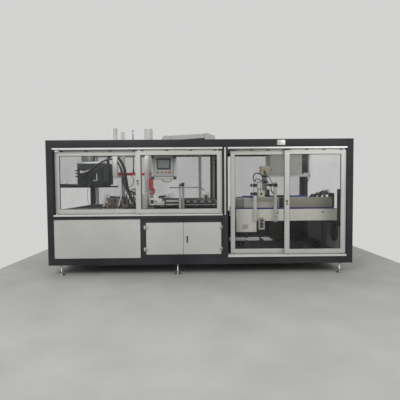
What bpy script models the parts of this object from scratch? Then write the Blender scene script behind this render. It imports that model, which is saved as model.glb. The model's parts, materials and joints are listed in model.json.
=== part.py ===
"""A case erector: a long steel frame on levelling feet, closed by sliding glazed doors in two bays, with a
control cabinet below the left bay, and a case magazine, a glue unit, folding tools and a side-belt outfeed
inside. Metres, +Z up, front towards -Y. The origin is on the floor under the middle of the frame."""

import math

import bmesh
import bpy
from mathutils import Vector

# Steel frame
FRAME_LENGTH = 4.90
FRAME_DEPTH = 2.20
FRAME_HEIGHT = 2.00
FOOT_HEIGHT = 0.17
POST_WIDTH = 0.10
POST_DEPTH = 0.10
TOP_RAIL_HEIGHT = 0.124
SLIM_TOP_RAIL_HEIGHT = 0.05
BOTTOM_RAIL_HEIGHT = 0.11
LEFT_BAY_WIDTH = 2.70
MIDDLE_POST_WIDTH = 0.087
CROSS_RAIL_HEIGHT = 0.065
LEFT_CROSS_RAIL_RISE = 1.25
RIGHT_CROSS_RAIL_RISE = 0.57
DECK_RISE = 0.788
DECK_RAIL_HEIGHT = 0.054
DECK_PLATE_THICKNESS = 0.006
DECK_PLATE_DROP = 0.022
RUNG_INSET = 0.01
ROOF_RUNG_WIDTH = 0.08
ROOF_OPENING_LENGTH = 1.48
ROOF_SHEET_THICKNESS = 0.015
ROOF_SHEET_DROP = 0.005

# Gap kept between touching pieces, and clearance kept by moving ones
SEAT = 0.0003
CLEAR = 0.005
SINK = 0.004

# Levelling feet
FOOT_PAD_RADIUS = 0.049
FOOT_PAD_THICKNESS = 0.010
FOOT_NECK_RADIUS = 0.018
FOOT_STEM_RADIUS = 0.010
FOOT_NUT_RADIUS = 0.020
FOOT_NUT_HEIGHT = 0.014
FOOT_NECK_HEIGHT = 0.04
FOOT_END_INSET = 0.19
MIDDLE_FOOT_SHIFT = -0.38

# Fixed sheet panels
PANEL_THICKNESS = 0.02
PANEL_RECESS = 0.005
END_PANEL_RECESS = 0.01
VENT_RADIUS = 0.135
VENT_RISE = 0.41
VENT_FROM_FRONT = 0.60
VENT_RING_WIDTH = 0.012
VENT_RING_COUNT = 3

# Control cabinet
CABINET_BAY_WIDTH = 1.323
CABINET_POST_WIDTH = 0.087
CABINET_RIGHT_MARGIN = 0.018
CABINET_BOTTOM_MARGIN = 0.046
CABINET_TOP_MARGIN = 0.054
CABINET_RECESS = 0.016
CABINET_FLANGE = 0.02
CABINET_WALL = 0.014
CABINET_DEPTH = 0.54
LEFT_CABINET_DOOR_WIDTH = 0.6035
CABINET_DOOR_THICKNESS = 0.022
MOUNTING_PLATE_THICKNESS = 0.004
MOUNTING_PLATE_MARGIN = 0.04
MOUNTING_STUD_LENGTH = 0.02
MOUNTING_STUD_RADIUS = 0.005
HINGE_HEIGHT = 0.062
HINGE_PIN_FORWARD = 0.007
HINGE_BARREL_RADIUS = 0.0055
HINGE_LEAF_THICKNESS = 0.0035
HINGE_LEAF_SINK = 0.001
HINGE_KNUCKLE_GAP = 0.0015
HINGE_LINK_INSET = 0.0005
HINGE_LEAF_WIDTH = 0.026
HINGE_FIXED_LEAF_WIDTH = 0.010
HINGE_RISES = (0.089, 0.442)
HANDLE_WIDTH = 0.022
HANDLE_HEIGHT = 0.112
HANDLE_DEPTH = 0.014
HANDLE_INSET = 0.0625
HANDLE_RISE = 0.247

# Sliding doors and their tracks
TRACK_DEPTH = 0.115
TRACK_WEB = 0.010
TRACK_LIP = 0.007
UPPER_TRACK_HEIGHT = 0.026
LEFT_LOWER_TRACK_HEIGHT = 0.025
RIGHT_LOWER_TRACK_HEIGHT = 0.034
LEAF_LIFT = 0.008
LEAF_HEAD_ROOM = 0.054
LEAF_THICKNESS = 0.030
FRONT_LEAF_SETBACK = 0.026
REAR_LEAF_SETBACK = 0.080
FRONT_STILE = 0.080
REAR_STILE = 0.070
LEAF_TOP_RAIL = 0.063
LEAF_BOTTOM_RAIL = 0.074
LEFT_FRONT_LEAF_WIDTH = 1.383
LEFT_REAR_LEAF_WIDTH = 1.395
RIGHT_FRONT_LEAF_WIDTH = 0.991
RIGHT_REAR_LEAF_WIDTH = 0.950
RIGHT_REAR_LEAF_AJAR = 0.050
PANE_THICKNESS = 0.006
ROLLER_WIDTH = 0.012
ROLLER_RADIUS = 0.0115
ROLLER_INSET = 0.06
ROLLER_FORK_LENGTH = 0.034
ROLLER_FORK_WIDTH = 0.008
GUIDE_FIN_THICKNESS = 0.010
GUIDE_FIN_CLEARANCE = 0.008

# Rear glazing
REAR_WINDOW_SETBACK = 0.03
REAR_WINDOW_THICKNESS = 0.04
REAR_STILE_WIDTH = 0.07
REAR_HEAD_WIDTH = 0.02
REAR_LOWER_PANEL_RISE = 0.52

# Glue unit on its shelf
GLUE_FROM_LEFT = 0.06
GLUE_FROM_FRONT = 0.90
GLUE_WIDTH = 0.49
GLUE_DEPTH = 0.50
GLUE_HEIGHT = 0.42
GLUE_SIDE_WIDTH = 0.14
GLUE_SIDE_DEPTH = 0.15
GLUE_SIDE_LIFT = 0.03
GLUE_LID_HEIGHT = 0.042
GLUE_LID_LAP = 0.012
SHELF_THICKNESS = 0.02
SHELF_MARGIN = 0.03
GLUE_PLUG_RADIUS = 0.014
GLUE_PLUG_LENGTH = 0.045
GLUE_PLUG_RISE = 0.19
GLUE_PLUG_PITCH = 0.055
HOSE_RADIUS = 0.026
HOSE_SWAY = 0.10

# Junction box on the left end frame's top rail
JUNCTION_BOX_LENGTH = 0.18
JUNCTION_BOX_DEPTH = 0.20
JUNCTION_BOX_HEIGHT = 0.22
JUNCTION_BOX_DROP = 0.108
JUNCTION_BOX_REAR_GAP = 0.60

# Case magazine
MAGAZINE_BED_LENGTH = 1.007
MAGAZINE_BED_DEPTH = 1.505
MAGAZINE_BED_HEIGHT = 0.13
MAGAZINE_SLAT_WIDTH = 0.10
MAGAZINE_SLAT_COUNT = 5
MAGAZINE_FROM_LEFT = 0.07
MAGAZINE_FROM_FRONT = 0.245
MAGAZINE_GUIDE_WIDTH = 0.030
MAGAZINE_GUIDE_THICKNESS = 0.0225
MAGAZINE_GUIDE_LENGTH = 0.385
MAGAZINE_GUIDE_LEAN = 16.0
MAGAZINE_GUIDE_SPACING = 0.245
MAGAZINE_GUIDE_FROM_END = 0.405
LIFT_POST_SIZE = 0.07
LIFT_POST_FROM_FRONT = 0.77
LIFT_POST_SPACING = 0.60
LEFT_LIFT_POST_FROM_LEFT = 0.768
RIGHT_LIFT_POST_FROM_LEFT = 1.338
LEFT_LIFT_POST_RISE = 0.325
REAR_LEFT_LIFT_POST_RISE = 0.36
RIGHT_LIFT_POST_RISE = 0.31
REAR_RIGHT_LIFT_POST_RISE = 0.42
LIFT_CROSS_BAR_HEIGHT = 0.04
LIFT_CROSS_BAR_RISE = 0.65
SLIM_BAR_SIZE = 0.022
RED_BEAM_LENGTH = 0.83
RED_BEAM_HEIGHT = 0.05
RED_BEAM_DEPTH = 0.05
RED_BEAM_OVERHANG = 0.19
LIFT_ROD_RADIUS = 0.011
LIFT_ROD_FROM_LEFT = 1.07
LIFT_ROD_RISE = 0.35

# Folding arm
ARM_WIDTH = 0.078
ARM_LENGTH = 0.245
ARM_THICKNESS = 0.02
ARM_TOP_RISE = 0.63
ARM_HOOK_RADIUS = 0.062
ARM_HOOK_WIDTH = 0.035
ARM_HOOK_SWEEP = 140.0

# Operator panel
PANEL_FROM_MIDDLE_POST = 0.80
HMI_WIDTH = 0.316
HMI_HEIGHT = 0.356
HMI_DEPTH = 0.07
HMI_FROM_FRONT = 0.235
HMI_BOTTOM_RISE = 0.636
HMI_TUBE_WIDTH = 0.05
HMI_TUBE_DEPTH = 0.04
HMI_BEZEL_WIDTH = 0.231
HMI_BEZEL_HEIGHT = 0.185
HMI_BEZEL_RISE = 0.115
HMI_BEZEL_PROUD = 0.008
HMI_BUTTON_RADIUS = 0.011
HMI_STOP_RADIUS = 0.019
HMI_BUTTON_RISE = 0.068
HMI_BUTTON_COUNT = 4
HMI_BUTTON_PITCH = 0.066
HMI_BUTTON_PROUD = 0.014

# Case bed of the left bay
BED_LENGTH = 1.22
BED_FROM_FRONT = 0.62
BED_REAR_GAP = 0.58
BED_TOP_RISE = 0.165
BED_PLATE_THICKNESS = 0.04
BED_RAIL_HEIGHT = 0.085
BED_RAIL_WIDTH = 0.05
BED_RAIL_COUNT = 3
BED_FROM_MIDDLE_POST = 0.04
BED_PEDESTAL_WIDTH = 0.30
FLAP_BLOCK_LENGTH = 0.25
FLAP_BLOCK_HEIGHT = 0.165
FLAP_BLOCK_DEPTH = 0.16
FLAP_RAM_LENGTH = 0.10
FLAP_RAM_RADIUS = 0.027
FLAP_RAM_DROP = 0.04
SENSOR_BLOCK_SIZE = 0.10
SENSOR_BLOCK_HEIGHT = 0.18
SENSOR_FROM_MIDDLE_POST = 0.295

# Guide posts and support posts of the left bay
GUIDE_POST_FROM_MIDDLE_POST = 0.686
GUIDE_POST_FROM_FRONT = 0.50
GUIDE_POST_WIDTH = 0.038
GUIDE_POST_RISE = 0.53
GUIDE_POST_PITCH = 0.055
GUIDE_CLAMP_HEIGHT = 0.06
GUIDE_ROD_RADIUS = 0.008
GUIDE_ROD_RISE = 0.45
GUIDE_ROD_LEFT_REACH = 0.15
GUIDE_ROD_RIGHT_REACH = 0.36
GUIDE_ROD_BEND_LENGTH = 0.108
GUIDE_ROD_BEND_DROP = 0.06
SUPPORT_POST_SIZE = 0.06
SUPPORT_POST_FROM_MIDDLE_POST = 0.37
SUPPORT_POST_REAR_GAP = 0.34
SLIM_POST_SIZE = 0.045
SLIM_POST_FROM_MIDDLE_POST = 0.12
SUPPORT_BAR_HEIGHT = 0.04

# Outfeed conveyor of the right bay
TRAY_THICKNESS = 0.01
TRAY_RISE = 0.04
OUTFEED_FROM_MIDDLE_POST = 0.168
OUTFEED_OVERHANG = 0.05
OUTFEED_FROM_FRONT = 0.40
OUTFEED_DEPTH = 1.01
OUTFEED_PLATE_THICKNESS = 0.01
OUTFEED_PLATE_BOTTOM_RISE = 0.649
OUTFEED_PLATE_HEIGHT = 0.20
OUTFEED_LEG_SIZE = 0.06
OUTFEED_LEG_INSET = 0.16
BELT_PROUD = 0.006
BELT_THICKNESS = 0.09
DRIVE_COVER_LENGTH = 0.355
DRIVE_COVER_HEIGHT = 0.394
DRIVE_COVER_DEPTH = 0.05
SIDE_POST_SIZE = 0.05
SIDE_POST_TOP_RISE = 1.32
FIRST_SIDE_POST_SHIFT = 0.30
SECOND_SIDE_POST_SHIFT = 0.66
SECOND_SIDE_POST_BOTTOM_RISE = 0.634
TERMINAL_BOX_WIDTH = 0.10
TERMINAL_BOX_HEIGHT = 0.19
TERMINAL_BOX_DEPTH = 0.05
TERMINAL_BOX_SHIFT = 0.395
TERMINAL_BOX_LAP = 0.048
LOW_BAR_HEIGHT = 0.06
LOW_BAR_RISE = 0.305
LOW_BAR_LENGTH = 0.80
LOW_BAR_OVERHANG = 0.11
LOW_BAR_DEPTH = 0.022

# Side belts over the outfeed
SIDE_BELT_FROM_FRONT = 0.455
SIDE_BELT_LENGTH = 1.74
SIDE_BELT_DEPTH = 0.16
SIDE_BELT_HEIGHT = 0.195
SIDE_BELT_FROM_OUTFEED = 0.005
SIDE_BELT_LIFT = 0.0003
REAR_BELT_LENGTH = 1.30
REAR_BELT_HEIGHT = 0.205
REAR_BELT_DEPTH = 0.08
REAR_BELT_GAP = 0.705
REAR_BELT_FROM_OUTFEED = 0.25
HEAD_COLUMN_SIZE = 0.075
HEAD_COLUMN_HEIGHT = 0.597
HEAD_COLUMN_FROM_OUTFEED = 0.493
HEAD_BLOCK_LENGTH = 0.12
HEAD_BLOCK_HEIGHT = 0.34
HEAD_BLOCK_DEPTH = 0.14

# Overhead box and its beam
OVERHEAD_BOX_LENGTH = 0.654
OVERHEAD_BOX_DEPTH = 0.42
OVERHEAD_BOX_HEIGHT = 0.486
OVERHEAD_BOX_FROM_RIGHT = 0.264
OVERHEAD_REAR_GAP = 0.28
SMALL_BOX_LENGTH = 0.183
SMALL_BOX_HEIGHT = 0.163
SMALL_BOX_DEPTH = 0.16
BEAM_LENGTH = 0.92
BEAM_HEIGHT = 0.035
BEAM_DEPTH = 0.08
BEAM_HANGER_WIDTH = 0.04
BEAM_FROM_RIGHT = 0.08

# Cable trunking on the roof
DUCT_FROM_MIDDLE_POST = 1.035
DUCT_FROM_FRONT = 0.50
DUCT_DEPTH = 0.16
DUCT_FOOT_LENGTH = 0.17
DUCT_FOOT_HEIGHT = 0.148
DUCT_FOOT_BEVEL = 0.05
DUCT_TRUNK_LENGTH = 0.60
DUCT_TRUNK_HEIGHT = 0.075
DUCT_TRUNK_START_RISE = 0.10
DUCT_TRUNK_END_RISE = 0.14
DUCT_END_LENGTH = 0.18
DUCT_END_HEIGHT = 0.19
DUCT_END_SLOPE = 0.05

# Planes worked out from the frame
FRONT = -FRAME_DEPTH / 2
REAR = FRAME_DEPTH / 2
LEFT = -FRAME_LENGTH / 2
RIGHT = FRAME_LENGTH / 2
BASE = FOOT_HEIGHT
ROOF = BASE + FRAME_HEIGHT
OPEN_LEFT = LEFT + POST_WIDTH
OPEN_RIGHT = RIGHT - POST_WIDTH
OPEN_FRONT = FRONT + POST_DEPTH
OPEN_REAR = REAR - POST_DEPTH
OPEN_BOTTOM = BASE + BOTTOM_RAIL_HEIGHT
OPEN_TOP = ROOF - TOP_RAIL_HEIGHT
REAR_OPEN_TOP = ROOF - SLIM_TOP_RAIL_HEIGHT
MIDDLE_LEFT = OPEN_LEFT + LEFT_BAY_WIDTH
MIDDLE_RIGHT = MIDDLE_LEFT + MIDDLE_POST_WIDTH
DECK_TOP = BASE + DECK_RISE
DECK_BOTTOM = DECK_TOP - DECK_RAIL_HEIGHT
DECK_SURFACE = DECK_TOP - DECK_PLATE_DROP
LEFT_CROSS_RAIL = BASE + LEFT_CROSS_RAIL_RISE
RIGHT_CROSS_RAIL = BASE + RIGHT_CROSS_RAIL_RISE
ROOF_RUNG_LEFT = OPEN_LEFT + ROOF_OPENING_LENGTH
ROOF_RUNG_RIGHT = ROOF_RUNG_LEFT + ROOF_RUNG_WIDTH
ROOF_SHEET_TOP = ROOF - ROOF_SHEET_DROP
CABINET_LEFT = MIDDLE_LEFT - CABINET_BAY_WIDTH
TRAY_TOP = BASE + TRAY_RISE + TRAY_THICKNESS

MATERIALS = {}
PARTS = None
TOOLS = None


def material(name, colour, roughness, metallic=0.0):
    """A plain finish, made once and shared by the pieces that have it."""
    if name not in MATERIALS:
        made = bpy.data.materials.new(name)
        made.use_nodes = True
        shader = made.node_tree.nodes["Principled BSDF"]
        shader.inputs["Base Color"].default_value = (*colour, 1.0)
        shader.inputs["Roughness"].default_value = roughness
        shader.inputs["Metallic"].default_value = metallic
        MATERIALS[name] = made
    return MATERIALS[name]


def charcoal():
    return material("charcoal_paint", (0.045, 0.042, 0.05), 0.45)


def panel_grey():
    return material("warm_grey_sheet", (0.42, 0.42, 0.39), 0.5)


def door_profile():
    return material("light_door_profile", (0.52, 0.51, 0.47), 0.4, 0.3)


def aluminium():
    return material("anodised_aluminium", (0.62, 0.62, 0.60), 0.35, 0.8)


def clear_sheet():
    return material("clear_sheet", (0.85, 0.9, 0.9), 0.05)


def chrome():
    return material("plated_steel", (0.7, 0.7, 0.7), 0.2, 1.0)


def black_plastic():
    return material("black_plastic", (0.015, 0.015, 0.016), 0.5)


def red_paint():
    return material("red_paint", (0.4, 0.04, 0.03), 0.4)


def dark_steel():
    return material("dark_steel", (0.06, 0.06, 0.06), 0.5, 0.6)


def light_paint():
    return material("light_paint", (0.6, 0.6, 0.58), 0.4)


def blue_belt():
    return material("blue_belt", (0.05, 0.06, 0.3), 0.6)


def own(obj, finish):
    obj.data.materials.append(finish)
    PARTS.objects.link(obj)
    return obj


def box(name, low, high, finish):
    """A block between two corners, with its origin at its middle."""
    mesh = bpy.data.meshes.new(name)
    shape = bmesh.new()
    bmesh.ops.create_cube(shape, size=1.0)
    size = [b - a for a, b in zip(low, high)]
    bmesh.ops.scale(shape, vec=size, verts=shape.verts)
    shape.to_mesh(mesh)
    shape.free()
    obj = bpy.data.objects.new(name, mesh)
    obj.location = [(a + b) / 2 for a, b in zip(low, high)]
    return own(obj, finish)


def rod(name, start, end, radius, finish, sides=16):
    """A round bar from one point to another."""
    start = Vector(start)
    end = Vector(end)
    mesh = bpy.data.meshes.new(name)
    shape = bmesh.new()
    bmesh.ops.create_cone(
        shape, cap_ends=True, segments=sides, radius1=radius, radius2=radius, depth=(end - start).length
    )
    shape.to_mesh(mesh)
    shape.free()
    mesh.shade_smooth()
    mesh.set_sharp_from_angle(angle=math.radians(40))
    obj = bpy.data.objects.new(name, mesh)
    obj.location = (start + end) / 2
    obj.rotation_euler = Vector((0, 0, 1)).rotation_difference(end - start).to_euler()
    return own(obj, finish)


def turned(name, profile, location, finish, steps=20):
    """A round piece from a profile of (radius, height) that runs down its outer side."""
    mesh = bpy.data.meshes.new(name)
    edges = [(i, i + 1) for i in range(len(profile) - 1)]
    mesh.from_pydata([(radius, 0, height) for radius, height in profile], edges, [])
    obj = bpy.data.objects.new(name, mesh)
    obj.location = location
    turn = obj.modifiers.new("turn", "SCREW")
    turn.steps = steps
    turn.render_steps = steps
    turn.use_merge_vertices = True
    turn.merge_threshold = 0.0001
    return own(obj, finish)


def as_mesh(curve_object, name):
    """The welded mesh of a curve, in the curve's place."""
    bpy.context.scene.collection.objects.link(curve_object)
    bpy.context.view_layer.update()
    graph = bpy.context.evaluated_depsgraph_get()
    mesh = bpy.data.meshes.new_from_object(curve_object.evaluated_get(graph))
    shape = bmesh.new()
    shape.from_mesh(mesh)
    bmesh.ops.remove_doubles(shape, verts=shape.verts, dist=0.00001)
    shape.to_mesh(mesh)
    shape.free()
    obj = bpy.data.objects.new(name, mesh)
    obj.matrix_world = curve_object.matrix_world.copy()
    bpy.data.objects.remove(curve_object)
    return obj


def outline(name, loops, thickness, middle, plane, finish):
    """A flat plate from closed outlines, the first outside and the others holes, its thickness centred on
    middle. In plane XY the outline's axes are X and Y, in XZ they are X and Z, in YZ they are Y and Z."""
    curve = bpy.data.curves.new(name, "CURVE")
    curve.dimensions = "2D"
    curve.fill_mode = "BOTH"
    curve.extrude = thickness / 2
    for loop in loops:
        spline = curve.splines.new("POLY")
        spline.points.add(len(loop) - 1)
        for point, (u, v) in zip(spline.points, loop):
            point.co = (u, v, 0, 1)
        spline.use_cyclic_u = True
    flat = bpy.data.objects.new(name + "_outline", curve)
    quarter = math.pi / 2
    turns = {"XY": (0, 0, 0), "XZ": (quarter, 0, 0), "YZ": (quarter, 0, quarter)}
    places = {"XY": (0, 0, middle), "XZ": (0, middle, 0), "YZ": (middle, 0, 0)}
    flat.rotation_euler = turns[plane]
    flat.location = places[plane]
    return own(as_mesh(flat, name), finish)


def rectangle(u_low, u_high, v_low, v_high):
    return [(u_low, v_low), (u_high, v_low), (u_high, v_high), (u_low, v_high)]


def arc(centre, radius, start, end, steps):
    """Points along an arc, angles in degrees."""
    angles = [math.radians(start + (end - start) * i / steps) for i in range(steps + 1)]
    return [(centre[0] + radius * math.cos(a), centre[1] + radius * math.sin(a)) for a in angles]


def tube(name, points, radius, finish, resolution=3):
    """A bent round tube through the points."""
    curve = bpy.data.curves.new(name, "CURVE")
    curve.dimensions = "3D"
    curve.bevel_depth = radius
    curve.bevel_resolution = resolution
    curve.use_fill_caps = True
    spline = curve.splines.new("POLY")
    spline.points.add(len(points) - 1)
    for point, place in zip(spline.points, points):
        point.co = (*place, 1)
    bent = bpy.data.objects.new(name + "_route", curve)
    obj = as_mesh(bent, name)
    obj.data.shade_smooth()
    obj.data.set_sharp_from_angle(angle=math.radians(50))
    return own(obj, finish)


def smooth_route(points, per_span):
    """A Catmull-Rom curve through the points, with the ends repeated."""
    ends = [Vector(points[0]), *[Vector(p) for p in points], Vector(points[-1])]
    route = []
    for a, b, c, d in zip(ends, ends[1:], ends[2:], ends[3:]):
        for step in range(per_span):
            t = step / per_span
            bend = 2 * a - 5 * b + 4 * c - d
            twist = 3 * b - 3 * c + d - a
            route.append((2 * b + (c - a) * t + bend * t**2 + twist * t**3) / 2)
    route.append(Vector(points[-1]))
    return route


def to_tools(obj):
    PARTS.objects.unlink(obj)
    TOOLS.objects.link(obj)
    obj.hide_render = True
    obj.display_type = "WIRE"


def fuse(body, *others):
    """Joins the others to the body, which keeps its name."""
    for other in others:
        step = body.modifiers.new(other.name, "BOOLEAN")
        step.operation = "UNION"
        step.solver = "EXACT"
        step.object = other
        to_tools(other)
    return body


def hang(name, point, *pieces):
    """Puts the pieces under an empty at the point, where they stay in place and move with it."""
    carrier = bpy.data.objects.new(name, None)
    carrier.location = point
    PARTS.objects.link(carrier)
    for piece in pieces:
        piece.location = piece.location - carrier.location
        piece.parent = carrier
        for step in piece.modifiers:
            step.object.location = step.object.location - carrier.location
            step.object.parent = carrier
    return carrier


def end_frames():
    """The two end frames: front and rear posts joined by depth rails, each cut from one outline."""
    inside = (OPEN_FRONT, OPEN_REAR)
    around = rectangle(FRONT, REAR, BASE, ROOF)
    left_holes = [
        rectangle(*inside, OPEN_BOTTOM, DECK_BOTTOM),
        rectangle(*inside, DECK_TOP, LEFT_CROSS_RAIL),
        rectangle(*inside, LEFT_CROSS_RAIL + CROSS_RAIL_HEIGHT, REAR_OPEN_TOP),
    ]
    right_holes = [
        rectangle(*inside, OPEN_BOTTOM, RIGHT_CROSS_RAIL),
        rectangle(*inside, RIGHT_CROSS_RAIL + CROSS_RAIL_HEIGHT, REAR_OPEN_TOP),
    ]
    middle_left = (LEFT + OPEN_LEFT) / 2
    middle_right = (RIGHT + OPEN_RIGHT) / 2
    outline("left_end_frame", [around, *left_holes], POST_WIDTH, middle_left, "YZ", charcoal())
    outline("right_end_frame", [around, *right_holes], POST_WIDTH, middle_right, "YZ", charcoal())


def middle_frame():
    """The frame between the bays, standing between the bottom and top rails. Its depth rail and rear post
    reach up behind the deep front rail to the slim rear one."""
    around = [
        (FRONT, OPEN_BOTTOM + SEAT),
        (REAR, OPEN_BOTTOM + SEAT),
        (REAR, REAR_OPEN_TOP - SEAT),
        (OPEN_FRONT + SEAT, REAR_OPEN_TOP - SEAT),
        (OPEN_FRONT + SEAT, OPEN_TOP - SEAT),
        (FRONT, OPEN_TOP - SEAT),
    ]
    holes = [
        rectangle(OPEN_FRONT, OPEN_REAR, OPEN_BOTTOM + CROSS_RAIL_HEIGHT, DECK_BOTTOM),
        rectangle(OPEN_FRONT, OPEN_REAR, DECK_TOP, OPEN_TOP - CROSS_RAIL_HEIGHT / 2),
    ]
    middle = (MIDDLE_LEFT + MIDDLE_RIGHT) / 2
    outline("middle_frame", [around, *holes], MIDDLE_POST_WIDTH, middle, "YZ", charcoal())


def long_rails(name, z_low, rear_low, z_high, rungs):
    """Front and rear rails between the end frames, joined by rungs at the given X spans."""
    x_low = OPEN_LEFT + SEAT
    x_high = OPEN_RIGHT - SEAT
    front = box(name, (x_low, FRONT, z_low), (x_high, OPEN_FRONT, z_high), charcoal())
    rear = box(name + "_rear", (x_low, OPEN_REAR, rear_low), (x_high, REAR, z_high), charcoal())
    bars = [
        box(
            f"{name}_rung_{number}",
            (low, OPEN_FRONT - SINK, rear_low + RUNG_INSET),
            (high, OPEN_REAR + SINK, z_high - RUNG_INSET),
            charcoal(),
        )
        for number, (low, high) in enumerate(rungs)
    ]
    return fuse(front, *bars, rear)


def rails_and_deck():
    top = long_rails("top_frame", OPEN_TOP, REAR_OPEN_TOP, ROOF, [(ROOF_RUNG_LEFT, ROOF_RUNG_RIGHT)])
    roof_sheet = box(
        "roof_sheet",
        (ROOF_RUNG_RIGHT - SINK, OPEN_FRONT - SINK, ROOF_SHEET_TOP - ROOF_SHEET_THICKNESS),
        (OPEN_RIGHT - SEAT, OPEN_REAR + SINK, ROOF_SHEET_TOP),
        charcoal(),
    )
    fuse(top, roof_sheet)
    cabinet_post_right = CABINET_LEFT + CABINET_POST_WIDTH
    rungs = [(CABINET_LEFT, cabinet_post_right), (MIDDLE_LEFT, MIDDLE_RIGHT)]
    base = long_rails("base_frame", BASE, BASE, OPEN_BOTTOM, rungs)
    tray = box(
        "floor_tray",
        (MIDDLE_RIGHT - SINK, OPEN_FRONT - SINK, TRAY_TOP - TRAY_THICKNESS),
        (OPEN_RIGHT - SEAT, OPEN_REAR + SINK, TRAY_TOP),
        charcoal(),
    )
    fuse(base, tray)
    x_low = OPEN_LEFT + SEAT
    x_high = MIDDLE_LEFT - SEAT
    deck = box("machine_deck", (x_low, FRONT, DECK_BOTTOM), (x_high, OPEN_FRONT, DECK_TOP), charcoal())
    rear = box("deck_rear_rail", (x_low, OPEN_REAR, DECK_BOTTOM), (x_high, REAR, DECK_TOP), charcoal())
    plate = box(
        "deck_plate",
        (x_low, OPEN_FRONT - SINK, DECK_SURFACE - DECK_PLATE_THICKNESS),
        (x_high, OPEN_REAR + SINK, DECK_SURFACE),
        charcoal(),
    )
    fuse(deck, plate, rear)


def levelling_feet():
    top = BASE - SEAT
    profile = [
        (0, top),
        (FOOT_NUT_RADIUS, top),
        (FOOT_NUT_RADIUS, top - FOOT_NUT_HEIGHT),
        (FOOT_STEM_RADIUS, top - FOOT_NUT_HEIGHT),
        (FOOT_STEM_RADIUS, FOOT_NECK_HEIGHT),
        (FOOT_NECK_RADIUS, FOOT_NECK_HEIGHT),
        (FOOT_NECK_RADIUS, FOOT_PAD_THICKNESS * 2),
        (FOOT_PAD_RADIUS, FOOT_PAD_THICKNESS),
        (FOOT_PAD_RADIUS, 0),
        (0, 0),
    ]
    places = {"left": LEFT + FOOT_END_INSET, "middle": MIDDLE_FOOT_SHIFT, "right": RIGHT - FOOT_END_INSET}
    rows = {"front": (FRONT + OPEN_FRONT) / 2, "rear": (REAR + OPEN_REAR) / 2}
    for row, y in rows.items():
        for side, x in places.items():
            turned(f"foot_{row}_{side}", profile, (x, y, 0), chrome())


def lower_panels():
    """The sheet panels that close the lower openings."""
    z_low = OPEN_BOTTOM + SEAT
    z_high = DECK_BOTTOM - SEAT
    front_y = FRONT + PANEL_RECESS
    x_low = OPEN_LEFT + SEAT
    box(
        "front_lower_panel",
        (x_low, front_y, z_low),
        (CABINET_LEFT - SEAT, front_y + PANEL_THICKNESS, z_high),
        panel_grey(),
    )
    rear_y = REAR - PANEL_RECESS
    box(
        "rear_lower_panel_left",
        (x_low, rear_y - PANEL_THICKNESS, z_low),
        (MIDDLE_LEFT - SEAT, rear_y, z_high),
        panel_grey(),
    )
    box(
        "rear_lower_panel_right",
        (MIDDLE_RIGHT + SEAT, rear_y - PANEL_THICKNESS, z_low),
        (OPEN_RIGHT - SEAT, rear_y, OPEN_BOTTOM + REAR_LOWER_PANEL_RISE),
        panel_grey(),
    )
    y_low = OPEN_FRONT + SEAT
    y_high = OPEN_REAR - SEAT
    left_x = LEFT + END_PANEL_RECESS
    box("left_end_panel", (left_x, y_low, z_low), (left_x + PANEL_THICKNESS, y_high, z_high), panel_grey())
    around = rectangle(y_low, y_high, z_low, RIGHT_CROSS_RAIL - SEAT)
    centre = (FRONT + VENT_FROM_FRONT, BASE + VENT_RISE)
    right_middle = RIGHT - END_PANEL_RECESS - PANEL_THICKNESS / 2
    outline("right_end_panel", [around, *vent_slots(centre)], PANEL_THICKNESS, right_middle, "YZ", panel_grey())


def vent_slots(centre):
    """Slots of a round vent: rings of quarter arcs, parted by a cross of bars."""
    slots = []
    pitch = VENT_RADIUS / (VENT_RING_COUNT + 0.5)
    for ring in range(VENT_RING_COUNT):
        outer = VENT_RADIUS - ring * pitch
        inner = outer - pitch + VENT_RING_WIDTH
        for quarter in range(4):
            start = 90 * quarter
            outer_gap = math.degrees(VENT_RING_WIDTH / 2 / outer)
            inner_gap = math.degrees(VENT_RING_WIDTH / 2 / inner)
            far = arc(centre, outer, start + outer_gap, start + 90 - outer_gap, 6)
            near = arc(centre, inner, start + 90 - inner_gap, start + inner_gap, 6)
            slots.append(far + near)
    return slots


def hinge_half(name, pin, side, middle_z, upper, leaf_width):
    """One half of a lift-off hinge on the side (+1 or -1) of its pin: a leaf, a link and a barrel half."""
    pin_x, pin_y = pin
    half = HINGE_HEIGHT / 2
    z_low, z_high = (middle_z + SEAT, middle_z + half) if upper else (middle_z - half, middle_z - SEAT)
    near = pin_x + side * (HINGE_BARREL_RADIUS + HINGE_KNUCKLE_GAP)
    far = near + side * leaf_width
    face = pin_y + HINGE_PIN_FORWARD
    leaf = box(
        name + "_leaf",
        (min(near, far), face - HINGE_LEAF_THICKNESS, middle_z - half),
        (max(near, far), face + HINGE_LEAF_SINK, middle_z + half),
        aluminium(),
    )
    link_end = near + side * 2 * HINGE_KNUCKLE_GAP
    link = box(
        name + "_link",
        (min(pin_x, link_end), pin_y + HINGE_LINK_INSET, z_low),
        (max(pin_x, link_end), face - HINGE_KNUCKLE_GAP, z_high),
        aluminium(),
    )
    barrel = rod(name + "_barrel", (pin_x, pin_y, z_low), (pin_x, pin_y, z_high), HINGE_BARREL_RADIUS, aluminium())
    return [leaf, link, barrel]


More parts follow.
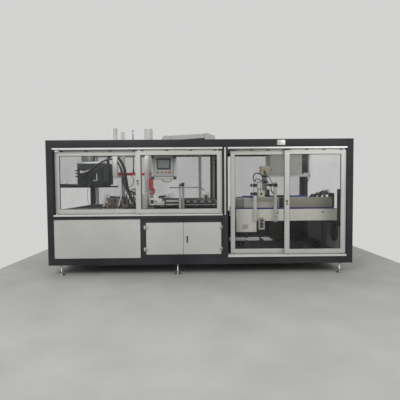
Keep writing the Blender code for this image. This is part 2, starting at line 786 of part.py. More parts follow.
def control_cabinet():
    """The cabinet's housing with its front flange, the two doors on their hinges, handle and plate."""
    hole_left = CABINET_LEFT + CABINET_POST_WIDTH
    hole_right = MIDDLE_LEFT - CABINET_RIGHT_MARGIN
    hole_bottom = OPEN_BOTTOM + CABINET_BOTTOM_MARGIN
    hole_top = DECK_BOTTOM - CABINET_TOP_MARGIN
    face = FRONT + CABINET_RECESS
    back = face + CABINET_DEPTH
    housing = outline(
        "cabinet_housing",
        [
            rectangle(CABINET_LEFT + SEAT, MIDDLE_LEFT - SEAT, OPEN_BOTTOM + SEAT, DECK_BOTTOM - SEAT),
            rectangle(hole_left, hole_right, hole_bottom, hole_top),
        ],
        CABINET_FLANGE,
        face + CABINET_FLANGE / 2,
        "XZ",
        charcoal(),
    )
    shell = outline(
        "cabinet_shell",
        [
            rectangle(
                hole_left - CABINET_WALL, hole_right + CABINET_WALL, hole_bottom - CABINET_WALL, hole_top + CABINET_WALL
            ),
            rectangle(hole_left, hole_right, hole_bottom, hole_top),
        ],
        CABINET_DEPTH - CABINET_FLANGE / 2,
        (face + CABINET_FLANGE / 2 + back) / 2,
        "XZ",
        charcoal(),
    )
    rear_wall = box(
        "cabinet_rear_wall",
        (hole_left - CABINET_WALL / 2, back - CABINET_WALL, hole_bottom - CABINET_WALL / 2),
        (hole_right + CABINET_WALL / 2, back - SEAT, hole_top + CABINET_WALL / 2),
        charcoal(),
    )
    pin_y = face - HINGE_PIN_FORWARD
    left_pin = (hole_left, pin_y)
    right_pin = (hole_right, pin_y)
    heights = [hole_bottom + rise for rise in HINGE_RISES]
    fixed = []
    for number, z in enumerate(heights):
        fixed += hinge_half(f"fixed_left_{number}", left_pin, -1, z, False, HINGE_LEAF_WIDTH)
        fixed += hinge_half(f"fixed_right_{number}", right_pin, 1, z, False, HINGE_FIXED_LEAF_WIDTH)
    plate_y = back - CABINET_WALL - MOUNTING_STUD_LENGTH
    plate = box(
        "cabinet_mounting_plate",
        (hole_left + MOUNTING_PLATE_MARGIN, plate_y - MOUNTING_PLATE_THICKNESS, hole_bottom + MOUNTING_PLATE_MARGIN),
        (hole_right - MOUNTING_PLATE_MARGIN, plate_y, hole_top - MOUNTING_PLATE_MARGIN),
        aluminium(),
    )
    studs = [
        rod(
            f"plate_stud_{x_side}_{z_side}",
            (x, plate_y - MOUNTING_PLATE_THICKNESS / 2, z),
            (x, back - CABINET_WALL / 2, z),
            MOUNTING_STUD_RADIUS,
            aluminium(),
            8,
        )
        for x_side, x in enumerate((hole_left + 2 * MOUNTING_PLATE_MARGIN, hole_right - 2 * MOUNTING_PLATE_MARGIN))
        for z_side, z in enumerate((hole_bottom + 2 * MOUNTING_PLATE_MARGIN, hole_top - 2 * MOUNTING_PLATE_MARGIN))
    ]
    fuse(housing, shell, rear_wall, *fixed, *studs, plate)

    seam = hole_left + LEFT_CABINET_DOOR_WIDTH
    z_low = hole_bottom + CLEAR
    z_high = hole_top - CLEAR
    door_back = face + CABINET_DOOR_THICKNESS
    left_door = box(
        "cabinet_door_left", (hole_left + CLEAR, face, z_low), (seam - CLEAR / 2, door_back, z_high), panel_grey()
    )
    right_door = box(
        "cabinet_door_right", (seam + CLEAR / 2, face, z_low), (hole_right - CLEAR, door_back, z_high), panel_grey()
    )
    left_halves = []
    right_halves = []
    for number, z in enumerate(heights):
        left_halves += hinge_half(f"door_left_{number}", left_pin, 1, z, True, HINGE_LEAF_WIDTH)
        right_halves += hinge_half(f"door_right_{number}", right_pin, -1, z, True, HINGE_LEAF_WIDTH)
    fuse(left_door, *left_halves)
    fuse(right_door, *right_halves)

    handle_x = seam + HANDLE_INSET
    handle_low = hole_bottom + HANDLE_RISE - HANDLE_HEIGHT / 2
    radius = HANDLE_WIDTH / 2
    lower = arc((handle_x, handle_low + radius), radius, 180, 360, 8)
    upper = arc((handle_x, handle_low + HANDLE_HEIGHT - radius), radius, 0, 180, 8)
    handle_middle = face - SEAT - HANDLE_DEPTH / 2
    handle = outline("cabinet_handle", [lower + upper], HANDLE_DEPTH, handle_middle, "XZ", black_plastic())
    hang("left_cabinet_hinge", (*left_pin, z_low), left_door)
    hang("right_cabinet_hinge", (*right_pin, z_low), right_door, handle)


def track(name, x_low, x_high, z_low, height, opens_up):
    """A double channel for two leaves: a web with a front, a middle and a rear lip."""
    y_low = FRONT
    y_high = FRONT + TRACK_DEPTH
    front_leaf_back = FRONT + FRONT_LEAF_SETBACK + LEAF_THICKNESS
    middle_lip = (front_leaf_back + FRONT + REAR_LEAF_SETBACK) / 2 - TRACK_LIP / 2
    z_high = z_low + height
    web_low, web_high = (z_low, z_low + TRACK_WEB) if opens_up else (z_high - TRACK_WEB, z_high)
    lip_low, lip_high = (web_high, z_high) if opens_up else (z_low, web_low)
    near = lip_low if opens_up else lip_high
    far = lip_high if opens_up else lip_low
    back = web_low if opens_up else web_high
    section = [
        (y_low, back),
        (y_low, far),
        (y_low + TRACK_LIP, far),
        (y_low + TRACK_LIP, near),
        (middle_lip, near),
        (middle_lip, far),
        (middle_lip + TRACK_LIP, far),
        (middle_lip + TRACK_LIP, near),
        (y_high - TRACK_LIP, near),
        (y_high - TRACK_LIP, far),
        (y_high, far),
        (y_high, back),
    ]
    outline(name, [section], x_high - x_low, (x_low + x_high) / 2, "YZ", aluminium())


def sliding_leaf(name, x_low, x_high, track_floor, z_low, setback, stile):
    """A glazed leaf on two rollers, with a fin along its top that runs in the upper track."""
    z_high = OPEN_TOP - LEAF_HEAD_ROOM
    middle = FRONT + setback + LEAF_THICKNESS / 2
    hole = (x_low + stile, x_high - stile, z_low + LEAF_BOTTOM_RAIL, z_high - LEAF_TOP_RAIL)
    loops = [rectangle(x_low, x_high, z_low, z_high), rectangle(*hole)]
    leaf = outline(name, loops, LEAF_THICKNESS, middle, "XZ", door_profile())
    additions = []
    for end, x in (("left", x_low + ROLLER_INSET), ("right", x_high - ROLLER_INSET)):
        axle_z = track_floor + SEAT + ROLLER_RADIUS
        additions.append(
            rod(
                f"{name}_roller_{end}",
                (x, middle - ROLLER_WIDTH / 2, axle_z),
                (x, middle + ROLLER_WIDTH / 2, axle_z),
                ROLLER_RADIUS,
                black_plastic(),
            )
        )
        additions.append(
            box(
                f"{name}_roller_fork_{end}",
                (x - ROLLER_FORK_LENGTH / 2, middle - ROLLER_FORK_WIDTH / 2, axle_z),
                (x + ROLLER_FORK_LENGTH / 2, middle + ROLLER_FORK_WIDTH / 2, z_low + SINK),
                black_plastic(),
            )
        )
    web_bottom = OPEN_TOP - SEAT - TRACK_WEB
    additions.append(
        box(
            f"{name}_fin",
            (x_low + ROLLER_INSET, middle - GUIDE_FIN_THICKNESS / 2, z_high - SINK),
            (x_high - ROLLER_INSET, middle + GUIDE_FIN_THICKNESS / 2, web_bottom - GUIDE_FIN_CLEARANCE),
            door_profile(),
        )
    )
    fuse(leaf, *additions)
    pane = box(
        name.replace("leaf", "pane"),
        (hole[0] + SEAT, middle - PANE_THICKNESS / 2, hole[2] + SEAT),
        (hole[1] - SEAT, middle + PANE_THICKNESS / 2, hole[3] - SEAT),
        clear_sheet(),
    )
    hang(name + "_slide", (x_low, middle, z_low), leaf, pane)


def sliding_doors():
    upper_low = OPEN_TOP - SEAT - UPPER_TRACK_HEIGHT
    left_floor = DECK_TOP + SEAT
    right_floor = OPEN_BOTTOM + SEAT
    left = (OPEN_LEFT + SEAT, MIDDLE_LEFT - SEAT)
    right = (MIDDLE_RIGHT + SEAT, OPEN_RIGHT - SEAT)
    track("left_upper_track", *left, upper_low, UPPER_TRACK_HEIGHT, False)
    track("left_lower_track", *left, left_floor, LEFT_LOWER_TRACK_HEIGHT, True)
    track("right_upper_track", *right, upper_low, UPPER_TRACK_HEIGHT, False)
    track("right_lower_track", *right, right_floor, RIGHT_LOWER_TRACK_HEIGHT, True)
    left_run = left_floor + TRACK_WEB
    right_run = right_floor + TRACK_WEB
    left_z = DECK_TOP + LEFT_LOWER_TRACK_HEIGHT + LEAF_LIFT
    right_z = OPEN_BOTTOM + RIGHT_LOWER_TRACK_HEIGHT + LEAF_LIFT
    left_end = OPEN_LEFT + CLEAR
    left_stop = MIDDLE_LEFT - CLEAR
    right_start = MIDDLE_RIGHT + RIGHT_REAR_LEAF_AJAR
    right_stop = OPEN_RIGHT - CLEAR
    front = (FRONT_LEAF_SETBACK, FRONT_STILE)
    rear = (REAR_LEAF_SETBACK, REAR_STILE)
    sliding_leaf("left_bay_front_leaf", left_stop - LEFT_FRONT_LEAF_WIDTH, left_stop, left_run, left_z, *front)
    sliding_leaf("left_bay_rear_leaf", left_end, left_end + LEFT_REAR_LEAF_WIDTH, left_run, left_z, *rear)
    sliding_leaf("right_bay_front_leaf", right_stop - RIGHT_FRONT_LEAF_WIDTH, right_stop, right_run, right_z, *front)
    sliding_leaf("right_bay_rear_leaf", right_start, right_start + RIGHT_REAR_LEAF_WIDTH, right_run, right_z, *rear)


def rear_window(side, x_low, x_high, z_low, z_high):
    """A fixed glazed frame, and one clear sheet on its inner face."""
    y_middle = REAR - REAR_WINDOW_SETBACK - REAR_WINDOW_THICKNESS / 2
    edge = REAR_STILE_WIDTH
    loops = [
        rectangle(x_low, x_high, z_low, z_high),
        rectangle(x_low + edge, x_high - edge, z_low + edge, z_high - REAR_HEAD_WIDTH),
    ]
    outline(f"rear_{side}_window_frame", loops, REAR_WINDOW_THICKNESS, y_middle, "XZ", door_profile())
    inner_face = y_middle - REAR_WINDOW_THICKNESS / 2 - SEAT
    box(
        f"rear_{side}_pane",
        (x_low + edge / 2, inner_face - PANE_THICKNESS, z_low + edge / 2),
        (x_high - edge / 2, inner_face, z_high - REAR_HEAD_WIDTH / 2),
        clear_sheet(),
    )


def fixed_glazing():
    top = REAR_OPEN_TOP - SEAT
    rear_window("left", OPEN_LEFT + SEAT, MIDDLE_LEFT - SEAT, DECK_TOP + SEAT, top)
    rear_window(
        "right", MIDDLE_RIGHT + SEAT, OPEN_RIGHT - SEAT, OPEN_BOTTOM + REAR_LOWER_PANEL_RISE + SEAT, top
    )
    pane_x = LEFT + POST_WIDTH / 2
    box(
        "left_end_pane",
        (pane_x, OPEN_FRONT + SEAT, LEFT_CROSS_RAIL + CROSS_RAIL_HEIGHT + SEAT),
        (pane_x + PANE_THICKNESS, OPEN_REAR - SEAT, REAR_OPEN_TOP - SEAT),
        clear_sheet(),
    )


def glue_unit():
    """The melter on its shelf, which is carried by the left end's cross rail, and its heated hose."""
    shelf_top = LEFT_CROSS_RAIL + SHELF_THICKNESS
    x_low = OPEN_LEFT + GLUE_FROM_LEFT
    x_high = x_low + GLUE_WIDTH
    y_low = FRONT + GLUE_FROM_FRONT
    y_high = y_low + GLUE_DEPTH
    z_high = shelf_top + GLUE_HEIGHT
    body = box("glue_unit", (x_low, y_low, shelf_top - SINK), (x_high, y_high, z_high), dark_steel())
    side_top = z_high - SINK
    side = box(
        "glue_unit_side",
        (x_high - SINK, y_low + SINK, shelf_top + GLUE_SIDE_LIFT),
        (x_high + GLUE_SIDE_WIDTH, y_low + GLUE_SIDE_DEPTH, side_top),
        dark_steel(),
    )
    lid = box(
        "glue_unit_lid",
        (x_low - GLUE_LID_LAP, y_low - GLUE_LID_LAP, z_high - SINK),
        (x_high + GLUE_LID_LAP, y_high + GLUE_LID_LAP, z_high + GLUE_LID_HEIGHT),
        aluminium(),
    )
    shelf = box(
        "glue_unit_shelf",
        (OPEN_LEFT + SEAT, y_low - SHELF_MARGIN, LEFT_CROSS_RAIL),
        (x_high + GLUE_SIDE_WIDTH, y_high + SHELF_MARGIN, shelf_top),
        charcoal(),
    )
    plugs = []
    for number in range(3):
        z = shelf_top + GLUE_PLUG_RISE + GLUE_PLUG_PITCH * number
        plugs.append(
            rod(
                f"glue_plug_{number}",
                (x_low - GLUE_PLUG_LENGTH, y_low + SHELF_MARGIN, z),
                (x_low + SINK, y_low + SHELF_MARGIN, z),
                GLUE_PLUG_RADIUS,
                black_plastic(),
                8,
            )
        )
    fuse(body, shelf, side, lid, *plugs)

    start = Vector((x_high + GLUE_SIDE_WIDTH / 2, y_low + GLUE_SIDE_DEPTH / 2, side_top + SEAT))
    run = LEFT_LIFT_POST_FROM_LEFT - GLUE_FROM_LEFT - GLUE_WIDTH
    drop = start.z - DECK_SURFACE - HOSE_RADIUS - SEAT
    # Each bend's shares of the run to the right, of the sway to the front and of the drop to the deck
    bends = [
        (0.0, 0.0, -0.112),
        (0.32, 0.2, -0.190),
        (0.85, 0.6, -0.157),
        (1.45, 0.9, 0.067),
        (1.62, 1.0, 0.313),
        (1.80, 1.0, 0.559),
        (2.15, 1.0, 0.761),
        (2.70, 1.0, 0.942),
        (3.10, 1.0, 1.0),
    ]
    points = [start + Vector((right * run, -forward * HOSE_SWAY, -down * drop)) for right, forward, down in bends]
    leaving = start + Vector((0.0, 0.0, HOSE_RADIUS))
    end = points[-1] + Vector((2 * HOSE_RADIUS, 0.0, 0.0))
    tube("glue_hose", [start, *smooth_route([leaving, *points], 4), end], HOSE_RADIUS, black_plastic(), 2)


def junction_box():
    """The box on the inner side of the left end frame's top rail, above the melter."""
    y_high = OPEN_REAR - JUNCTION_BOX_REAR_GAP
    z_low = OPEN_TOP - JUNCTION_BOX_DROP
    box(
        "junction_box",
        (OPEN_LEFT + SEAT, y_high - JUNCTION_BOX_DEPTH, z_low),
        (OPEN_LEFT + SEAT + JUNCTION_BOX_LENGTH, y_high, z_low + JUNCTION_BOX_HEIGHT),
        panel_grey(),
    )


def case_magazine():
    """The slatted bed for the case blanks with its leaning guides, and the lift posts through the roof."""
    x_low = OPEN_LEFT + MAGAZINE_FROM_LEFT
    x_high = x_low + MAGAZINE_BED_LENGTH
    y_low = FRONT + MAGAZINE_FROM_FRONT
    y_high = y_low + MAGAZINE_BED_DEPTH
    floor = DECK_SURFACE + SEAT
    top = floor + MAGAZINE_BED_HEIGHT
    rail = MAGAZINE_SLAT_WIDTH / 2
    near = box("magazine_bed", (x_low, y_low, floor), (x_high, y_low + rail, top), dark_steel())
    far = box("magazine_far_rail", (x_low, y_high - rail, floor), (x_high, y_high, top), dark_steel())
    pitch = (MAGAZINE_BED_LENGTH - MAGAZINE_SLAT_WIDTH) / (MAGAZINE_SLAT_COUNT - 1)
    slats = [
        box(
            f"magazine_slat_{number}",
            (x_low + pitch * number, y_low + rail - SINK, top - rail),
            (x_low + pitch * number + MAGAZINE_SLAT_WIDTH, y_high - rail + SINK, top - SINK),
            dark_steel(),
        )
        for number in range(MAGAZINE_SLAT_COUNT)
    ]
    lean = math.radians(MAGAZINE_GUIDE_LEAN)
    run = MAGAZINE_GUIDE_LENGTH * math.sin(lean)
    rise = MAGAZINE_GUIDE_LENGTH * math.cos(lean)
    guide_y = y_low - MAGAZINE_GUIDE_THICKNESS / 2 + SINK
    foot_x = x_high - MAGAZINE_GUIDE_FROM_END
    guides = []
    for number in range(2):
        x = foot_x + number * MAGAZINE_GUIDE_SPACING
        leaning = [
            (x, floor),
            (x + MAGAZINE_GUIDE_WIDTH, floor),
            (x + MAGAZINE_GUIDE_WIDTH + run, floor + rise),
            (x + run, floor + rise),
        ]
        guides.append(
            outline(
                f"magazine_guide_{number}",
                [leaning],
                MAGAZINE_GUIDE_THICKNESS,
                guide_y,
                "XZ",
                light_paint(),
            )
        )
    fuse(near, *slats, far, *guides)


def lift_post_group(name, from_left, floor, front_rise, rear_rise, slim_side, hangs):
    """A front and a rear post tied by a depth bar, with a slim bar beside the front one, which may hang from the bar."""
    half = LIFT_POST_SIZE / 2
    x = OPEN_LEFT + from_left
    y = FRONT + LIFT_POST_FROM_FRONT
    far_y = y + LIFT_POST_SPACING
    bar_z = DECK_TOP + LIFT_CROSS_BAR_RISE
    front_low = bar_z - LIFT_CROSS_BAR_HEIGHT / 2 if hangs else floor
    front = box(name, (x, y, front_low), (x + LIFT_POST_SIZE, y + LIFT_POST_SIZE, ROOF + front_rise), light_paint())
    rear = box(
        name + "_rear",
        (x + SINK, far_y, floor),
        (x + LIFT_POST_SIZE - SINK, far_y + LIFT_POST_SIZE, ROOF + rear_rise),
        light_paint(),
    )
    bar = box(
        name + "_bar",
        (x + 2 * SINK, y + half, bar_z),
        (x + LIFT_POST_SIZE - 2 * SINK, far_y + half, bar_z + LIFT_CROSS_BAR_HEIGHT),
        light_paint(),
    )
    slim_low = x - SLIM_BAR_SIZE + SINK / 2 if slim_side < 0 else x + LIFT_POST_SIZE - SINK / 2
    slim = box(
        name + "_slim_bar",
        (slim_low, y + SINK, bar_z + LIFT_CROSS_BAR_HEIGHT / 2),
        (slim_low + SLIM_BAR_SIZE, y + SINK + SLIM_BAR_SIZE, ROOF + front_rise - SINK),
        light_paint(),
    )
    return fuse(front, bar, rear, slim)


def lifting_gear():
    deck = DECK_SURFACE + SEAT
    slat_top = deck + MAGAZINE_BED_HEIGHT - SINK + SEAT
    left_rises = (LEFT_LIFT_POST_RISE, REAR_LEFT_LIFT_POST_RISE)
    right_rises = (RIGHT_LIFT_POST_RISE, REAR_RIGHT_LIFT_POST_RISE)
    lift_post_group("left_lift_posts", LEFT_LIFT_POST_FROM_LEFT, slat_top, *left_rises, -1, True)
    lift_post_group("right_lift_posts", RIGHT_LIFT_POST_FROM_LEFT, deck, *right_rises, 1, False)
    beam_z = DECK_TOP + LIFT_CROSS_BAR_RISE + LIFT_CROSS_BAR_HEIGHT + SEAT
    y_middle = FRONT + LIFT_POST_FROM_FRONT + (LIFT_POST_SPACING + LIFT_POST_SIZE) / 2
    x_low = OPEN_LEFT + LEFT_LIFT_POST_FROM_LEFT - RED_BEAM_OVERHANG
    beam = box(
        "red_cross_beam",
        (x_low, y_middle - RED_BEAM_DEPTH / 2, beam_z),
        (x_low + RED_BEAM_LENGTH, y_middle + RED_BEAM_DEPTH / 2, beam_z + RED_BEAM_HEIGHT),
        red_paint(),
    )
    rod_x = OPEN_LEFT + LIFT_ROD_FROM_LEFT
    lift = rod(
        "lift_rod",
        (rod_x, y_middle, beam_z + RED_BEAM_HEIGHT - SINK),
        (rod_x, y_middle, ROOF + LIFT_ROD_RISE),
        LIFT_ROD_RADIUS,
        dark_steel(),
        12,
    )
    fuse(beam, lift)


def folding_arm():
    """The red arm on the front right lift post: a flat bar that ends in a curved hook."""
    x_low = OPEN_LEFT + RIGHT_LIFT_POST_FROM_LEFT + LIFT_POST_SIZE + SEAT
    z_high = DECK_TOP + ARM_TOP_RISE
    z_low = z_high - ARM_LENGTH
    centre = (x_low + ARM_WIDTH - ARM_HOOK_RADIUS + ARM_HOOK_WIDTH, z_low)
    outer = arc(centre, ARM_HOOK_RADIUS, 0, -ARM_HOOK_SWEEP, 10)
    inner = arc(centre, ARM_HOOK_RADIUS - ARM_HOOK_WIDTH, 0, -ARM_HOOK_SWEEP, 8)
    shape = [
        (x_low, z_high),
        (x_low, z_low + ARM_HOOK_WIDTH),
        *inner,
        *reversed(outer),
        (centre[0] + ARM_HOOK_RADIUS, z_low + ARM_HOOK_WIDTH),
        (x_low + ARM_WIDTH, z_low + 2 * ARM_HOOK_WIDTH),
        (x_low + ARM_WIDTH, z_high),
    ]
    y_middle = FRONT + LIFT_POST_FROM_FRONT + LIFT_POST_SIZE / 2
    outline("folding_arm", [shape], ARM_THICKNESS, y_middle, "XZ", red_paint())


def operator_panel():
    """The operator panel in its tube frame, hung from the top frame behind the doors."""
    centre = MIDDLE_LEFT - PANEL_FROM_MIDDLE_POST - HMI_WIDTH / 2
    x_low = centre - HMI_WIDTH / 2
    x_high = centre + HMI_WIDTH / 2
    y_low = FRONT + HMI_FROM_FRONT
    z_low = DECK_TOP + HMI_BOTTOM_RISE
    z_high = z_low + HMI_HEIGHT
    panel = box("operator_panel", (x_low, y_low, z_low), (x_high, y_low + HMI_DEPTH, z_high), panel_grey())
    bezel_z = z_low + HMI_BEZEL_RISE
    bezel = box(
        "operator_panel_bezel",
        (centre - HMI_BEZEL_WIDTH / 2, y_low - HMI_BEZEL_PROUD, bezel_z),
        (centre + HMI_BEZEL_WIDTH / 2, y_low + SINK, bezel_z + HMI_BEZEL_HEIGHT),
        black_plastic(),
    )
    buttons = []
    for number in range(HMI_BUTTON_COUNT):
        x = centre + (number - (HMI_BUTTON_COUNT - 1) / 2) * HMI_BUTTON_PITCH
        radius = HMI_STOP_RADIUS if number == 3 else HMI_BUTTON_RADIUS
        z = z_low + HMI_BUTTON_RISE
        start = (x, y_low - HMI_BUTTON_PROUD, z)
        buttons.append(rod(f"operator_button_{number}", start, (x, y_low + SINK, z), radius, black_plastic(), 12))
    fuse(panel, bezel, *buttons)

    tube_y = y_low + (HMI_DEPTH - HMI_TUBE_DEPTH) / 2
    tube_top = OPEN_TOP + RUNG_INSET - SEAT
    left_tube = box(
        "operator_panel_bracket",
        (x_low - SEAT - HMI_TUBE_WIDTH, tube_y, z_low - HMI_TUBE_WIDTH),
        (x_low - SEAT, tube_y + HMI_TUBE_DEPTH, tube_top),
        light_paint(),
    )
    right_tube = box(
        "bracket_right_tube",
        (x_high + SEAT, tube_y, z_low - HMI_TUBE_WIDTH),
        (x_high + SEAT + HMI_TUBE_WIDTH, tube_y + HMI_TUBE_DEPTH, tube_top),
        light_paint(),
    )
    low_tube = box(
        "bracket_low_tube",
        (x_low - SINK, tube_y + SINK / 2, z_low - HMI_TUBE_WIDTH + SINK / 2),
        (x_high + SINK, tube_y + HMI_TUBE_DEPTH - SINK / 2, z_low - SEAT),
        light_paint(),
    )
    mount = box(
        "bracket_mount",
        (x_low - HMI_TUBE_WIDTH / 2, OPEN_FRONT + SEAT, OPEN_TOP),
        (x_high + HMI_TUBE_WIDTH / 2, tube_y + HMI_TUBE_DEPTH / 2, tube_top - SINK / 2),
        light_paint(),
    )
    fuse(left_tube, low_tube, right_tube, mount)


def case_bed():
    """The bed the cases are erected on, on a pedestal, with its flap block and a sensor block."""
    floor = DECK_SURFACE + SEAT
    x_high = MIDDLE_LEFT - BED_FROM_MIDDLE_POST
    x_low = x_high - BED_LENGTH
    y_low = FRONT + BED_FROM_FRONT
    y_high = OPEN_REAR - BED_REAR_GAP
    plate_top = floor + BED_TOP_RISE
    plate = box(
        "case_bed", (x_low, y_low, plate_top - BED_PLATE_THICKNESS), (x_high, y_high, plate_top), dark_steel()
    )
    middle = (y_low + y_high) / 2
    pedestal = box(
        "bed_pedestal",
        (x_low + BED_RAIL_WIDTH, middle - BED_PEDESTAL_WIDTH / 2, floor),
        (x_high - BED_RAIL_WIDTH, middle + BED_PEDESTAL_WIDTH / 2, plate_top - BED_PLATE_THICKNESS + SINK),
        dark_steel(),
    )
    pitch = (y_high - y_low - BED_RAIL_WIDTH - 2 * SINK) / (BED_RAIL_COUNT - 1)
    rails = [
        box(
            f"bed_rail_{number}",
            (x_low + SINK, y_low + SINK + pitch * number, plate_top - SINK),
            (x_high - SINK, y_low + SINK + pitch * number + BED_RAIL_WIDTH, plate_top + BED_RAIL_HEIGHT),
            aluminium(),
        )
        for number in range(BED_RAIL_COUNT)
    ]
    block_top = floor + BED_TOP_RISE + FLAP_BLOCK_HEIGHT
    block_y = y_low + BED_RAIL_WIDTH + 2 * SINK
    block_x = x_low + 2 * SINK
    block = box(
        "flap_block",
        (block_x, block_y, plate_top - SINK),
        (block_x + FLAP_BLOCK_LENGTH, block_y + FLAP_BLOCK_DEPTH, block_top),
        aluminium(),
    )
    ram_z = block_top - FLAP_RAM_DROP
    ram = rod(
        "flap_cylinder",
        (block_x + FLAP_BLOCK_LENGTH - SINK, block_y + FLAP_BLOCK_DEPTH / 2, ram_z),
        (block_x + FLAP_BLOCK_LENGTH + FLAP_RAM_LENGTH, block_y + FLAP_BLOCK_DEPTH / 2, ram_z),
        FLAP_RAM_RADIUS,
        aluminium(),
    )
    sensor_x = MIDDLE_LEFT - SENSOR_FROM_MIDDLE_POST
    sensor = box(
        "sensor_block",
        (sensor_x, block_y, plate_top - SINK),
        (sensor_x + SENSOR_BLOCK_SIZE, block_y + SENSOR_BLOCK_SIZE, plate_top + SENSOR_BLOCK_HEIGHT),
        light_paint(),
    )
    fuse(plate, pedestal, *rails, block, ram, sensor)


def guide_posts():
    """Two slim posts tied by a clamp that holds a bent guide rod."""
    floor = DECK_SURFACE + SEAT
    x = MIDDLE_LEFT - GUIDE_POST_FROM_MIDDLE_POST - GUIDE_POST_WIDTH
    y = FRONT + GUIDE_POST_FROM_FRONT
    top = DECK_TOP + GUIDE_POST_RISE
    first = box("guide_posts", (x, y, floor), (x + GUIDE_POST_WIDTH, y + GUIDE_POST_WIDTH, top), aluminium())
    second_x = x + GUIDE_POST_PITCH
    second = box(
        "guide_post_second",
        (second_x, y, floor),
        (second_x + GUIDE_POST_WIDTH, y + GUIDE_POST_WIDTH, top - GUIDE_CLAMP_HEIGHT / 2),
        aluminium(),
    )
    clamp = box(
        "guide_clamp",
        (x + SINK, y - SINK, top - GUIDE_CLAMP_HEIGHT),
        (second_x + GUIDE_POST_WIDTH + SINK, y + GUIDE_POST_WIDTH + SINK, top + SINK),
        black_plastic(),
    )
    rod_z = DECK_TOP + GUIDE_ROD_RISE
    rod_y = y - GUIDE_ROD_RADIUS / 2
    right = second_x + GUIDE_POST_WIDTH
    rod_end = right + GUIDE_ROD_RIGHT_REACH
    route = [
        (x - GUIDE_ROD_LEFT_REACH, rod_y, rod_z),
        (x, rod_y, rod_z),
        (right, rod_y, rod_z),
        (rod_end - GUIDE_ROD_BEND_LENGTH, rod_y, rod_z),
        (rod_end - GUIDE_ROD_BEND_LENGTH / 2, rod_y, rod_z - GUIDE_ROD_BEND_DROP / 3),
        (rod_end, rod_y, rod_z - GUIDE_ROD_BEND_DROP),
    ]
    rail = tube("guide_rod", route, GUIDE_ROD_RADIUS, aluminium(), 2)
    fuse(first, second, clamp, rail)


def support_posts():
    """A profile post and a slim dark post from the deck to the roof sheet, tied by a bar under it."""
    floor = DECK_SURFACE + SEAT
    top = ROOF_SHEET_TOP - ROOF_SHEET_THICKNESS - SEAT
    x = MIDDLE_LEFT - SUPPORT_POST_FROM_MIDDLE_POST
    y = OPEN_REAR - SUPPORT_POST_REAR_GAP - SUPPORT_POST_SIZE
    post = box("support_posts", (x, y, floor), (x + SUPPORT_POST_SIZE, y + SUPPORT_POST_SIZE, top), aluminium())
    slim_x = MIDDLE_LEFT - SLIM_POST_FROM_MIDDLE_POST
    slim = box(
        "support_slim_post",
        (slim_x, y, floor),
        (slim_x + SLIM_POST_SIZE, y + SLIM_POST_SIZE, top - SUPPORT_BAR_HEIGHT / 2),
        dark_steel(),
    )
    bar = box(
        "support_bar",
        (x + SINK, y + SINK, top - SUPPORT_BAR_HEIGHT),
        (slim_x + SLIM_POST_SIZE + SINK, y + SLIM_POST_SIZE + SINK, top - SINK),
        aluminium(),
    )
    fuse(post, bar, slim)


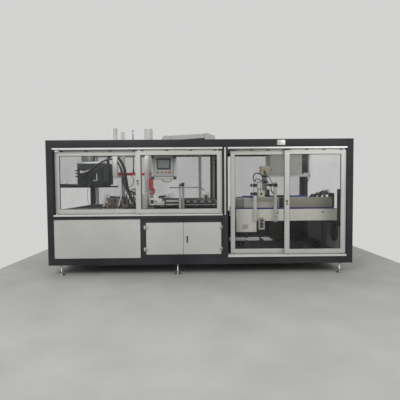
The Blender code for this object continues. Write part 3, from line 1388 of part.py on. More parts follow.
def outfeed():
    """The outfeed conveyor on four legs, with its belt, drive cover and guide posts."""
    x_low = MIDDLE_RIGHT + OUTFEED_FROM_MIDDLE_POST
    x_high = OPEN_RIGHT + OUTFEED_OVERHANG
    y_low = FRONT + OUTFEED_FROM_FRONT
    y_high = y_low + OUTFEED_DEPTH
    z_low = BASE + OUTFEED_PLATE_BOTTOM_RISE
    z_high = z_low + OUTFEED_PLATE_HEIGHT
    thick = OUTFEED_PLATE_THICKNESS
    front = box("outfeed_frame", (x_low, y_low, z_low), (x_high, y_low + thick, z_high), panel_grey())
    rear = box("outfeed_rear_plate", (x_low, y_high - thick, z_low), (x_high, y_high, z_high), panel_grey())
    legs = []
    for number, x in enumerate((x_low + OUTFEED_LEG_INSET, OPEN_RIGHT - OUTFEED_LEG_INSET - OUTFEED_LEG_SIZE)):
        for side, y in (("front", y_low + SINK), ("rear", y_high - SINK - OUTFEED_LEG_SIZE)):
            legs.append(
                box(
                    f"outfeed_leg_{side}_{number}",
                    (x, y, TRAY_TOP + SEAT),
                    (x + OUTFEED_LEG_SIZE, y + OUTFEED_LEG_SIZE, z_low + OUTFEED_LEG_SIZE),
                    panel_grey(),
                )
            )
        legs.append(
            box(
                f"outfeed_cross_bar_{number}",
                (x + SINK, y_low + OUTFEED_LEG_SIZE, z_low + SINK),
                (x + OUTFEED_LEG_SIZE - SINK, y_high - OUTFEED_LEG_SIZE, z_low + OUTFEED_LEG_SIZE - SINK),
                panel_grey(),
            )
        )
    cover = box(
        "outfeed_drive_cover",
        (x_low + SINK, y_low - DRIVE_COVER_DEPTH, z_high + 2 * SINK - DRIVE_COVER_HEIGHT),
        (x_low + DRIVE_COVER_LENGTH, y_low + thick / 2, z_high + 2 * SINK),
        panel_grey(),
    )
    post_top = BASE + SIDE_POST_TOP_RISE
    first_x = x_low + FIRST_SIDE_POST_SHIFT
    second_x = x_low + SECOND_SIDE_POST_SHIFT
    cover_face = y_low - DRIVE_COVER_DEPTH + SINK
    first_post = box(
        "outfeed_first_post",
        (first_x, cover_face - SIDE_POST_SIZE, z_low + SINK),
        (first_x + SIDE_POST_SIZE, cover_face, post_top),
        light_paint(),
    )
    second_post = box(
        "outfeed_second_post",
        (second_x, y_low + SINK - SIDE_POST_SIZE, BASE + SECOND_SIDE_POST_BOTTOM_RISE),
        (second_x + SIDE_POST_SIZE, y_low + SINK, post_top),
        light_paint(),
    )
    terminal_x = x_low + TERMINAL_BOX_SHIFT
    terminal_top = z_low + TERMINAL_BOX_LAP
    terminal = box(
        "outfeed_terminal_box",
        (terminal_x, y_low - TERMINAL_BOX_DEPTH, terminal_top - TERMINAL_BOX_HEIGHT),
        (terminal_x + TERMINAL_BOX_WIDTH, y_low + SINK, terminal_top),
        aluminium(),
    )
    bar_z = BASE + LOW_BAR_RISE
    bar_x = x_low - LOW_BAR_OVERHANG
    bar_y = y_low + 2 * SINK
    low_bar = box(
        "outfeed_low_bar",
        (bar_x, bar_y, bar_z),
        (bar_x + LOW_BAR_LENGTH, bar_y + LOW_BAR_DEPTH, bar_z + LOW_BAR_HEIGHT),
        light_paint(),
    )
    fuse(front, *legs, rear, cover, first_post, second_post, terminal, low_bar)

    half = BELT_THICKNESS / 2
    belt_z = z_high + BELT_PROUD - half
    left = arc((x_low + half + SINK, belt_z), half, 90, 270, 10)
    right = arc((x_high - half - SINK, belt_z), half, -90, 90, 10)
    belt_depth = OUTFEED_DEPTH - 2 * thick - 2 * SEAT
    outline("outfeed_belt", [left + right], belt_depth, (y_low + y_high) / 2, "XZ", blue_belt())
    side_belts(x_low, z_high + BELT_PROUD)


def side_belts(x_start, belt_top):
    """The side-belt housings that stand on the outfeed, and the head column with its block."""
    floor = belt_top + SIDE_BELT_LIFT
    x_low = x_start + SIDE_BELT_FROM_OUTFEED
    y_low = FRONT + SIDE_BELT_FROM_FRONT
    y_high = y_low + SIDE_BELT_DEPTH
    housing = box(
        "side_belt_housing",
        (x_low, y_low, floor),
        (x_low + SIDE_BELT_LENGTH, y_high, floor + SIDE_BELT_HEIGHT),
        aluminium(),
    )
    column_x = x_start + HEAD_COLUMN_FROM_OUTFEED
    column_y = (y_low + y_high) / 2
    top = floor + SIDE_BELT_HEIGHT
    half = HEAD_COLUMN_SIZE / 2
    column = box(
        "head_column",
        (column_x, column_y - half, top - SINK),
        (column_x + HEAD_COLUMN_SIZE, column_y + half, floor + HEAD_COLUMN_HEIGHT),
        aluminium(),
    )
    block = box(
        "head_block",
        (column_x - SINK, column_y - HEAD_BLOCK_DEPTH / 2, top - SINK),
        (column_x + HEAD_BLOCK_LENGTH, column_y + HEAD_BLOCK_DEPTH / 2, floor + HEAD_BLOCK_HEIGHT),
        dark_steel(),
    )
    fuse(housing, block, column)
    rear_low = y_high + REAR_BELT_GAP
    rear_x = x_start + REAR_BELT_FROM_OUTFEED
    box(
        "rear_side_belt",
        (rear_x, rear_low, floor),
        (rear_x + REAR_BELT_LENGTH, rear_low + REAR_BELT_DEPTH, floor + REAR_BELT_HEIGHT),
        blue_belt(),
    )


def overhead_box():
    """The box hung under the roof sheet, with a smaller box on its side, and the beam with its hanger."""
    roof = ROOF_SHEET_TOP - ROOF_SHEET_THICKNESS - SEAT
    x_high = OPEN_RIGHT - OVERHEAD_BOX_FROM_RIGHT
    x_low = x_high - OVERHEAD_BOX_LENGTH
    y_low = OPEN_REAR - OVERHEAD_REAR_GAP - OVERHEAD_BOX_DEPTH
    z_low = roof - OVERHEAD_BOX_HEIGHT
    hung = box("overhead_box", (x_low, y_low, z_low), (x_high, y_low + OVERHEAD_BOX_DEPTH, roof), panel_grey())
    small = box(
        "overhead_small_box",
        (x_low - SMALL_BOX_LENGTH, y_low + SINK, z_low + SINK),
        (x_low + SINK, y_low + SINK + SMALL_BOX_DEPTH, z_low + SINK + SMALL_BOX_HEIGHT),
        panel_grey(),
    )
    beam_right = OPEN_RIGHT - BEAM_FROM_RIGHT
    beam_top = z_low + SINK
    beam = box(
        "overhead_beam",
        (beam_right - BEAM_LENGTH, y_low + SINK, beam_top - BEAM_HEIGHT),
        (beam_right, y_low + SINK + BEAM_DEPTH, beam_top),
        light_paint(),
    )
    hanger = box(
        "overhead_beam_hanger",
        (beam_right - BEAM_HANGER_WIDTH - SINK, y_low + 2 * SINK, beam_top - 2 * SINK),
        (beam_right - SINK, y_low + BEAM_DEPTH, roof),
        light_paint(),
    )
    fuse(hung, small, beam, hanger)


def roof_duct():
    """The cable trunking on the roof: a bevelled foot, a rising trunk and an end box with a sloped top."""
    x = MIDDLE_LEFT - DUCT_FROM_MIDDLE_POST
    floor = ROOF_SHEET_TOP + SEAT
    foot_right = x + DUCT_FOOT_LENGTH
    trunk_right = foot_right + DUCT_TRUNK_LENGTH
    end_right = trunk_right + DUCT_END_LENGTH
    foot_top = floor + DUCT_FOOT_HEIGHT
    end_top = floor + DUCT_END_HEIGHT
    silhouette = [
        (x, floor),
        (foot_right, floor),
        (foot_right, floor + DUCT_TRUNK_START_RISE - DUCT_TRUNK_HEIGHT / 2),
        (trunk_right, floor + DUCT_TRUNK_END_RISE - DUCT_TRUNK_HEIGHT / 2),
        (trunk_right, floor),
        (end_right, floor),
        (end_right, end_top - DUCT_END_SLOPE),
        (trunk_right + DUCT_END_LENGTH / 4, end_top),
        (trunk_right, end_top - SINK),
        (trunk_right, floor + DUCT_TRUNK_END_RISE + DUCT_TRUNK_HEIGHT / 2),
        (foot_right, foot_top),
        (x + DUCT_FOOT_BEVEL, foot_top),
        (x, floor + DUCT_FOOT_BEVEL),
    ]
    y_middle = FRONT + DUCT_FROM_FRONT + DUCT_DEPTH / 2
    outline("roof_duct", [silhouette], DUCT_DEPTH, y_middle, "XZ", light_paint())


def main():
    global PARTS, TOOLS
    for obj in list(bpy.data.objects):
        bpy.data.objects.remove(obj)
    scene = bpy.context.scene
    scene.unit_settings.system = "METRIC"
    PARTS = bpy.data.collections.new("case_erector")
    TOOLS = bpy.data.collections.new("tools")
    scene.collection.children.link(PARTS)
    scene.collection.children.link(TOOLS)
    end_frames()
    middle_frame()
    rails_and_deck()
    levelling_feet()
    lower_panels()
    control_cabinet()
    sliding_doors()
    fixed_glazing()
    glue_unit()
    junction_box()
    case_magazine()
    lifting_gear()
    folding_arm()
    operator_panel()
    case_bed()
    guide_posts()
    support_posts()
    outfeed()
    overhead_box()
    roof_duct()


main()
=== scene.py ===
"""A framed case erector behind sliding glazed doors, finished around its CAD frame.

Each piece is a surface worked out with numpy, or a CAD piece with its edges rounded, in metres and in the
frame's own axes: X along the machine, Y from front to rear, Z up.
"""

import json
import math

import bmesh
import bpy
import numpy as np
from mathutils import Matrix, Vector

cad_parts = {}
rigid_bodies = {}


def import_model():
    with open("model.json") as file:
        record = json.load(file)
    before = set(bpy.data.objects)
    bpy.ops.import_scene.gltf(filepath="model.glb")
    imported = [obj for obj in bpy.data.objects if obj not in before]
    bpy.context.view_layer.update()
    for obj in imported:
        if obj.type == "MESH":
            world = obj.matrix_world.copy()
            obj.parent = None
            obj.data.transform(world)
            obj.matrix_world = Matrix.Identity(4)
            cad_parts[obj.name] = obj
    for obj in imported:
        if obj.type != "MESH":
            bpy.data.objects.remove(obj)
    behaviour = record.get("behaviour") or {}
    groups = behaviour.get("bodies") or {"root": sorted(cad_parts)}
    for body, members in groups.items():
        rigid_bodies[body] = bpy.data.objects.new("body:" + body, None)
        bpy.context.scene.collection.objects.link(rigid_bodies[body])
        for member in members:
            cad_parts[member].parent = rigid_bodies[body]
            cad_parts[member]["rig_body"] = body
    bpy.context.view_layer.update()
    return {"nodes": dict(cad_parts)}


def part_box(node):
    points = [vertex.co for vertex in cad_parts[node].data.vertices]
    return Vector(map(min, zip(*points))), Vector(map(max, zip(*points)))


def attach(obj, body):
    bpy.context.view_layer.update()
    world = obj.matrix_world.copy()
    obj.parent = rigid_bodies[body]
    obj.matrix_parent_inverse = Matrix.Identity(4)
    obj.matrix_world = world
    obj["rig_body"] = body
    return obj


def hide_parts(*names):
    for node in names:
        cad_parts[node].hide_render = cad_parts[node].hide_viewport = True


bl_info = {
    "name": "Case erector",
    "version": (1, 0, 0),
    "blender": (4, 5, 0),
    "location": "3D View > Sidebar > Case erector",
    "description": "Finishes a framed case erector around its CAD frame",
    "category": "Object",
}

MACHINE = "machine"

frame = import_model()
NODES = frame["nodes"]


def corners(node):
    """The lowest and the highest corner of a CAD node."""
    low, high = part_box(node)
    return np.array(low), np.array(high)


class CaseErectorSettings(bpy.types.PropertyGroup):
    """The colours and sizes a user would change."""

    frame_colour: bpy.props.FloatVectorProperty(
        name="Frame colour",
        description="Paint of the guard frame",
        subtype="COLOR",
        min=0.0,
        max=1.0,
        default=(0.024, 0.022, 0.026),
    )
    panel_colour: bpy.props.FloatVectorProperty(
        name="Panel colour",
        description="Powder coat of the sheet panels and the cabinet doors",
        subtype="COLOR",
        min=0.0,
        max=1.0,
        default=(0.42, 0.42, 0.40),
    )
    door_colour: bpy.props.FloatVectorProperty(
        name="Door profile colour",
        description="Finish of the sliding doors' profiles",
        subtype="COLOR",
        min=0.0,
        max=1.0,
        default=(0.50, 0.49, 0.465),
    )
    accent_colour: bpy.props.FloatVectorProperty(
        name="Accent colour",
        description="Paint of the red lifting beam and folding arm",
        subtype="COLOR",
        min=0.0,
        max=1.0,
        default=(0.44, 0.020, 0.011),
    )
    belt_colour: bpy.props.FloatVectorProperty(
        name="Belt colour",
        description="Colour of the outfeed belt and the side belts",
        subtype="COLOR",
        min=0.0,
        max=1.0,
        default=(0.045, 0.06, 0.30),
    )
    frame_rounding: bpy.props.FloatProperty(
        name="Frame edge radius",
        description="Edge radius of the guard frame's tubes",
        default=0.004,
        min=0.0005,
        max=0.008,
        unit="LENGTH",
    )
    sheet_rounding: bpy.props.FloatProperty(
        name="Sheet edge radius",
        description="Edge radius of folded sheet panels",
        default=0.002,
        min=0.0005,
        max=0.004,
        unit="LENGTH",
    )
    pane_opacity: bpy.props.FloatProperty(
        name="Pane opacity",
        description="How much the clear panes veil what is behind them",
        default=0.13,
        min=0.01,
        max=0.6,
        subtype="FACTOR",
    )


def settings():
    """The colours and sizes as they are set now."""
    return bpy.context.scene.case_erector


# The machine's directions
RIGHT, LEFT = (1, 0, 0), (-1, 0, 0)
REAR, FRONT = (0, 1, 0), (0, -1, 0)
UP, DOWN = (0, 0, 1), (0, 0, -1)


# Shapes: a shape is an array of points and a list of faces


def ring_faces(rings, sides):
    """Quads between neighbouring rings of points, each ring closed on itself."""
    ring = np.arange(rings - 1)[:, None] * sides
    side = np.arange(sides)[None, :]
    beside = (side + 1) % sides
    quads = np.stack([ring + side, ring + beside, ring + sides + beside, ring + sides + side], -1)
    return quads.reshape(-1, 4).tolist()


def stacked(rings):
    """A closed solid from a stack of rings, an array of rings x sides x 3, with a flat face at each end."""
    count, sides = rings.shape[:2]
    faces = ring_faces(count, sides)
    faces.append(list(range(sides))[::-1])
    faces.append(list(range((count - 1) * sides, count * sides)))
    return rings.reshape(-1, 3), faces


def block(low, high, rounding=0.002, steps=3):
    """A block with rounded edges: its X-Y outline is a rounded rectangle, drawn in by r(1 - sin a) at the
    height r(1 - cos a) from each end, for a from 0 to a quarter turn."""
    low = np.asarray(low, float)
    high = np.asarray(high, float)
    low, high = np.minimum(low, high), np.maximum(low, high)
    half = (high - low) / 2
    radius = min(rounding, half.min() * 0.96)
    turn = np.linspace(0, math.pi / 2, steps + 1)
    around = (np.arange(4)[:, None] * math.pi / 2 + turn).ravel()
    sign_x = np.repeat([1, -1, -1, 1], steps + 1)
    sign_y = np.repeat([1, 1, -1, -1], steps + 1)
    inset = radius * (1 - np.sin(turn)) * 0.98
    lift = radius * (1 - np.cos(turn))
    inset = np.concatenate([inset, inset[::-1]])
    height = np.concatenate([lift - half[2], half[2] - lift[::-1]])
    corner = (radius - inset)[:, None]
    x = sign_x * (half[0] - radius) + corner * np.cos(around)
    y = sign_y * (half[1] - radius) + corner * np.sin(around)
    z = np.broadcast_to(height[:, None], x.shape)
    return stacked(np.stack([x, y, z], -1) + (low + high) / 2)


def across(axis):
    """Two unit vectors that make a right-handed set with the axis."""
    axis = np.asarray(axis, float)
    axis = axis / np.linalg.norm(axis)
    start = np.eye(3)[np.argmin(np.abs(axis))]
    first = np.cross(start, axis)
    first /= np.linalg.norm(first)
    return axis, first, np.cross(axis, first)


def turned(profile, base, axis=UP, sides=24):
    """A round piece: each (radius, distance) of the profile is a ring about the axis through the base."""
    profile = np.asarray(profile, float)
    axis, first, second = across(axis)
    angle = np.linspace(0, 2 * math.pi, sides, endpoint=False)[:, None]
    circle = np.cos(angle) * first + np.sin(angle) * second
    rings = profile[:, :1, None] * circle + profile[:, 1:, None] * axis
    return stacked(rings + np.asarray(base, float))


def carried(path, section, up=UP):
    """A section carried along a path. At each point its axes are up, made square to the path, and the cross
    product of that with the path."""
    path = np.asarray(path, float)
    section = np.asarray(section, float)
    tangent = np.gradient(path, axis=0)
    tangent /= np.linalg.norm(tangent, axis=1, keepdims=True)
    over = np.asarray(up, float) - (tangent @ np.asarray(up, float))[:, None] * tangent
    over /= np.linalg.norm(over, axis=1, keepdims=True)
    side = np.cross(over, tangent)
    rings = path[:, None] + section[:, 0, None] * side[:, None] + section[:, 1, None] * over[:, None]
    return stacked(rings)


def circle_section(radius, sides=12):
    """Points on a circle: the radius times the cosine and sine of even steps of a turn."""
    angle = np.linspace(0, 2 * math.pi, sides, endpoint=False)
    return radius * np.stack([np.cos(angle), np.sin(angle)], -1)


def smooth_path(points, per_span=6):
    """A Catmull-Rom path through the points: each span is a cubic of its four nearest points."""
    points = np.asarray(points, float)
    ends = np.concatenate([points[:1], points, points[-1:]])
    a, b, c, d = (ends[i : len(ends) - 3 + i, None] for i in range(4))
    t = (np.arange(per_span) / per_span)[None, :, None]
    bend = (2 * a - 5 * b + 4 * c - d) * t**2
    twist = (3 * b - 3 * c + d - a) * t**3
    route = ((2 * b + (c - a) * t + bend + twist) / 2).reshape(-1, 3)
    return np.concatenate([route, points[-1:]])


def relaxed(path, spacing, passes=36):
    """The path at an even spacing. Every pass draws each inner point half way to the middle of its
    neighbours, so that no bend stays tight."""
    path = np.asarray(path, float)
    along = np.concatenate([[0.0], np.cumsum(np.linalg.norm(np.diff(path, axis=0), axis=1))])
    even = np.linspace(0.0, along[-1], max(18, int(along[-1] / spacing)))
    path = np.stack([np.interp(even, along, path[:, axis]) for axis in range(3)], -1)
    for _ in range(passes):
        path[1:-1] += ((path[:-2] + path[2:]) / 2 - path[1:-1]) / 2
    return path


def tube(points, radius, per_span=6, sides=12, up=REAR):
    """A round tube carried along a smooth path."""
    path = smooth_path(points, per_span) if per_span else np.asarray(points, float)
    return carried(path, circle_section(radius, sides), up)


def bar(start, end, width, height, up=UP, rounding=0.002):
    """A rounded rectangular bar from one point to another."""
    start = np.asarray(start, float)
    end = np.asarray(end, float)
    half = np.array([width, height]) / 2
    radius = min(rounding, half.min() * 0.9)
    turn = np.linspace(0, math.pi / 2, 3)
    around = (np.arange(4)[:, None] * math.pi / 2 + turn).ravel()
    corner = np.stack([np.repeat([1, -1, -1, 1], 3), np.repeat([1, 1, -1, -1], 3)], -1) * (half - radius)
    section = corner + radius * np.stack([np.cos(around), np.sin(around)], -1)
    return carried(np.linspace(start, end, 2), section, up)


def plate(outline, thickness, middle, plane):
    """A flat plate: the outline's points, set half the thickness to each side of the middle.
    In plane XZ the outline's axes are X and Z, in YZ they are Y and Z, in XY they are X and Y."""
    outline = np.asarray(outline, float)
    order = {"XY": (0, 1, 2), "YZ": (1, 2, 0), "XZ": (0, 2, 1)}[plane]
    area = np.sum(outline[:, 0] * np.roll(outline[:, 1], -1) - outline[:, 1] * np.roll(outline[:, 0], -1))
    turns_left = (area > 0) == (plane != "XZ")
    if not turns_left:
        outline = outline[::-1]
    rings = np.empty((2, len(outline), 3))
    rings[:, :, order[0]] = outline[:, 0]
    rings[:, :, order[1]] = outline[:, 1]
    rings[:, :, order[2]] = middle + np.array([[-thickness / 2], [thickness / 2]])
    return stacked(rings)


def repeated(shape, offsets):
    """The shape again at each offset."""
    points, faces = shape
    offsets = np.atleast_2d(np.asarray(offsets, float))
    placed = (points[None] + offsets[:, None]).reshape(-1, 3)
    shifts = np.arange(len(offsets)) * len(points)
    return placed, [[index + shift for index in face] for shift in shifts.tolist() for face in faces]


def grid(x, y, z):
    """Every place that has one of the x, one of the y and one of the z values."""
    return np.stack(np.meshgrid(x, y, z, indexing="ij"), -1).reshape(-1, 3)


def joined(*shapes):
    """Several shapes as one."""
    shifts = np.cumsum([0] + [len(points) for points, _ in shapes])
    faces = [[i + shift for i in face] for (_, one), shift in zip(shapes, shifts.tolist()) for face in one]
    return np.concatenate([points for points, _ in shapes]), faces


def screws(places, radius, axis, height=None):
    """Low round screw heads with a washer, at the places."""
    height = height or radius * 0.55
    washer = [(radius * 1.25, 0.0), (radius * 1.25, height * 0.3), (radius, height * 0.3)]
    turn = np.linspace(0, math.pi / 2 * 0.96, 4)
    head = np.stack([radius * np.cos(turn), height * (0.4 + 0.6 * np.sin(turn))], -1)
    return repeated(turned(np.concatenate([washer, head]), (0, 0, 0), axis, 12), places)


def hexagon_nut(base, radius, height, axis=UP):
    """A hexagon nut: six sides, with its edges drawn in at each end."""
    profile = [(radius * 0.9, 0), (radius, height * 0.12), (radius, height * 0.88), (radius * 0.9, height)]
    return turned(profile, base, axis, 6)


# Pieces

# Edges sharper than these angles, in degrees, are shown sharp or are bevelled
SHARP_EDGE = 32.0
BEVELLED_EDGE = 38.0


def piece(name, parts, body=MACHINE, slot=None, replaces=None, at=(0, 0, 0)):
    """Makes one object on its body from pairs of a material and its shape or shapes, moved to a place."""
    mesh = bpy.data.meshes.new(name)
    parts = [
        (material, joined(*shapes) if isinstance(shapes, list) else shapes) for material, shapes in parts
    ]
    points, faces = joined(*[shape for _, shape in parts])
    mesh.from_pydata(points + at, [], faces)
    for material, _ in parts:
        if material.name not in mesh.materials:
            mesh.materials.append(material)
    numbers = [mesh.materials.find(material.name) for material, _ in parts]
    index = np.repeat(numbers, [len(shape[1]) for _, shape in parts])
    mesh.polygons.foreach_set("material_index", index.astype(np.int32))
    mesh.shade_smooth()
    mesh.set_sharp_from_angle(angle=math.radians(SHARP_EDGE))
    return placed(name, mesh, body, slot, replaces)


def placed(name, mesh, body, slot, replaces, rounding=0.0):
    """An object of the mesh, on its body and in place of its CAD node. Its slot is not used."""
    obj = bpy.data.objects.new(name, mesh)
    bpy.context.scene.collection.objects.link(obj)
    if rounding:
        soften = obj.modifiers.new("rounded edges", "BEVEL")
        soften.width = rounding
        soften.segments = 2
        soften.limit_method = "ANGLE"
        soften.angle_limit = math.radians(BEVELLED_EDGE)
    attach(obj, body)
    if replaces:
        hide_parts(replaces)
    return obj


def rounded_copy(node, name, material, rounding, slot, regions=()):
    """A copy of a CAD node with its doubles merged, its flat faces made whole and its edges rounded. Each
    region is (material, low corner, high corner), and paints the faces whose middles it holds."""
    source = NODES[node]
    shape = bmesh.new()
    shape.from_mesh(source.data)
    bmesh.ops.remove_doubles(shape, verts=shape.verts, dist=0.00002)
    bmesh.ops.dissolve_limit(shape, angle_limit=math.radians(0.5), verts=shape.verts, edges=shape.edges)
    mesh = bpy.data.meshes.new(name)
    shape.to_mesh(mesh)
    shape.free()
    mesh.materials.clear()
    mesh.materials.append(material)
    middles = np.empty(len(mesh.polygons) * 3)
    mesh.polygons.foreach_get("center", middles)
    middles = middles.reshape(-1, 3)
    index = np.zeros(len(middles), np.int32)
    for number, (finish, low, high) in enumerate(regions, 1):
        mesh.materials.append(finish)
        index[((middles >= np.array(low)) & (middles <= np.array(high))).all(1)] = number
    mesh.polygons.foreach_set("material_index", index)
    mesh.shade_smooth()
    mesh.set_sharp_from_angle(angle=math.radians(SHARP_EDGE))
    return placed(name, mesh, source["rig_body"], slot, node, rounding)


# Finishes


def group_sockets(group, direction, kinds):
    """Adds sockets to a group; each kind is (name, type of socket, value at the start)."""
    for name, kind, value in kinds:
        socket = group.interface.new_socket(name=name, in_out=direction, socket_type=kind)
        if value is not None:
            socket.default_value = value


class Nodes:
    """Adds nodes to one tree and links them by socket name."""

    def __init__(self, tree):
        self.tree = tree

    def add(self, kind, values=None, **settings_of_node):
        """A node with its settings; each value is set on an input or linked to it."""
        node = self.tree.nodes.new(kind)
        for name, value in settings_of_node.items():
            setattr(node, name, value)
        for name, value in (values or {}).items():
            if isinstance(value, bpy.types.NodeSocket):
                self.tree.links.new(value, node.inputs[name])
            else:
                node.inputs[name].default_value = value
        return node

    def math(self, operation, first, second):
        """One step of arithmetic on two values."""
        return self.add("ShaderNodeMath", {0: first, 1: second}, operation=operation).outputs[0]

    def spread(self, value, low, high, to_low, to_high):
        """The value carried over from one range to another."""
        names = {"Value": value, "From Min": low, "From Max": high, "To Min": to_low, "To Max": to_high}
        return self.add("ShaderNodeMapRange", names).outputs[0]

    def mix(self, factor, first, second):
        """Two colours mixed: first times (1 - factor) plus second times the factor."""
        node = self.add("ShaderNodeMix", data_type="RGBA")
        for index, value in ((0, factor), (6, first), (7, second)):
            if isinstance(value, bpy.types.NodeSocket):
                self.tree.links.new(value, node.inputs[index])
            else:
                node.inputs[index].default_value = value
        return node.outputs[2]

    def noise(self, vector, scale, detail=2.0, roughness=0.5):
        """Layered noise at a place."""
        values = {"Vector": vector, "Scale": scale, "Detail": detail, "Roughness": roughness}
        return self.add("ShaderNodeTexNoise", values).outputs["Fac"]


COLOUR_KIND = "NodeSocketColor"
VALUE_KIND = "NodeSocketFloat"
VECTOR_KIND = "NodeSocketVector"
SURFACE_OUTPUTS = [
    ("Colour", COLOUR_KIND, None), ("Roughness", VALUE_KIND, None), ("Height", VALUE_KIND, None)
]


def effect(name, inputs, build):
    """A shader node group, built once."""
    group = bpy.data.node_groups.get(name)
    if group is None:
        group = bpy.data.node_groups.new(name, "ShaderNodeTree")
        group_sockets(group, "INPUT", inputs)
        group_sockets(group, "OUTPUT", SURFACE_OUTPUTS)
        nodes = Nodes(group)
        build(nodes, nodes.add("NodeGroupInput").outputs, nodes.add("NodeGroupOutput").inputs)
    return group


def object_place(nodes):
    """The place of a point in its object's own axes."""
    return nodes.add("ShaderNodeTexCoord").outputs["Object"]


def sprayed_coat():
    """Sprayed or powder-coated metal: slow drifts of colour, a fine grain and a film of dust on top faces."""

    def build(nodes, given, out):
        place = object_place(nodes)
        drift = nodes.noise(place, 1.7, 3.0)
        grain = nodes.noise(place, given["Grain"], 2.0)
        darker = nodes.mix(0.10, given["Colour"], (0.0, 0.0, 0.0, 1.0))
        lighter = nodes.mix(0.012, given["Colour"], (1.0, 1.0, 1.0, 1.0))
        toned = nodes.mix(nodes.spread(drift, 0.32, 0.68, 0.0, 1.0), darker, lighter)
        upward = nodes.add("ShaderNodeSeparateXYZ", {0: nodes.add("ShaderNodeNewGeometry").outputs["Normal"]})
        lying = nodes.spread(upward.outputs["Z"], 0.6, 0.98, 0.0, 1.0)
        patches = nodes.spread(nodes.noise(place, 9.0, 4.0), 0.35, 0.7, 0.3, 1.0)
        film = nodes.math("MULTIPLY", nodes.math("MULTIPLY", lying, patches), given["Dust"])
        dusty = nodes.mix(film, toned, (0.36, 0.35, 0.33, 1.0))
        nodes.tree.links.new(dusty, out["Colour"])
        gloss = nodes.spread(nodes.noise(place, 26.0, 3.0), 0.3, 0.7, -0.05, 0.07)
        rough = nodes.math(
            "ADD", nodes.math("ADD", given["Roughness"], gloss), nodes.math("MULTIPLY", film, 0.4)
        )
        nodes.tree.links.new(rough, out["Roughness"])
        nodes.tree.links.new(grain, out["Height"])

    inputs = [
        ("Colour", COLOUR_KIND, None),
        ("Roughness", VALUE_KIND, 0.4),
        ("Grain", VALUE_KIND, 420.0),
        ("Dust", VALUE_KIND, 0.1),
    ]
    return effect("sprayed coat", inputs, build)


def drawn_metal():
    """Extruded or brushed metal: fine lines along one axis, made by a noise that is squeezed across it."""

    def build(nodes, given, out):
        place = object_place(nodes)
        squeezed = nodes.add("ShaderNodeMapping", {"Vector": place, "Scale": given["Squeeze"]}).outputs[0]
        lines = nodes.noise(squeezed, 1.0, 3.0, 0.6)
        drift = nodes.noise(place, 2.3, 2.0)
        darker = nodes.mix(0.22, given["Colour"], (0.0, 0.0, 0.0, 1.0))
        toned = nodes.mix(nodes.spread(lines, 0.3, 0.7, 0.0, 1.0), darker, given["Colour"])
        clouded = nodes.mix(nodes.spread(drift, 0.4, 0.7, 0.0, 0.10), toned, (0.25, 0.25, 0.25, 1.0))
        nodes.tree.links.new(clouded, out["Colour"])
        rough = nodes.math("ADD", given["Roughness"], nodes.spread(lines, 0.3, 0.7, -0.06, 0.10))
        nodes.tree.links.new(rough, out["Roughness"])
        nodes.tree.links.new(lines, out["Height"])

    inputs = [
        ("Colour", COLOUR_KIND, None),
        ("Roughness", VALUE_KIND, 0.35),
        ("Squeeze", VECTOR_KIND, (4.0, 240.0, 240.0)),
    ]
    return effect("drawn metal", inputs, build)


def moulded_skin():
    """Moulded plastic or rubber: a pebbled skin from cells, with faint grey scuffs."""

    def build(nodes, given, out):
        place = object_place(nodes)
        cells = nodes.add(
            "ShaderNodeTexVoronoi", {"Vector": place, "Scale": given["Pebble"]}
        ).outputs["Distance"]
        scuffs = nodes.spread(nodes.noise(place, 31.0, 5.0, 0.7), 0.52, 0.78, 0.0, 0.30)
        paler = nodes.mix(0.22, given["Colour"], (0.5, 0.5, 0.5, 1.0))
        nodes.tree.links.new(nodes.mix(scuffs, given["Colour"], paler), out["Colour"])
        nodes.tree.links.new(
            nodes.math("ADD", given["Roughness"], nodes.math("MULTIPLY", scuffs, 0.5)), out["Roughness"]
        )
        nodes.tree.links.new(cells, out["Height"])

    inputs = [
        ("Colour", COLOUR_KIND, None),
        ("Roughness", VALUE_KIND, 0.5),
        ("Pebble", VALUE_KIND, 700.0),
    ]
    return effect("moulded skin", inputs, build)


def woven_belt():
    """Belt cover: a fine crossed rib from two waves, darker where it is polished."""

    def build(nodes, given, out):
        place = object_place(nodes)
        along = nodes.add(
            "ShaderNodeTexWave", {"Vector": place, "Scale": 150.0, "Distortion": 0.4}, bands_direction="X"
        )
        over = nodes.add(
            "ShaderNodeTexWave", {"Vector": place, "Scale": 150.0, "Distortion": 0.4}, bands_direction="Y"
        )
        rib = nodes.math("MULTIPLY", along.outputs["Fac"], over.outputs["Fac"])
        polish = nodes.spread(nodes.noise(place, 6.0, 4.0), 0.35, 0.7, 0.0, 0.3)
        nodes.tree.links.new(nodes.mix(polish, given["Colour"], (0.02, 0.025, 0.09, 1.0)), out["Colour"])
        nodes.tree.links.new(nodes.math("SUBTRACT", given["Roughness"], polish), out["Roughness"])
        nodes.tree.links.new(rib, out["Height"])

    inputs = [("Colour", COLOUR_KIND, None), ("Roughness", VALUE_KIND, 0.65)]
    return effect("woven belt", inputs, build)


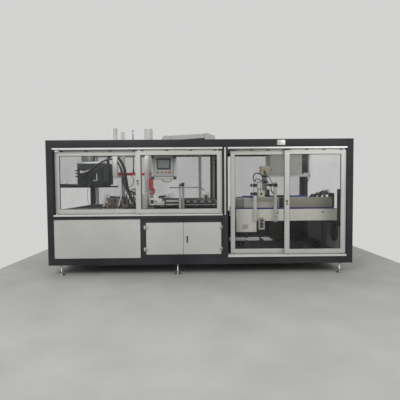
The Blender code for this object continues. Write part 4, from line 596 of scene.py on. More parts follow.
def finish(name, group, colour, values, bump=0.0, distance=0.0004, **sockets):
    """A material: one group feeds the shader's colour and roughness, and its height feeds a bump."""
    made = bpy.data.materials.get(name)
    if made is not None:
        return made
    made = bpy.data.materials.new(name)
    made.use_nodes = True
    nodes = Nodes(made.node_tree)
    shader = made.node_tree.nodes["Principled BSDF"]
    skin = nodes.add("ShaderNodeGroup")
    skin.node_tree = group
    skin.inputs["Colour"].default_value = (*colour, 1.0)
    for key, value in values.items():
        skin.inputs[key].default_value = value
    nodes.tree.links.new(skin.outputs["Colour"], shader.inputs["Base Color"])
    nodes.tree.links.new(skin.outputs["Roughness"], shader.inputs["Roughness"])
    if bump:
        relief = nodes.add(
            "ShaderNodeBump", {"Strength": bump, "Distance": distance, "Height": skin.outputs["Height"]}
        )
        nodes.tree.links.new(relief.outputs["Normal"], shader.inputs["Normal"])
    for key, value in sockets.items():
        shader.inputs[key.replace("_", " ")].default_value = value
    made.diffuse_color = (*colour, 1.0)
    return made


def painted(name, colour, roughness=0.42, dust=0.10, grain=420.0, bump=0.25, **sockets):
    """A sprayed coat of one colour."""
    return finish(
        name, sprayed_coat(), colour, {"Roughness": roughness, "Dust": dust, "Grain": grain}, bump,
        **sockets,
    )


def plastic(name, colour, roughness=0.45, pebble=700.0, bump=0.2, **sockets):
    """A moulded plastic of one colour."""
    return finish(name, moulded_skin(), colour, {"Roughness": roughness, "Pebble": pebble}, bump, **sockets)


# How much the lines of a drawn metal are squeezed on each axis, for each direction they run in
LINES_ALONG = {"X": (4.0, 240.0, 240.0), "Y": (240.0, 4.0, 240.0), "Z": (240.0, 240.0, 4.0)}


def metal(name, colour, roughness=0.33, along="X", metallic=0.85, **sockets):
    """A drawn metal of one colour, with its lines along an axis."""
    values = {"Roughness": roughness, "Squeeze": LINES_ALONG[along]}
    return finish(name, drawn_metal(), colour, values, 0.15, Metallic=metallic, **sockets)


def frame_paint():
    """Paint of the guard frame."""
    return painted("frame paint", settings().frame_colour, 0.55, 0.03, 300.0, 0.2, Specular_IOR_Level=0.14)


def panel_coat():
    """Powder coat of the sheet panels."""
    return painted("panel coat", settings().panel_colour, 0.5, 0.03, 380.0, 0.22)


def door_profile(along="X"):
    """Finish of the sliding doors' profiles."""
    name = "door profile " + along.lower()
    return metal(name, settings().door_colour, 0.4, along, 0.25)


def track_aluminium():
    """Finish of the door tracks."""
    return metal("track aluminium", (0.66, 0.66, 0.64), 0.32, "X", 0.35)


def machined(along="X"):
    """Milled aluminium with its lines along an axis."""
    return metal("machined aluminium " + along.lower(), (0.50, 0.50, 0.48), 0.36, along, 0.7)


def white_profile():
    """Pale coat of profiles, pans and strips."""
    return painted("white profile", (0.60, 0.60, 0.58), 0.4, 0.05, 500.0, 0.12)


def cream_coat():
    """Warm pale coat of boxes and covers."""
    return painted("cream coat", (0.62, 0.59, 0.49), 0.42, 0.05)


def cream_sheet():
    """Bright warm sheet of the conveyor's side plates and drive guard."""
    return painted("cream sheet", (0.80, 0.78, 0.70), 0.42, 0.05)


def shaded_profile():
    """Raw extruded bar of the lift posts, greyer than the doors."""
    return painted("shaded profile", (0.40, 0.40, 0.385), 0.4, 0.05, 500.0, 0.12)


def dark_coat_and_shade():
    """Near-black paint of the machinery that stands in shade; on the right bay's rear panel it is painted
    shade.
    """
    return painted("dark machine coat and painted shade", (0.020, 0.022, 0.022), 0.5, 0.04, Specular_IOR_Level=0.2)


def dark_steel():
    """Blackened steel."""
    return metal("dark steel", (0.075, 0.075, 0.08), 0.4, "X", 0.8)


def bright_steel():
    """Plated steel."""
    return metal("bright steel", (0.62, 0.62, 0.62), 0.2, "Z", 1.0)


def black_plastic():
    """Black moulded plastic."""
    return plastic("black plastic", (0.016, 0.016, 0.018), 0.42)


def grey_plastic():
    """Grey moulded plastic."""
    return plastic("grey plastic", (0.16, 0.165, 0.17), 0.45)


def black_rubber():
    """Dull black rubber of the seals."""
    return plastic("black rubber", (0.02, 0.02, 0.021), 0.62, 900.0, 0.3)


def cable_jacket():
    """Black jacket of cables and hoses."""
    return plastic("cable jacket", (0.018, 0.018, 0.02), 0.5, 500.0, 0.1)


def red_coat():
    """Red paint of the lifting beam and the folding arm."""
    return painted("red coat", settings().accent_colour, 0.35, 0.08)


def red_plastic():
    """Red plastic of the buttons."""
    return plastic("red plastic", (0.50, 0.02, 0.018), 0.3, 700.0, 0.05)


def blue_belting():
    """Woven blue belting."""
    return finish("blue belting", woven_belt(), settings().belt_colour, {"Roughness": 0.6}, 0.3, 0.0003)


def pane_haze():
    """Clear sheet: a faint film of haze and wipe marks that makes it a little less clear."""

    def build(nodes, given, out):
        place = object_place(nodes)
        stretched = nodes.add("ShaderNodeMapping", {"Vector": place, "Scale": (1.5, 1.5, 0.6)}).outputs[0]
        film = nodes.spread(nodes.noise(stretched, 2.2, 5.0, 0.65), 0.35, 0.7, 0.0, 1.0)
        nodes.tree.links.new(nodes.mix(film, given["Colour"], (0.10, 0.105, 0.10, 1.0)), out["Colour"])
        nodes.tree.links.new(nodes.spread(film, 0.0, 1.0, 0.04, 0.10), out["Roughness"])
        haze = nodes.math("MULTIPLY", given["Opacity"], nodes.spread(film, 0.0, 1.0, 0.8, 1.25))
        nodes.tree.links.new(haze, out["Height"])

    return effect("pane haze", [("Colour", COLOUR_KIND, None), ("Opacity", VALUE_KIND, 0.12)], build)


def clear_pane():
    """The panes' material: the film's height feeds how much of it is seen."""
    made = finish("clear pane", pane_haze(), (0.035, 0.040, 0.038), {"Opacity": settings().pane_opacity})
    skin = next(node for node in made.node_tree.nodes if node.type == "GROUP")
    shader = made.node_tree.nodes["Principled BSDF"]
    made.node_tree.links.new(skin.outputs["Height"], shader.inputs["Alpha"])
    return made


# Guard frame

# Gap of a welded joint, step from a tube's face to its neighbour's, and the strip in the middle joint
WELD_LINE = 0.0012
FACE_STEP = 0.001
STRIP_WIDTH = 0.024
STRIP_GAP = 0.0035
# Widths of the frame's square tubes and height of its rails
TUBE = 0.1
SLIM_TUBE = 0.05
RAIL_HEIGHT = 0.065


def frame_tube(low, high, rounding=None):
    """A square tube, drawn as a block with the frame's edge radius."""
    return block(low, high, rounding or settings().frame_rounding)


def blank_plate(centre, width, height, face):
    """A bare rating plate with a raised rim and a rivet in each corner, set on a face that looks to -Y."""
    x, z = centre
    half = np.array([width, height]) / 2
    rim = framed(
        (x - half[0], z - half[1]), (x + half[0], z + half[1]), 0.003, 0.003,
        [(0, 0), (1, 0), (1, 1), (0, 1)], face - 0.0009, face - 0.0001,
    )
    body = block(
        (x - half[0] + 0.001, face - 0.0005, z - half[1] + 0.001),
        (x + half[0] - 0.001, face, z + half[1] - 0.001), 0.0002,
    )
    spots = [
        (x + a * (half[0] - 0.007), face - 0.0004, z + b * (half[1] - 0.007))
        for a in (-1, 1)
        for b in (-1, 1)
    ]
    return joined(rim, body, screws(spots, 0.0018, FRONT, 0.0005))


def framed(low, high, stile, rail, section, front, back):
    """A rectangular frame in the XZ plane with mitred corners. Each section point is (share of the bar's
    width from its outer edge, share of the depth from front to back), carried round the four corners."""
    section = np.asarray(section, float)
    rail_low, rail_high = rail if isinstance(rail, tuple) else (rail, rail)
    sign = np.array([[1, 1], [-1, 1], [-1, -1], [1, -1]], float)
    corner = np.array([[low[0], low[1]], [high[0], low[1]], [high[0], high[1]], [low[0], high[1]]], float)
    width = np.array([[stile, rail_low], [stile, rail_low], [stile, rail_high], [stile, rail_high]])
    flat = corner[:, None] + sign[:, None] * width[:, None] * section[None, :, :1]
    depth = np.broadcast_to(front + (back - front) * section[None, :, 1], flat.shape[:2])
    rings = np.stack([flat[..., 0], depth, flat[..., 1]], -1)
    count = len(section)
    which = np.arange(4)[:, None]
    around = np.arange(count)[None, :]
    here = which * count + around
    beside = which * count + (around + 1) % count
    following = ((which + 1) % 4) * count
    quads = np.stack([here, following + around, following + (around + 1) % count, beside], -1).reshape(-1, 4)
    return rings.reshape(-1, 3), quads.tolist()


class ERECTOR_OT_guard_frame(bpy.types.Operator):
    """Makes the guard frame with its rounded tubes, roof sheet, joint strip and blank plate"""

    bl_idname = "erector.guard_frame"
    bl_label = "Guard frame"

    def execute(self, context):
        rounding = settings().frame_rounding
        for node in ("left_end_frame", "right_end_frame", "base_frame", "machine_deck"):
            rounded_copy(node, node + "_tubes", frame_paint(), rounding, "charcoal_frame")
        self.middle_post()
        self.top_frame()
        self.base_details()
        return {"FINISHED"}

    def middle_post(self):
        """Two front tubes with the joint strip between them, the rear post, and the rails across."""
        low, high = corners("middle_frame")
        deck_top = corners("machine_deck")[1][2]
        deck_bottom = corners("machine_deck")[0][2]
        front_top = corners("left_upper_track")[1][2]
        rail = RAIL_HEIGHT
        post = TUBE
        strip = (low[0] + high[0]) / 2 - STRIP_WIDTH / 2, (low[0] + high[0]) / 2 + STRIP_WIDTH / 2
        front = low[1] + post
        shapes = [
            frame_tube((low[0], low[1], deck_top), (strip[0] - STRIP_GAP, front, front_top)),
            frame_tube((strip[1] + STRIP_GAP, low[1], deck_top), (high[0], front, front_top)),
            block(
                (strip[0] - 0.004, low[1] + 0.012, deck_top), (strip[1] + 0.004, front, front_top), 0.001
            ),
            frame_tube((low[0], low[1], low[2]), (high[0], front, deck_top - WELD_LINE)),
            frame_tube((low[0], high[1] - post, low[2]), (high[0], high[1], high[2])),
            frame_tube(
                (low[0] + 0.001, front - 0.004, low[2]),
                (high[0] - 0.001, high[1] - post + 0.004, low[2] + rail),
            ),
            frame_tube(
                (low[0] + 0.001, front - 0.004, deck_bottom),
                (high[0] - 0.001, high[1] - post + 0.004, deck_top),
            ),
            frame_tube(
                (low[0] + 0.001, front + 0.0003, front_top - rail / 2),
                (high[0] - 0.001, high[1] - post + 0.004, high[2]),
            ),
        ]
        light = block(
            (strip[0], low[1] + 0.0015, deck_top + 0.004), (strip[1], low[1] + 0.014, front_top - 0.002),
            0.001,
        )
        spots = [
            (sum(strip) / 2, low[1] + 0.0016, z) for z in np.linspace(deck_top + 0.08, front_top - 0.08, 5)
        ]
        piece("middle_frame_tubes", [(frame_paint(), shapes)], slot="charcoal_frame", replaces="middle_frame")
        strip_parts = [(door_profile("Z"), light), (bright_steel(), screws(spots, 0.0035, FRONT, 0.0012))]
        piece("middle_joint_strip", strip_parts, slot="door_profile")

    def top_frame(self):
        """The roof rails, the sheet with its seams and screws, and the blank plate."""
        low, high = corners("top_frame")
        post = TUBE
        slim = SLIM_TUBE
        sheet_left = -0.79
        front = low[1] + FACE_STEP
        shapes = [
            frame_tube((low[0], front, low[2]), (high[0], low[1] + post, high[2])),
            frame_tube((low[0], high[1] - post, high[2] - slim), (high[0], high[1], high[2])),
            frame_tube(
                (sheet_left - 0.08, low[1] + post - 0.004, high[2] - slim + 0.01),
                (sheet_left, high[1] - post + 0.004, high[2] - 0.01),
            ),
            block(
                (sheet_left - 0.004, low[1] + post - 0.004, high[2] - 0.02),
                (high[0], high[1] - post + 0.004, high[2] - 0.005),
            ),
        ]
        folds = np.linspace(sheet_left + 0.78, high[0] - 0.79, 3)
        seam = block(
            (-0.012, low[1] + post + 0.002, high[2] - 0.0065),
            (0.012, high[1] - post - 0.002, high[2] - 0.0035), 0.001,
        )
        shapes.append(repeated(seam, [(x, 0, 0) for x in folds]))
        piece("top_frame_tubes", [(frame_paint(), shapes)], slot="charcoal_frame", replaces="top_frame")
        side = np.linspace(sheet_left + 0.06, high[0] - 0.06, 14)
        spots = [(x, y, high[2] - 0.005) for x in side for y in (low[1] + post + 0.02, high[1] - post - 0.02)]
        piece("roof_sheet_screws", [(bright_steel(), screws(spots, 0.005, UP, 0.003))], slot="charcoal_frame")
        plate_shape = blank_plate((1.2895, 2.1135), 0.127, 0.081, front)
        piece("blank_rating_plate", [(machined(), plate_shape)], slot="bare_metal")

    def base_details(self):
        """The black caps in the base rail's lifting holes."""
        low, _ = corners("base_frame")
        caps = [(x, low[1] + 0.0002, low[2] + 0.055) for x in (-1.55, 1.45)]
        disc = turned([(0.013, 0), (0.0125, 0.0006)], (0, 0.0008, 0), FRONT, 20)
        piece("base_hole_caps", [(black_plastic(), repeated(disc, caps))], slot="black_trim")


class ERECTOR_OT_sheet_panels(bpy.types.Operator):
    """Makes the sheet panels with their screws, the right bay's painted shade sheet, the end guard and the
    fan
    """

    bl_idname = "erector.sheet_panels"
    bl_label = "Sheet panels"

    def execute(self, context):
        names = (
            "front_lower_panel", "rear_lower_panel_left", "rear_lower_panel_right", "left_end_panel",
            "right_end_panel",
        )
        for node in names:
            rounded_copy(node, node + "_sheet", panel_coat(), settings().sheet_rounding, "grey_panel")
        inset = 0.02
        low, high = corners("front_lower_panel")
        spots = [
            (x, low[1], z)
            for x in (low[0] + inset, high[0] - inset)
            for z in (low[2] + inset, high[2] - inset)
        ]
        piece("front_panel_screws", [(dark_steel(), screws(spots, 0.0045, FRONT, 0.0025))], slot="foot_steel")
        spots = []
        for node in ("rear_lower_panel_left", "rear_lower_panel_right"):
            low, high = corners(node)
            for x in np.linspace(low[0] + inset, high[0] - inset, 4):
                spots += [(x, high[1], low[2] + inset), (x, high[1], high[2] - inset)]
        piece("rear_panel_screws", [(dark_steel(), screws(spots, 0.0045, REAR, 0.0025))], slot="foot_steel")
        for side, node in ((-1, "left_end_panel"), (1, "right_end_panel")):
            low, high = corners(node)
            x = low[0] if side < 0 else high[0]
            rows = [
                (x, y, z)
                for y in np.linspace(low[1] + inset, high[1] - inset, 4)
                for z in (low[2] + inset, high[2] - inset)
            ]
            piece(
                node + "_screws", [(dark_steel(), screws(rows, 0.0045, (side, 0, 0), 0.0025))],
                slot="foot_steel",
            )
        self.painted_shade_sheet()
        self.end_guard()
        self.fan()
        return {"FINISHED"}

    def painted_shade_sheet(self):
        """A near-black sheet with seams on the inner face of the right bay's rear panel: painted shade for
        the bay's shadowed lower part.
        """
        low, high = corners("rear_lower_panel_right")
        # Painted shade: a near-black sheet just in front of the panel's inner face, where the bay stands in
        # shadow
        sheet = block(
            (low[0] + 0.006, low[1] - 0.0045, low[2] + 0.006),
            (high[0] - 0.006, low[1] - 0.0008, high[2] - 0.006), 0.001,
        )
        seams = [
            block((x, low[1] - 0.0055, low[2] + 0.01), (x + 0.03, low[1] - 0.004, high[2] - 0.01), 0.0006, 1)
            for x in np.linspace(low[0] + 0.45, high[0] - 0.45, 3)
        ]
        piece("right_bay_painted_shade", [(dark_coat_and_shade(), [sheet, *seams])], slot="dark_machine")

    def end_guard(self):
        """The dark guard strip between the right end's front post and the conveyor, on two brackets."""
        bottom, top = corners("right_end_panel")[1][2] + 0.004, 1.36
        strip = block((2.36, -0.985, bottom), (2.366, -0.712, top), 0.001)
        fold = block((2.36, -0.718, bottom), (2.38, -0.712, top), 0.001)
        brackets = [
            block((2.3655, -0.9995, z), (2.395, -0.94, z + 0.04)) for z in (bottom + 0.06, top - 0.12)
        ]
        piece(
            "outfeed_end_guard", [(dark_coat_and_shade(), [strip, fold]), (machined(), brackets)],
            slot="charcoal_frame",
        )

    def fan(self):
        """The fan behind the round vent: a ring, a hub and seven blades, each blade a twisted strip."""
        x = corners("right_end_panel")[0][0] - 0.03
        y, z = -0.5, 0.58
        ring = turned([(0.118, 0), (0.145, 0), (0.145, 0.029), (0.118, 0.029)], (x, y, z), RIGHT, 40)
        hub = turned([(0.035, 0), (0.04, 0.003), (0.04, 0.024), (0.03, 0.027)], (x, y, z), RIGHT, 24)
        blades = []
        reach = np.linspace(0.038, 0.113, 6)
        pitch = np.radians(np.linspace(52, 24, 6))
        chord = np.array([-0.5, 0.5])[:, None] * 0.042
        for number in range(7):
            angle = number * 2 * math.pi / 7 + 0.07
            out = np.array([0, math.cos(angle), math.sin(angle)])
            tangent = np.array([0, -math.sin(angle), math.cos(angle)])
            lean = np.cos(pitch)[:, None] * tangent + np.sin(pitch)[:, None] * np.array([1.0, 0, 0])
            thick = np.cross(out, lean) * 0.0012
            base = np.array([x + 0.013, y, z]) + reach[:, None] * out
            rings = np.stack([base + chord[0] * lean - thick, base + chord[1] * lean - thick,
                              base + chord[1] * lean + thick, base + chord[0] * lean + thick], 1)
            blades.append(stacked(rings))
        piece("vent_fan", [(black_plastic(), [ring, hub, *blades])], slot="black_trim")


class ERECTOR_OT_feet(bpy.types.Operator):
    """Makes the levelling feet with their pads, threaded stems and nuts"""

    bl_idname = "erector.feet"
    bl_label = "Levelling feet"

    def execute(self, context):
        for row in ("front", "rear"):
            for side in ("left", "middle", "right"):
                node = f"foot_{row}_{side}"
                low, high = corners(node)
                x, y = (low[:2] + high[:2]) / 2
                top = high[2]
                turns = 24
                ridge = np.arange(turns * 2)
                thread = np.stack(
                    [0.0088 + 0.0012 * (ridge % 2), 0.04 + ridge * (top - 0.016 - 0.04) / (turns * 2 - 1)],
                    -1,
                )
                pad = [
                    (0.046, 0), (0.049, 0.003), (0.049, 0.009), (0.046, 0.0125), (0.022, 0.019),
                    (0.018, 0.024), (0.018, 0.036), (0.014, 0.04),
                ]
                steel = joined(
                    turned(pad, (x, y, 0), sides=36),
                    turned(thread, (x, y, 0), sides=18),
                    hexagon_nut((x, y, 0.042), 0.0185, 0.012),
                    hexagon_nut((x, y, top - 0.0145), 0.0198, 0.0143),
                )
                piece(node + "_levelling", [(bright_steel(), steel)], slot="foot_steel", replaces=node)
        return {"FINISHED"}


# Cabinet

# Face of the mounting plate, bottom and top of the door opening, and the two sides of each door's leaf
PLATE_FACE = -0.5822
OPENING_LOW, OPENING_HIGH = 0.331, 0.845
DOOR_SIDES = {"left": (-0.881, -0.285), "right": (-0.28, 0.327)}
SEAL_INSET = 0.016


class ERECTOR_OT_cabinet(bpy.types.Operator):
    """Makes the control cabinet: its housing, doors, seals, handle and the gear on its mounting plate"""

    bl_idname = "erector.cabinet"
    bl_label = "Control cabinet"

    def execute(self, context):
        rounding = settings().sheet_rounding
        low, high = corners("cabinet_housing")
        plate_y = -0.582
        inner = [
            (
                machined(), (low[0] + 0.1, plate_y - 0.02, low[2] + 0.06),
                (high[0] - 0.04, -0.559, high[2] - 0.06),
            )
        ]
        hinge = [(machined("Z"), (low[0] + 0.055, low[1] - 0.001, 0.37), (low[0] + 0.088, -1.0843, 0.81)),
                 (machined("Z"), (high[0] - 0.0185, low[1] - 0.001, 0.37), (high[0], -1.0843, 0.81))]
        rounded_copy(
            "cabinet_housing", "cabinet_housing_sheet", frame_paint(), 0.001, "charcoal_frame",
            inner + hinge,
        )
        for side, body in (("left", "cabinet_left_door"), ("right", "cabinet_right_door")):
            node = "cabinet_door_" + side
            low, high = corners(node)
            leaf = [(machined("Z"), (low[0] - 1, low[1] - 0.02, 0.38), (high[0] + 1, -1.0842, 0.8))]
            rounded_copy(node, node + "_sheet", panel_coat(), rounding * 0.5, "grey_panel", leaf)
            x_low, x_high = DOOR_SIDES[side]
            seal = framed(
                (x_low + SEAL_INSET, OPENING_LOW + SEAL_INSET),
                (x_high - SEAL_INSET, OPENING_HIGH - SEAL_INSET), 0.008, 0.008,
                [(0, 0), (1, 0), (0.8, 1), (0.2, 1)], -1.0621, -1.0565,
            )
            stiff = [
                block((x_low + 0.05, -1.0621, z - 0.02), (x_high - 0.05, -1.0555, z + 0.02))
                for z in (0.44, 0.74)
            ]
            piece(node + "_seal", [(black_rubber(), seal), (panel_coat(), stiff)], body, "black_trim")
        self.handle()
        self.gear()
        return {"FINISHED"}

    def handle(self):
        """A swing handle: a dished oval plate, a lever with a waist and a round lock under a flap."""
        low, high = corners("cabinet_handle")
        x, z = (low[0] + high[0]) / 2, (low[2] + high[2]) / 2
        half = (high[2] - low[2]) / 2
        radius = (high[0] - low[0]) / 2
        turn = np.linspace(0, 2 * math.pi, 40, endpoint=False)
        oval = np.stack(
            [np.cos(turn) * radius, np.sin(turn) * radius + np.sign(np.sin(turn)) * (half - radius)], -1
        )
        share = np.array([1.0, 1.0, 0.9, 0.86])[:, None, None]
        depth = np.array([0, 0.004, 0.006, 0.0062])
        rings = np.stack(
            [
                x + share[..., 0] * oval[None, :, 0], np.broadcast_to(high[1] - depth[:, None], (4, 40)),
                z + share[..., 0] * oval[None, :, 1],
            ],
            -1,
        )
        dish = stacked(rings)
        lever_share = np.array([0.62, 0.66, 0.6, 0.4])[:, None]
        lever_depth = np.array([0.005, 0.009, 0.0125, 0.0139])
        waist = 1 - 0.25 * np.cos(oval[:, 1] / half * math.pi / 2)
        lever = stacked(
            np.stack(
                [
                    x + lever_share * oval[None, :, 0] * waist,
                    np.broadcast_to(high[1] - lever_depth[:, None], (4, 40)),
                    z + 0.006 + lever_share * 1.15 * oval[None, :, 1],
                ],
                -1,
            )
        )
        lock = turned(
            [(0.0052, 0.004), (0.005, 0.0085), (0.004, 0.0092)], (x, high[1], z - half * 0.72), FRONT, 20
        )
        piece("cabinet_swing_handle", [(black_plastic(), [dish, lever]), (bright_steel(), lock)],
              "cabinet_right_door", "black_trim", "cabinet_handle")

    def gear(self):
        """Plain gear on the mounting plate: slotted wiring ducts, rails, drives, breakers and terminals."""
        ducts, rails, drives, modules, dark, terminals = [], [], [], [], [], []
        for z in (0.385, 0.505, 0.625, 0.745):
            ducts.append(block((-0.8, -0.045, z), (0.25, 0, z + 0.03), 0.001))
            teeth = block((-0.796, -0.0458, z + 0.004), (-0.79, -0.044, z + 0.026), 0.0004, 1)
            dark.append(repeated(teeth, [(0.0125 * n, 0, 0) for n in range(84)]))
        for z in (0.455, 0.575, 0.695):
            rails.append(block((-0.78, -0.0075, z), (0.23, -0.001, z + 0.035), 0.001))
        breaker = joined(
            block((0, -0.068, 0.66), (0.0172, -0.0076, 0.735), 0.0015),
            block((0.0035, -0.078, 0.69), (0.0137, -0.0675, 0.705), 0.001),
        )
        modules.append(repeated(breaker, [(-0.76 + 0.018 * n, 0, 0) for n in range(18)]))
        drive = block((0, -0.125, 0.54), (0.058, -0.0076, 0.617), 0.003)
        drives.append(repeated(drive, [(-0.75 + 0.066 * n, 0, 0) for n in range(5)]))
        fins = block((0.006, -0.1262, 0.546), (0.008, -0.1245, 0.565), 0.0003, 1)
        dark.append(
            repeated(fins, [(-0.75 + 0.066 * n + 0.006 * k, 0, 0) for n in range(5) for k in range(8)])
        )
        controller = block((-0.36, -0.09, 0.54), (-0.12, -0.0076, 0.617), 0.003)
        card_gap = block((-0.335, -0.0912, 0.545), (-0.3335, -0.0895, 0.612), 0.0003, 1)
        dark += [controller, repeated(card_gap, [(0.03 * n, 0, 0) for n in range(8)])]
        relay = block((0, -0.06, 0.545), (0.024, -0.0076, 0.612), 0.0015)
        modules.append(repeated(relay, [(-0.08 + 0.027 * n, 0, 0) for n in range(11)]))
        clip = joined(block((0, -0.048, 0.43), (0.0055, -0.0076, 0.498), 0.0008, 1),
                      turned([(0.0018, 0), (0.0018, 0.0016)], (0.00275, -0.048, 0.485), FRONT, 8))
        terminals.append(repeated(clip, [(-0.74 + 0.0062 * n, 0, 0) for n in range(60)]))
        supply = block((-0.3, -0.11, 0.432), (-0.18, -0.0076, 0.5))
        drives.append(supply)
        parts = [
            (grey_plastic(), ducts), (bright_steel(), rails), (cream_coat(), modules),
            (painted("gear grey", (0.28, 0.29, 0.3), 0.5), drives), (black_plastic(), dark),
            (plastic("terminal beige", (0.45, 0.43, 0.36), 0.5), terminals),
        ]
        piece("cabinet_gear", parts, slot="dark_machine", at=(0, PLATE_FACE, 0))


# Sliding doors

# Section of a leaf's profile, from its outer edge inwards and from front to back
LEAF_SECTION = [
    (0, 0.06), (0.012, 0), (0.28, 0), (0.285, 0.075), (0.335, 0.075), (0.34, 0), (0.84, 0), (0.845, 0.07),
    (0.97, 0.07), (1.0, 0.16), (1.0, 0.84), (0.97, 0.93), (0.845, 0.93), (0.84, 1.0), (0.34, 1.0),
    (0.335, 0.925), (0.285, 0.925), (0.28, 1.0), (0.012, 1.0), (0, 0.94),
]


class ERECTOR_OT_sliding_doors(bpy.types.Operator):
    """Makes the sliding doors: grooved profiles, seals, rollers, locks and tracks"""

    bl_idname = "erector.sliding_doors"
    bl_label = "Sliding doors"

    def execute(self, context):
        for node in ("left_upper_track", "left_lower_track", "right_upper_track", "right_lower_track"):
            rounded_copy(node, node + "_channel", track_aluminium(), 0.0007, "track_profile")
        for node in ("left_bay_front", "left_bay_rear", "right_bay_front", "right_bay_rear"):
            self.leaf(node)
            NODES[node + "_pane"].data.materials.clear()
            NODES[node + "_pane"].data.materials.append(clear_pane())
        return {"FINISHED"}

    def leaf(self, node):
        """One leaf: its grooved frame, two seals, hangers, rollers and lock."""
        stile = 0.08 if "front" in node else 0.07
        rail_low, rail_high = 0.074, 0.063
        low, high = corners(node + "_leaf")
        front, back = low[1], high[1]
        x_low, x_high = low[0], high[0]
        z_low = corners(node + "_pane")[0][2] - 0.0003 - rail_low
        z_high = corners(node + "_pane")[1][2] + 0.0003 + rail_high
        frame_shape = framed(
            (x_low, z_low), (x_high, z_high), stile, (rail_low, rail_high), LEAF_SECTION, front, back
        )
        hole = (x_low + stile, z_low + rail_low), (x_high - stile, z_high - rail_high)
        seal_section = [(0, 0), (1, 0.1), (1, 0.9), (0, 1)]
        middle = (front + back) / 2
        seals = joined(
            framed(hole[0], hole[1], 0.0055, 0.0055, seal_section, middle - 0.0085, middle - 0.0032),
            framed(hole[0], hole[1], 0.0055, 0.0055, seal_section, middle + 0.0032, middle + 0.0085),
        )
        fin = block(
            (x_low + 0.06, middle - 0.005, z_high - 0.004), (x_high - 0.06, middle + 0.005, high[2]), 0.001
        )
        hanger = joined(
            block((-0.03, middle - 0.01, z_high - 0.001), (0.03, middle + 0.01, z_high + 0.012)),
            block((-0.01, middle - 0.0115, z_high + 0.004), (0.01, middle + 0.0115, z_high + 0.02)),
        )
        width = x_high - x_low
        hangers = repeated(hanger, [(x_low + share * width, 0, 0) for share in (0.08, 0.36, 0.64, 0.92)])
        wheels = []
        for x in (x_low + 0.06, x_high - 0.06):
            axle = low[2] + 0.0115
            tread = [(0.0105, -0.006), (0.0115, -0.0045), (0.0115, 0.0045), (0.0105, 0.006)]
            wheels.append(turned(tread, (x, middle, axle), REAR, 28))
            for side in (-1, 1):
                cheek = block(
                    (x - 0.026, middle + side * 0.0068, axle - 0.008),
                    (x + 0.026, middle + side * 0.009, z_low + 0.003), 0.001,
                )
                wheels.append(cheek)
            wheels.append(turned([(0.004, -0.0105), (0.004, 0.0105)], (x, middle, axle), REAR, 12))
        corner = screws(
            grid(
                (x_low + stile * 0.3, x_high - stile * 0.3), front + 0.0022,
                (z_low + rail_low / 2, z_high - rail_high / 2),
            ),
            0.0035, FRONT, 0.0015,
        )
        parts = [
            (door_profile("X"), frame_shape), (door_profile("X"), fin), (black_rubber(), seals),
            (dark_steel(), hangers), (black_plastic(), wheels), (bright_steel(), corner),
        ]
        if "front" in node:
            lock_x = x_low + 0.03 if "left_bay" in node else x_low + 0.035
            lock_z = 1.494 if "left_bay" in node else 1.152
            parts += self.lock(lock_x, front, lock_z)
        piece(node + "_door", parts, node + "_door", "door_profile", node + "_leaf")

    def lock(self, x, face, z):
        """A round key lock with a slot over a finger hole with a rim, on the closing stile."""
        barrel = turned(
            [(0.0185, 0), (0.0185, 0.003), (0.0165, 0.0045), (0.0075, 0.0045)], (x, face, z + 0.022), FRONT,
            28,
        )
        core = turned([(0.006, 0), (0.0058, 0.0055)], (x, face, z + 0.022), FRONT, 20)
        slot = block(
            (x - 0.0008, face - 0.0058, z + 0.0178), (x + 0.0008, face - 0.005, z + 0.0262), 0.0003, 1
        )
        rim = turned(
            [(0.015, 0), (0.0145, 0.002), (0.0098, 0.0022), (0.0092, 0.0004)], (x + 0.004, face, z - 0.022),
            FRONT, 28,
        )
        return [(black_plastic(), [barrel, rim]), (bright_steel(), core), (dark_steel(), slot)]


class ERECTOR_OT_fixed_windows(bpy.types.Operator):
    """Makes the rear windows and the left end pane"""

    bl_idname = "erector.fixed_windows"
    bl_label = "Fixed windows"

    def execute(self, context):
        for side in ("left", "right"):
            node = f"rear_{side}_window_frame"
            low, high = corners(node)
            profiles = white_profile() if side == "left" else frame_paint()
            rounded_copy(node, node + "_profiles", profiles, 0.0015, "door_profile")
            middle = (low[0] + high[0]) / 2
            seal = framed((low[0] + 0.07, low[2] + 0.07), (high[0] - 0.07, high[2] - 0.02), 0.006, 0.006,
                          [(0, 0), (1, 0.1), (1, 0.9), (0, 1)], low[1] + 0.0003, low[1] + 0.007)
            piece(node + "_seals", [(black_rubber(), seal)], slot="black_trim")
            spots = [(x, high[1], z) for x in (low[0] + 0.035, high[0] - 0.035)
                     for z in np.linspace(low[2] + 0.035, high[2] - 0.035, 5)]
            spots += [(x, high[1], low[2] + 0.035) for x in (middle - 0.4, middle, middle + 0.4)]
            piece(node + "_screws", [(bright_steel(), screws(spots, 0.0045, REAR, 0.002))], slot="foot_steel")
        for node in ("rear_left_pane", "rear_right_pane", "left_end_pane"):
            NODES[node].data.materials.clear()
            NODES[node].data.materials.append(clear_pane())
        low, high = corners("left_end_pane")
        shapes = []
        for y in np.linspace(low[1] + 0.12, high[1] - 0.12, 5):
            for z in (low[2] + 0.012, high[2] - 0.012):
                shapes.append(
                    block((high[0], y - 0.014, z - 0.009), (high[0] + 0.006, y + 0.014, z + 0.009), 0.0015)
                )
        piece("left_end_pane_clips", [(black_plastic(), shapes)], slot="black_trim")
        return {"FINISHED"}


# Operator panel


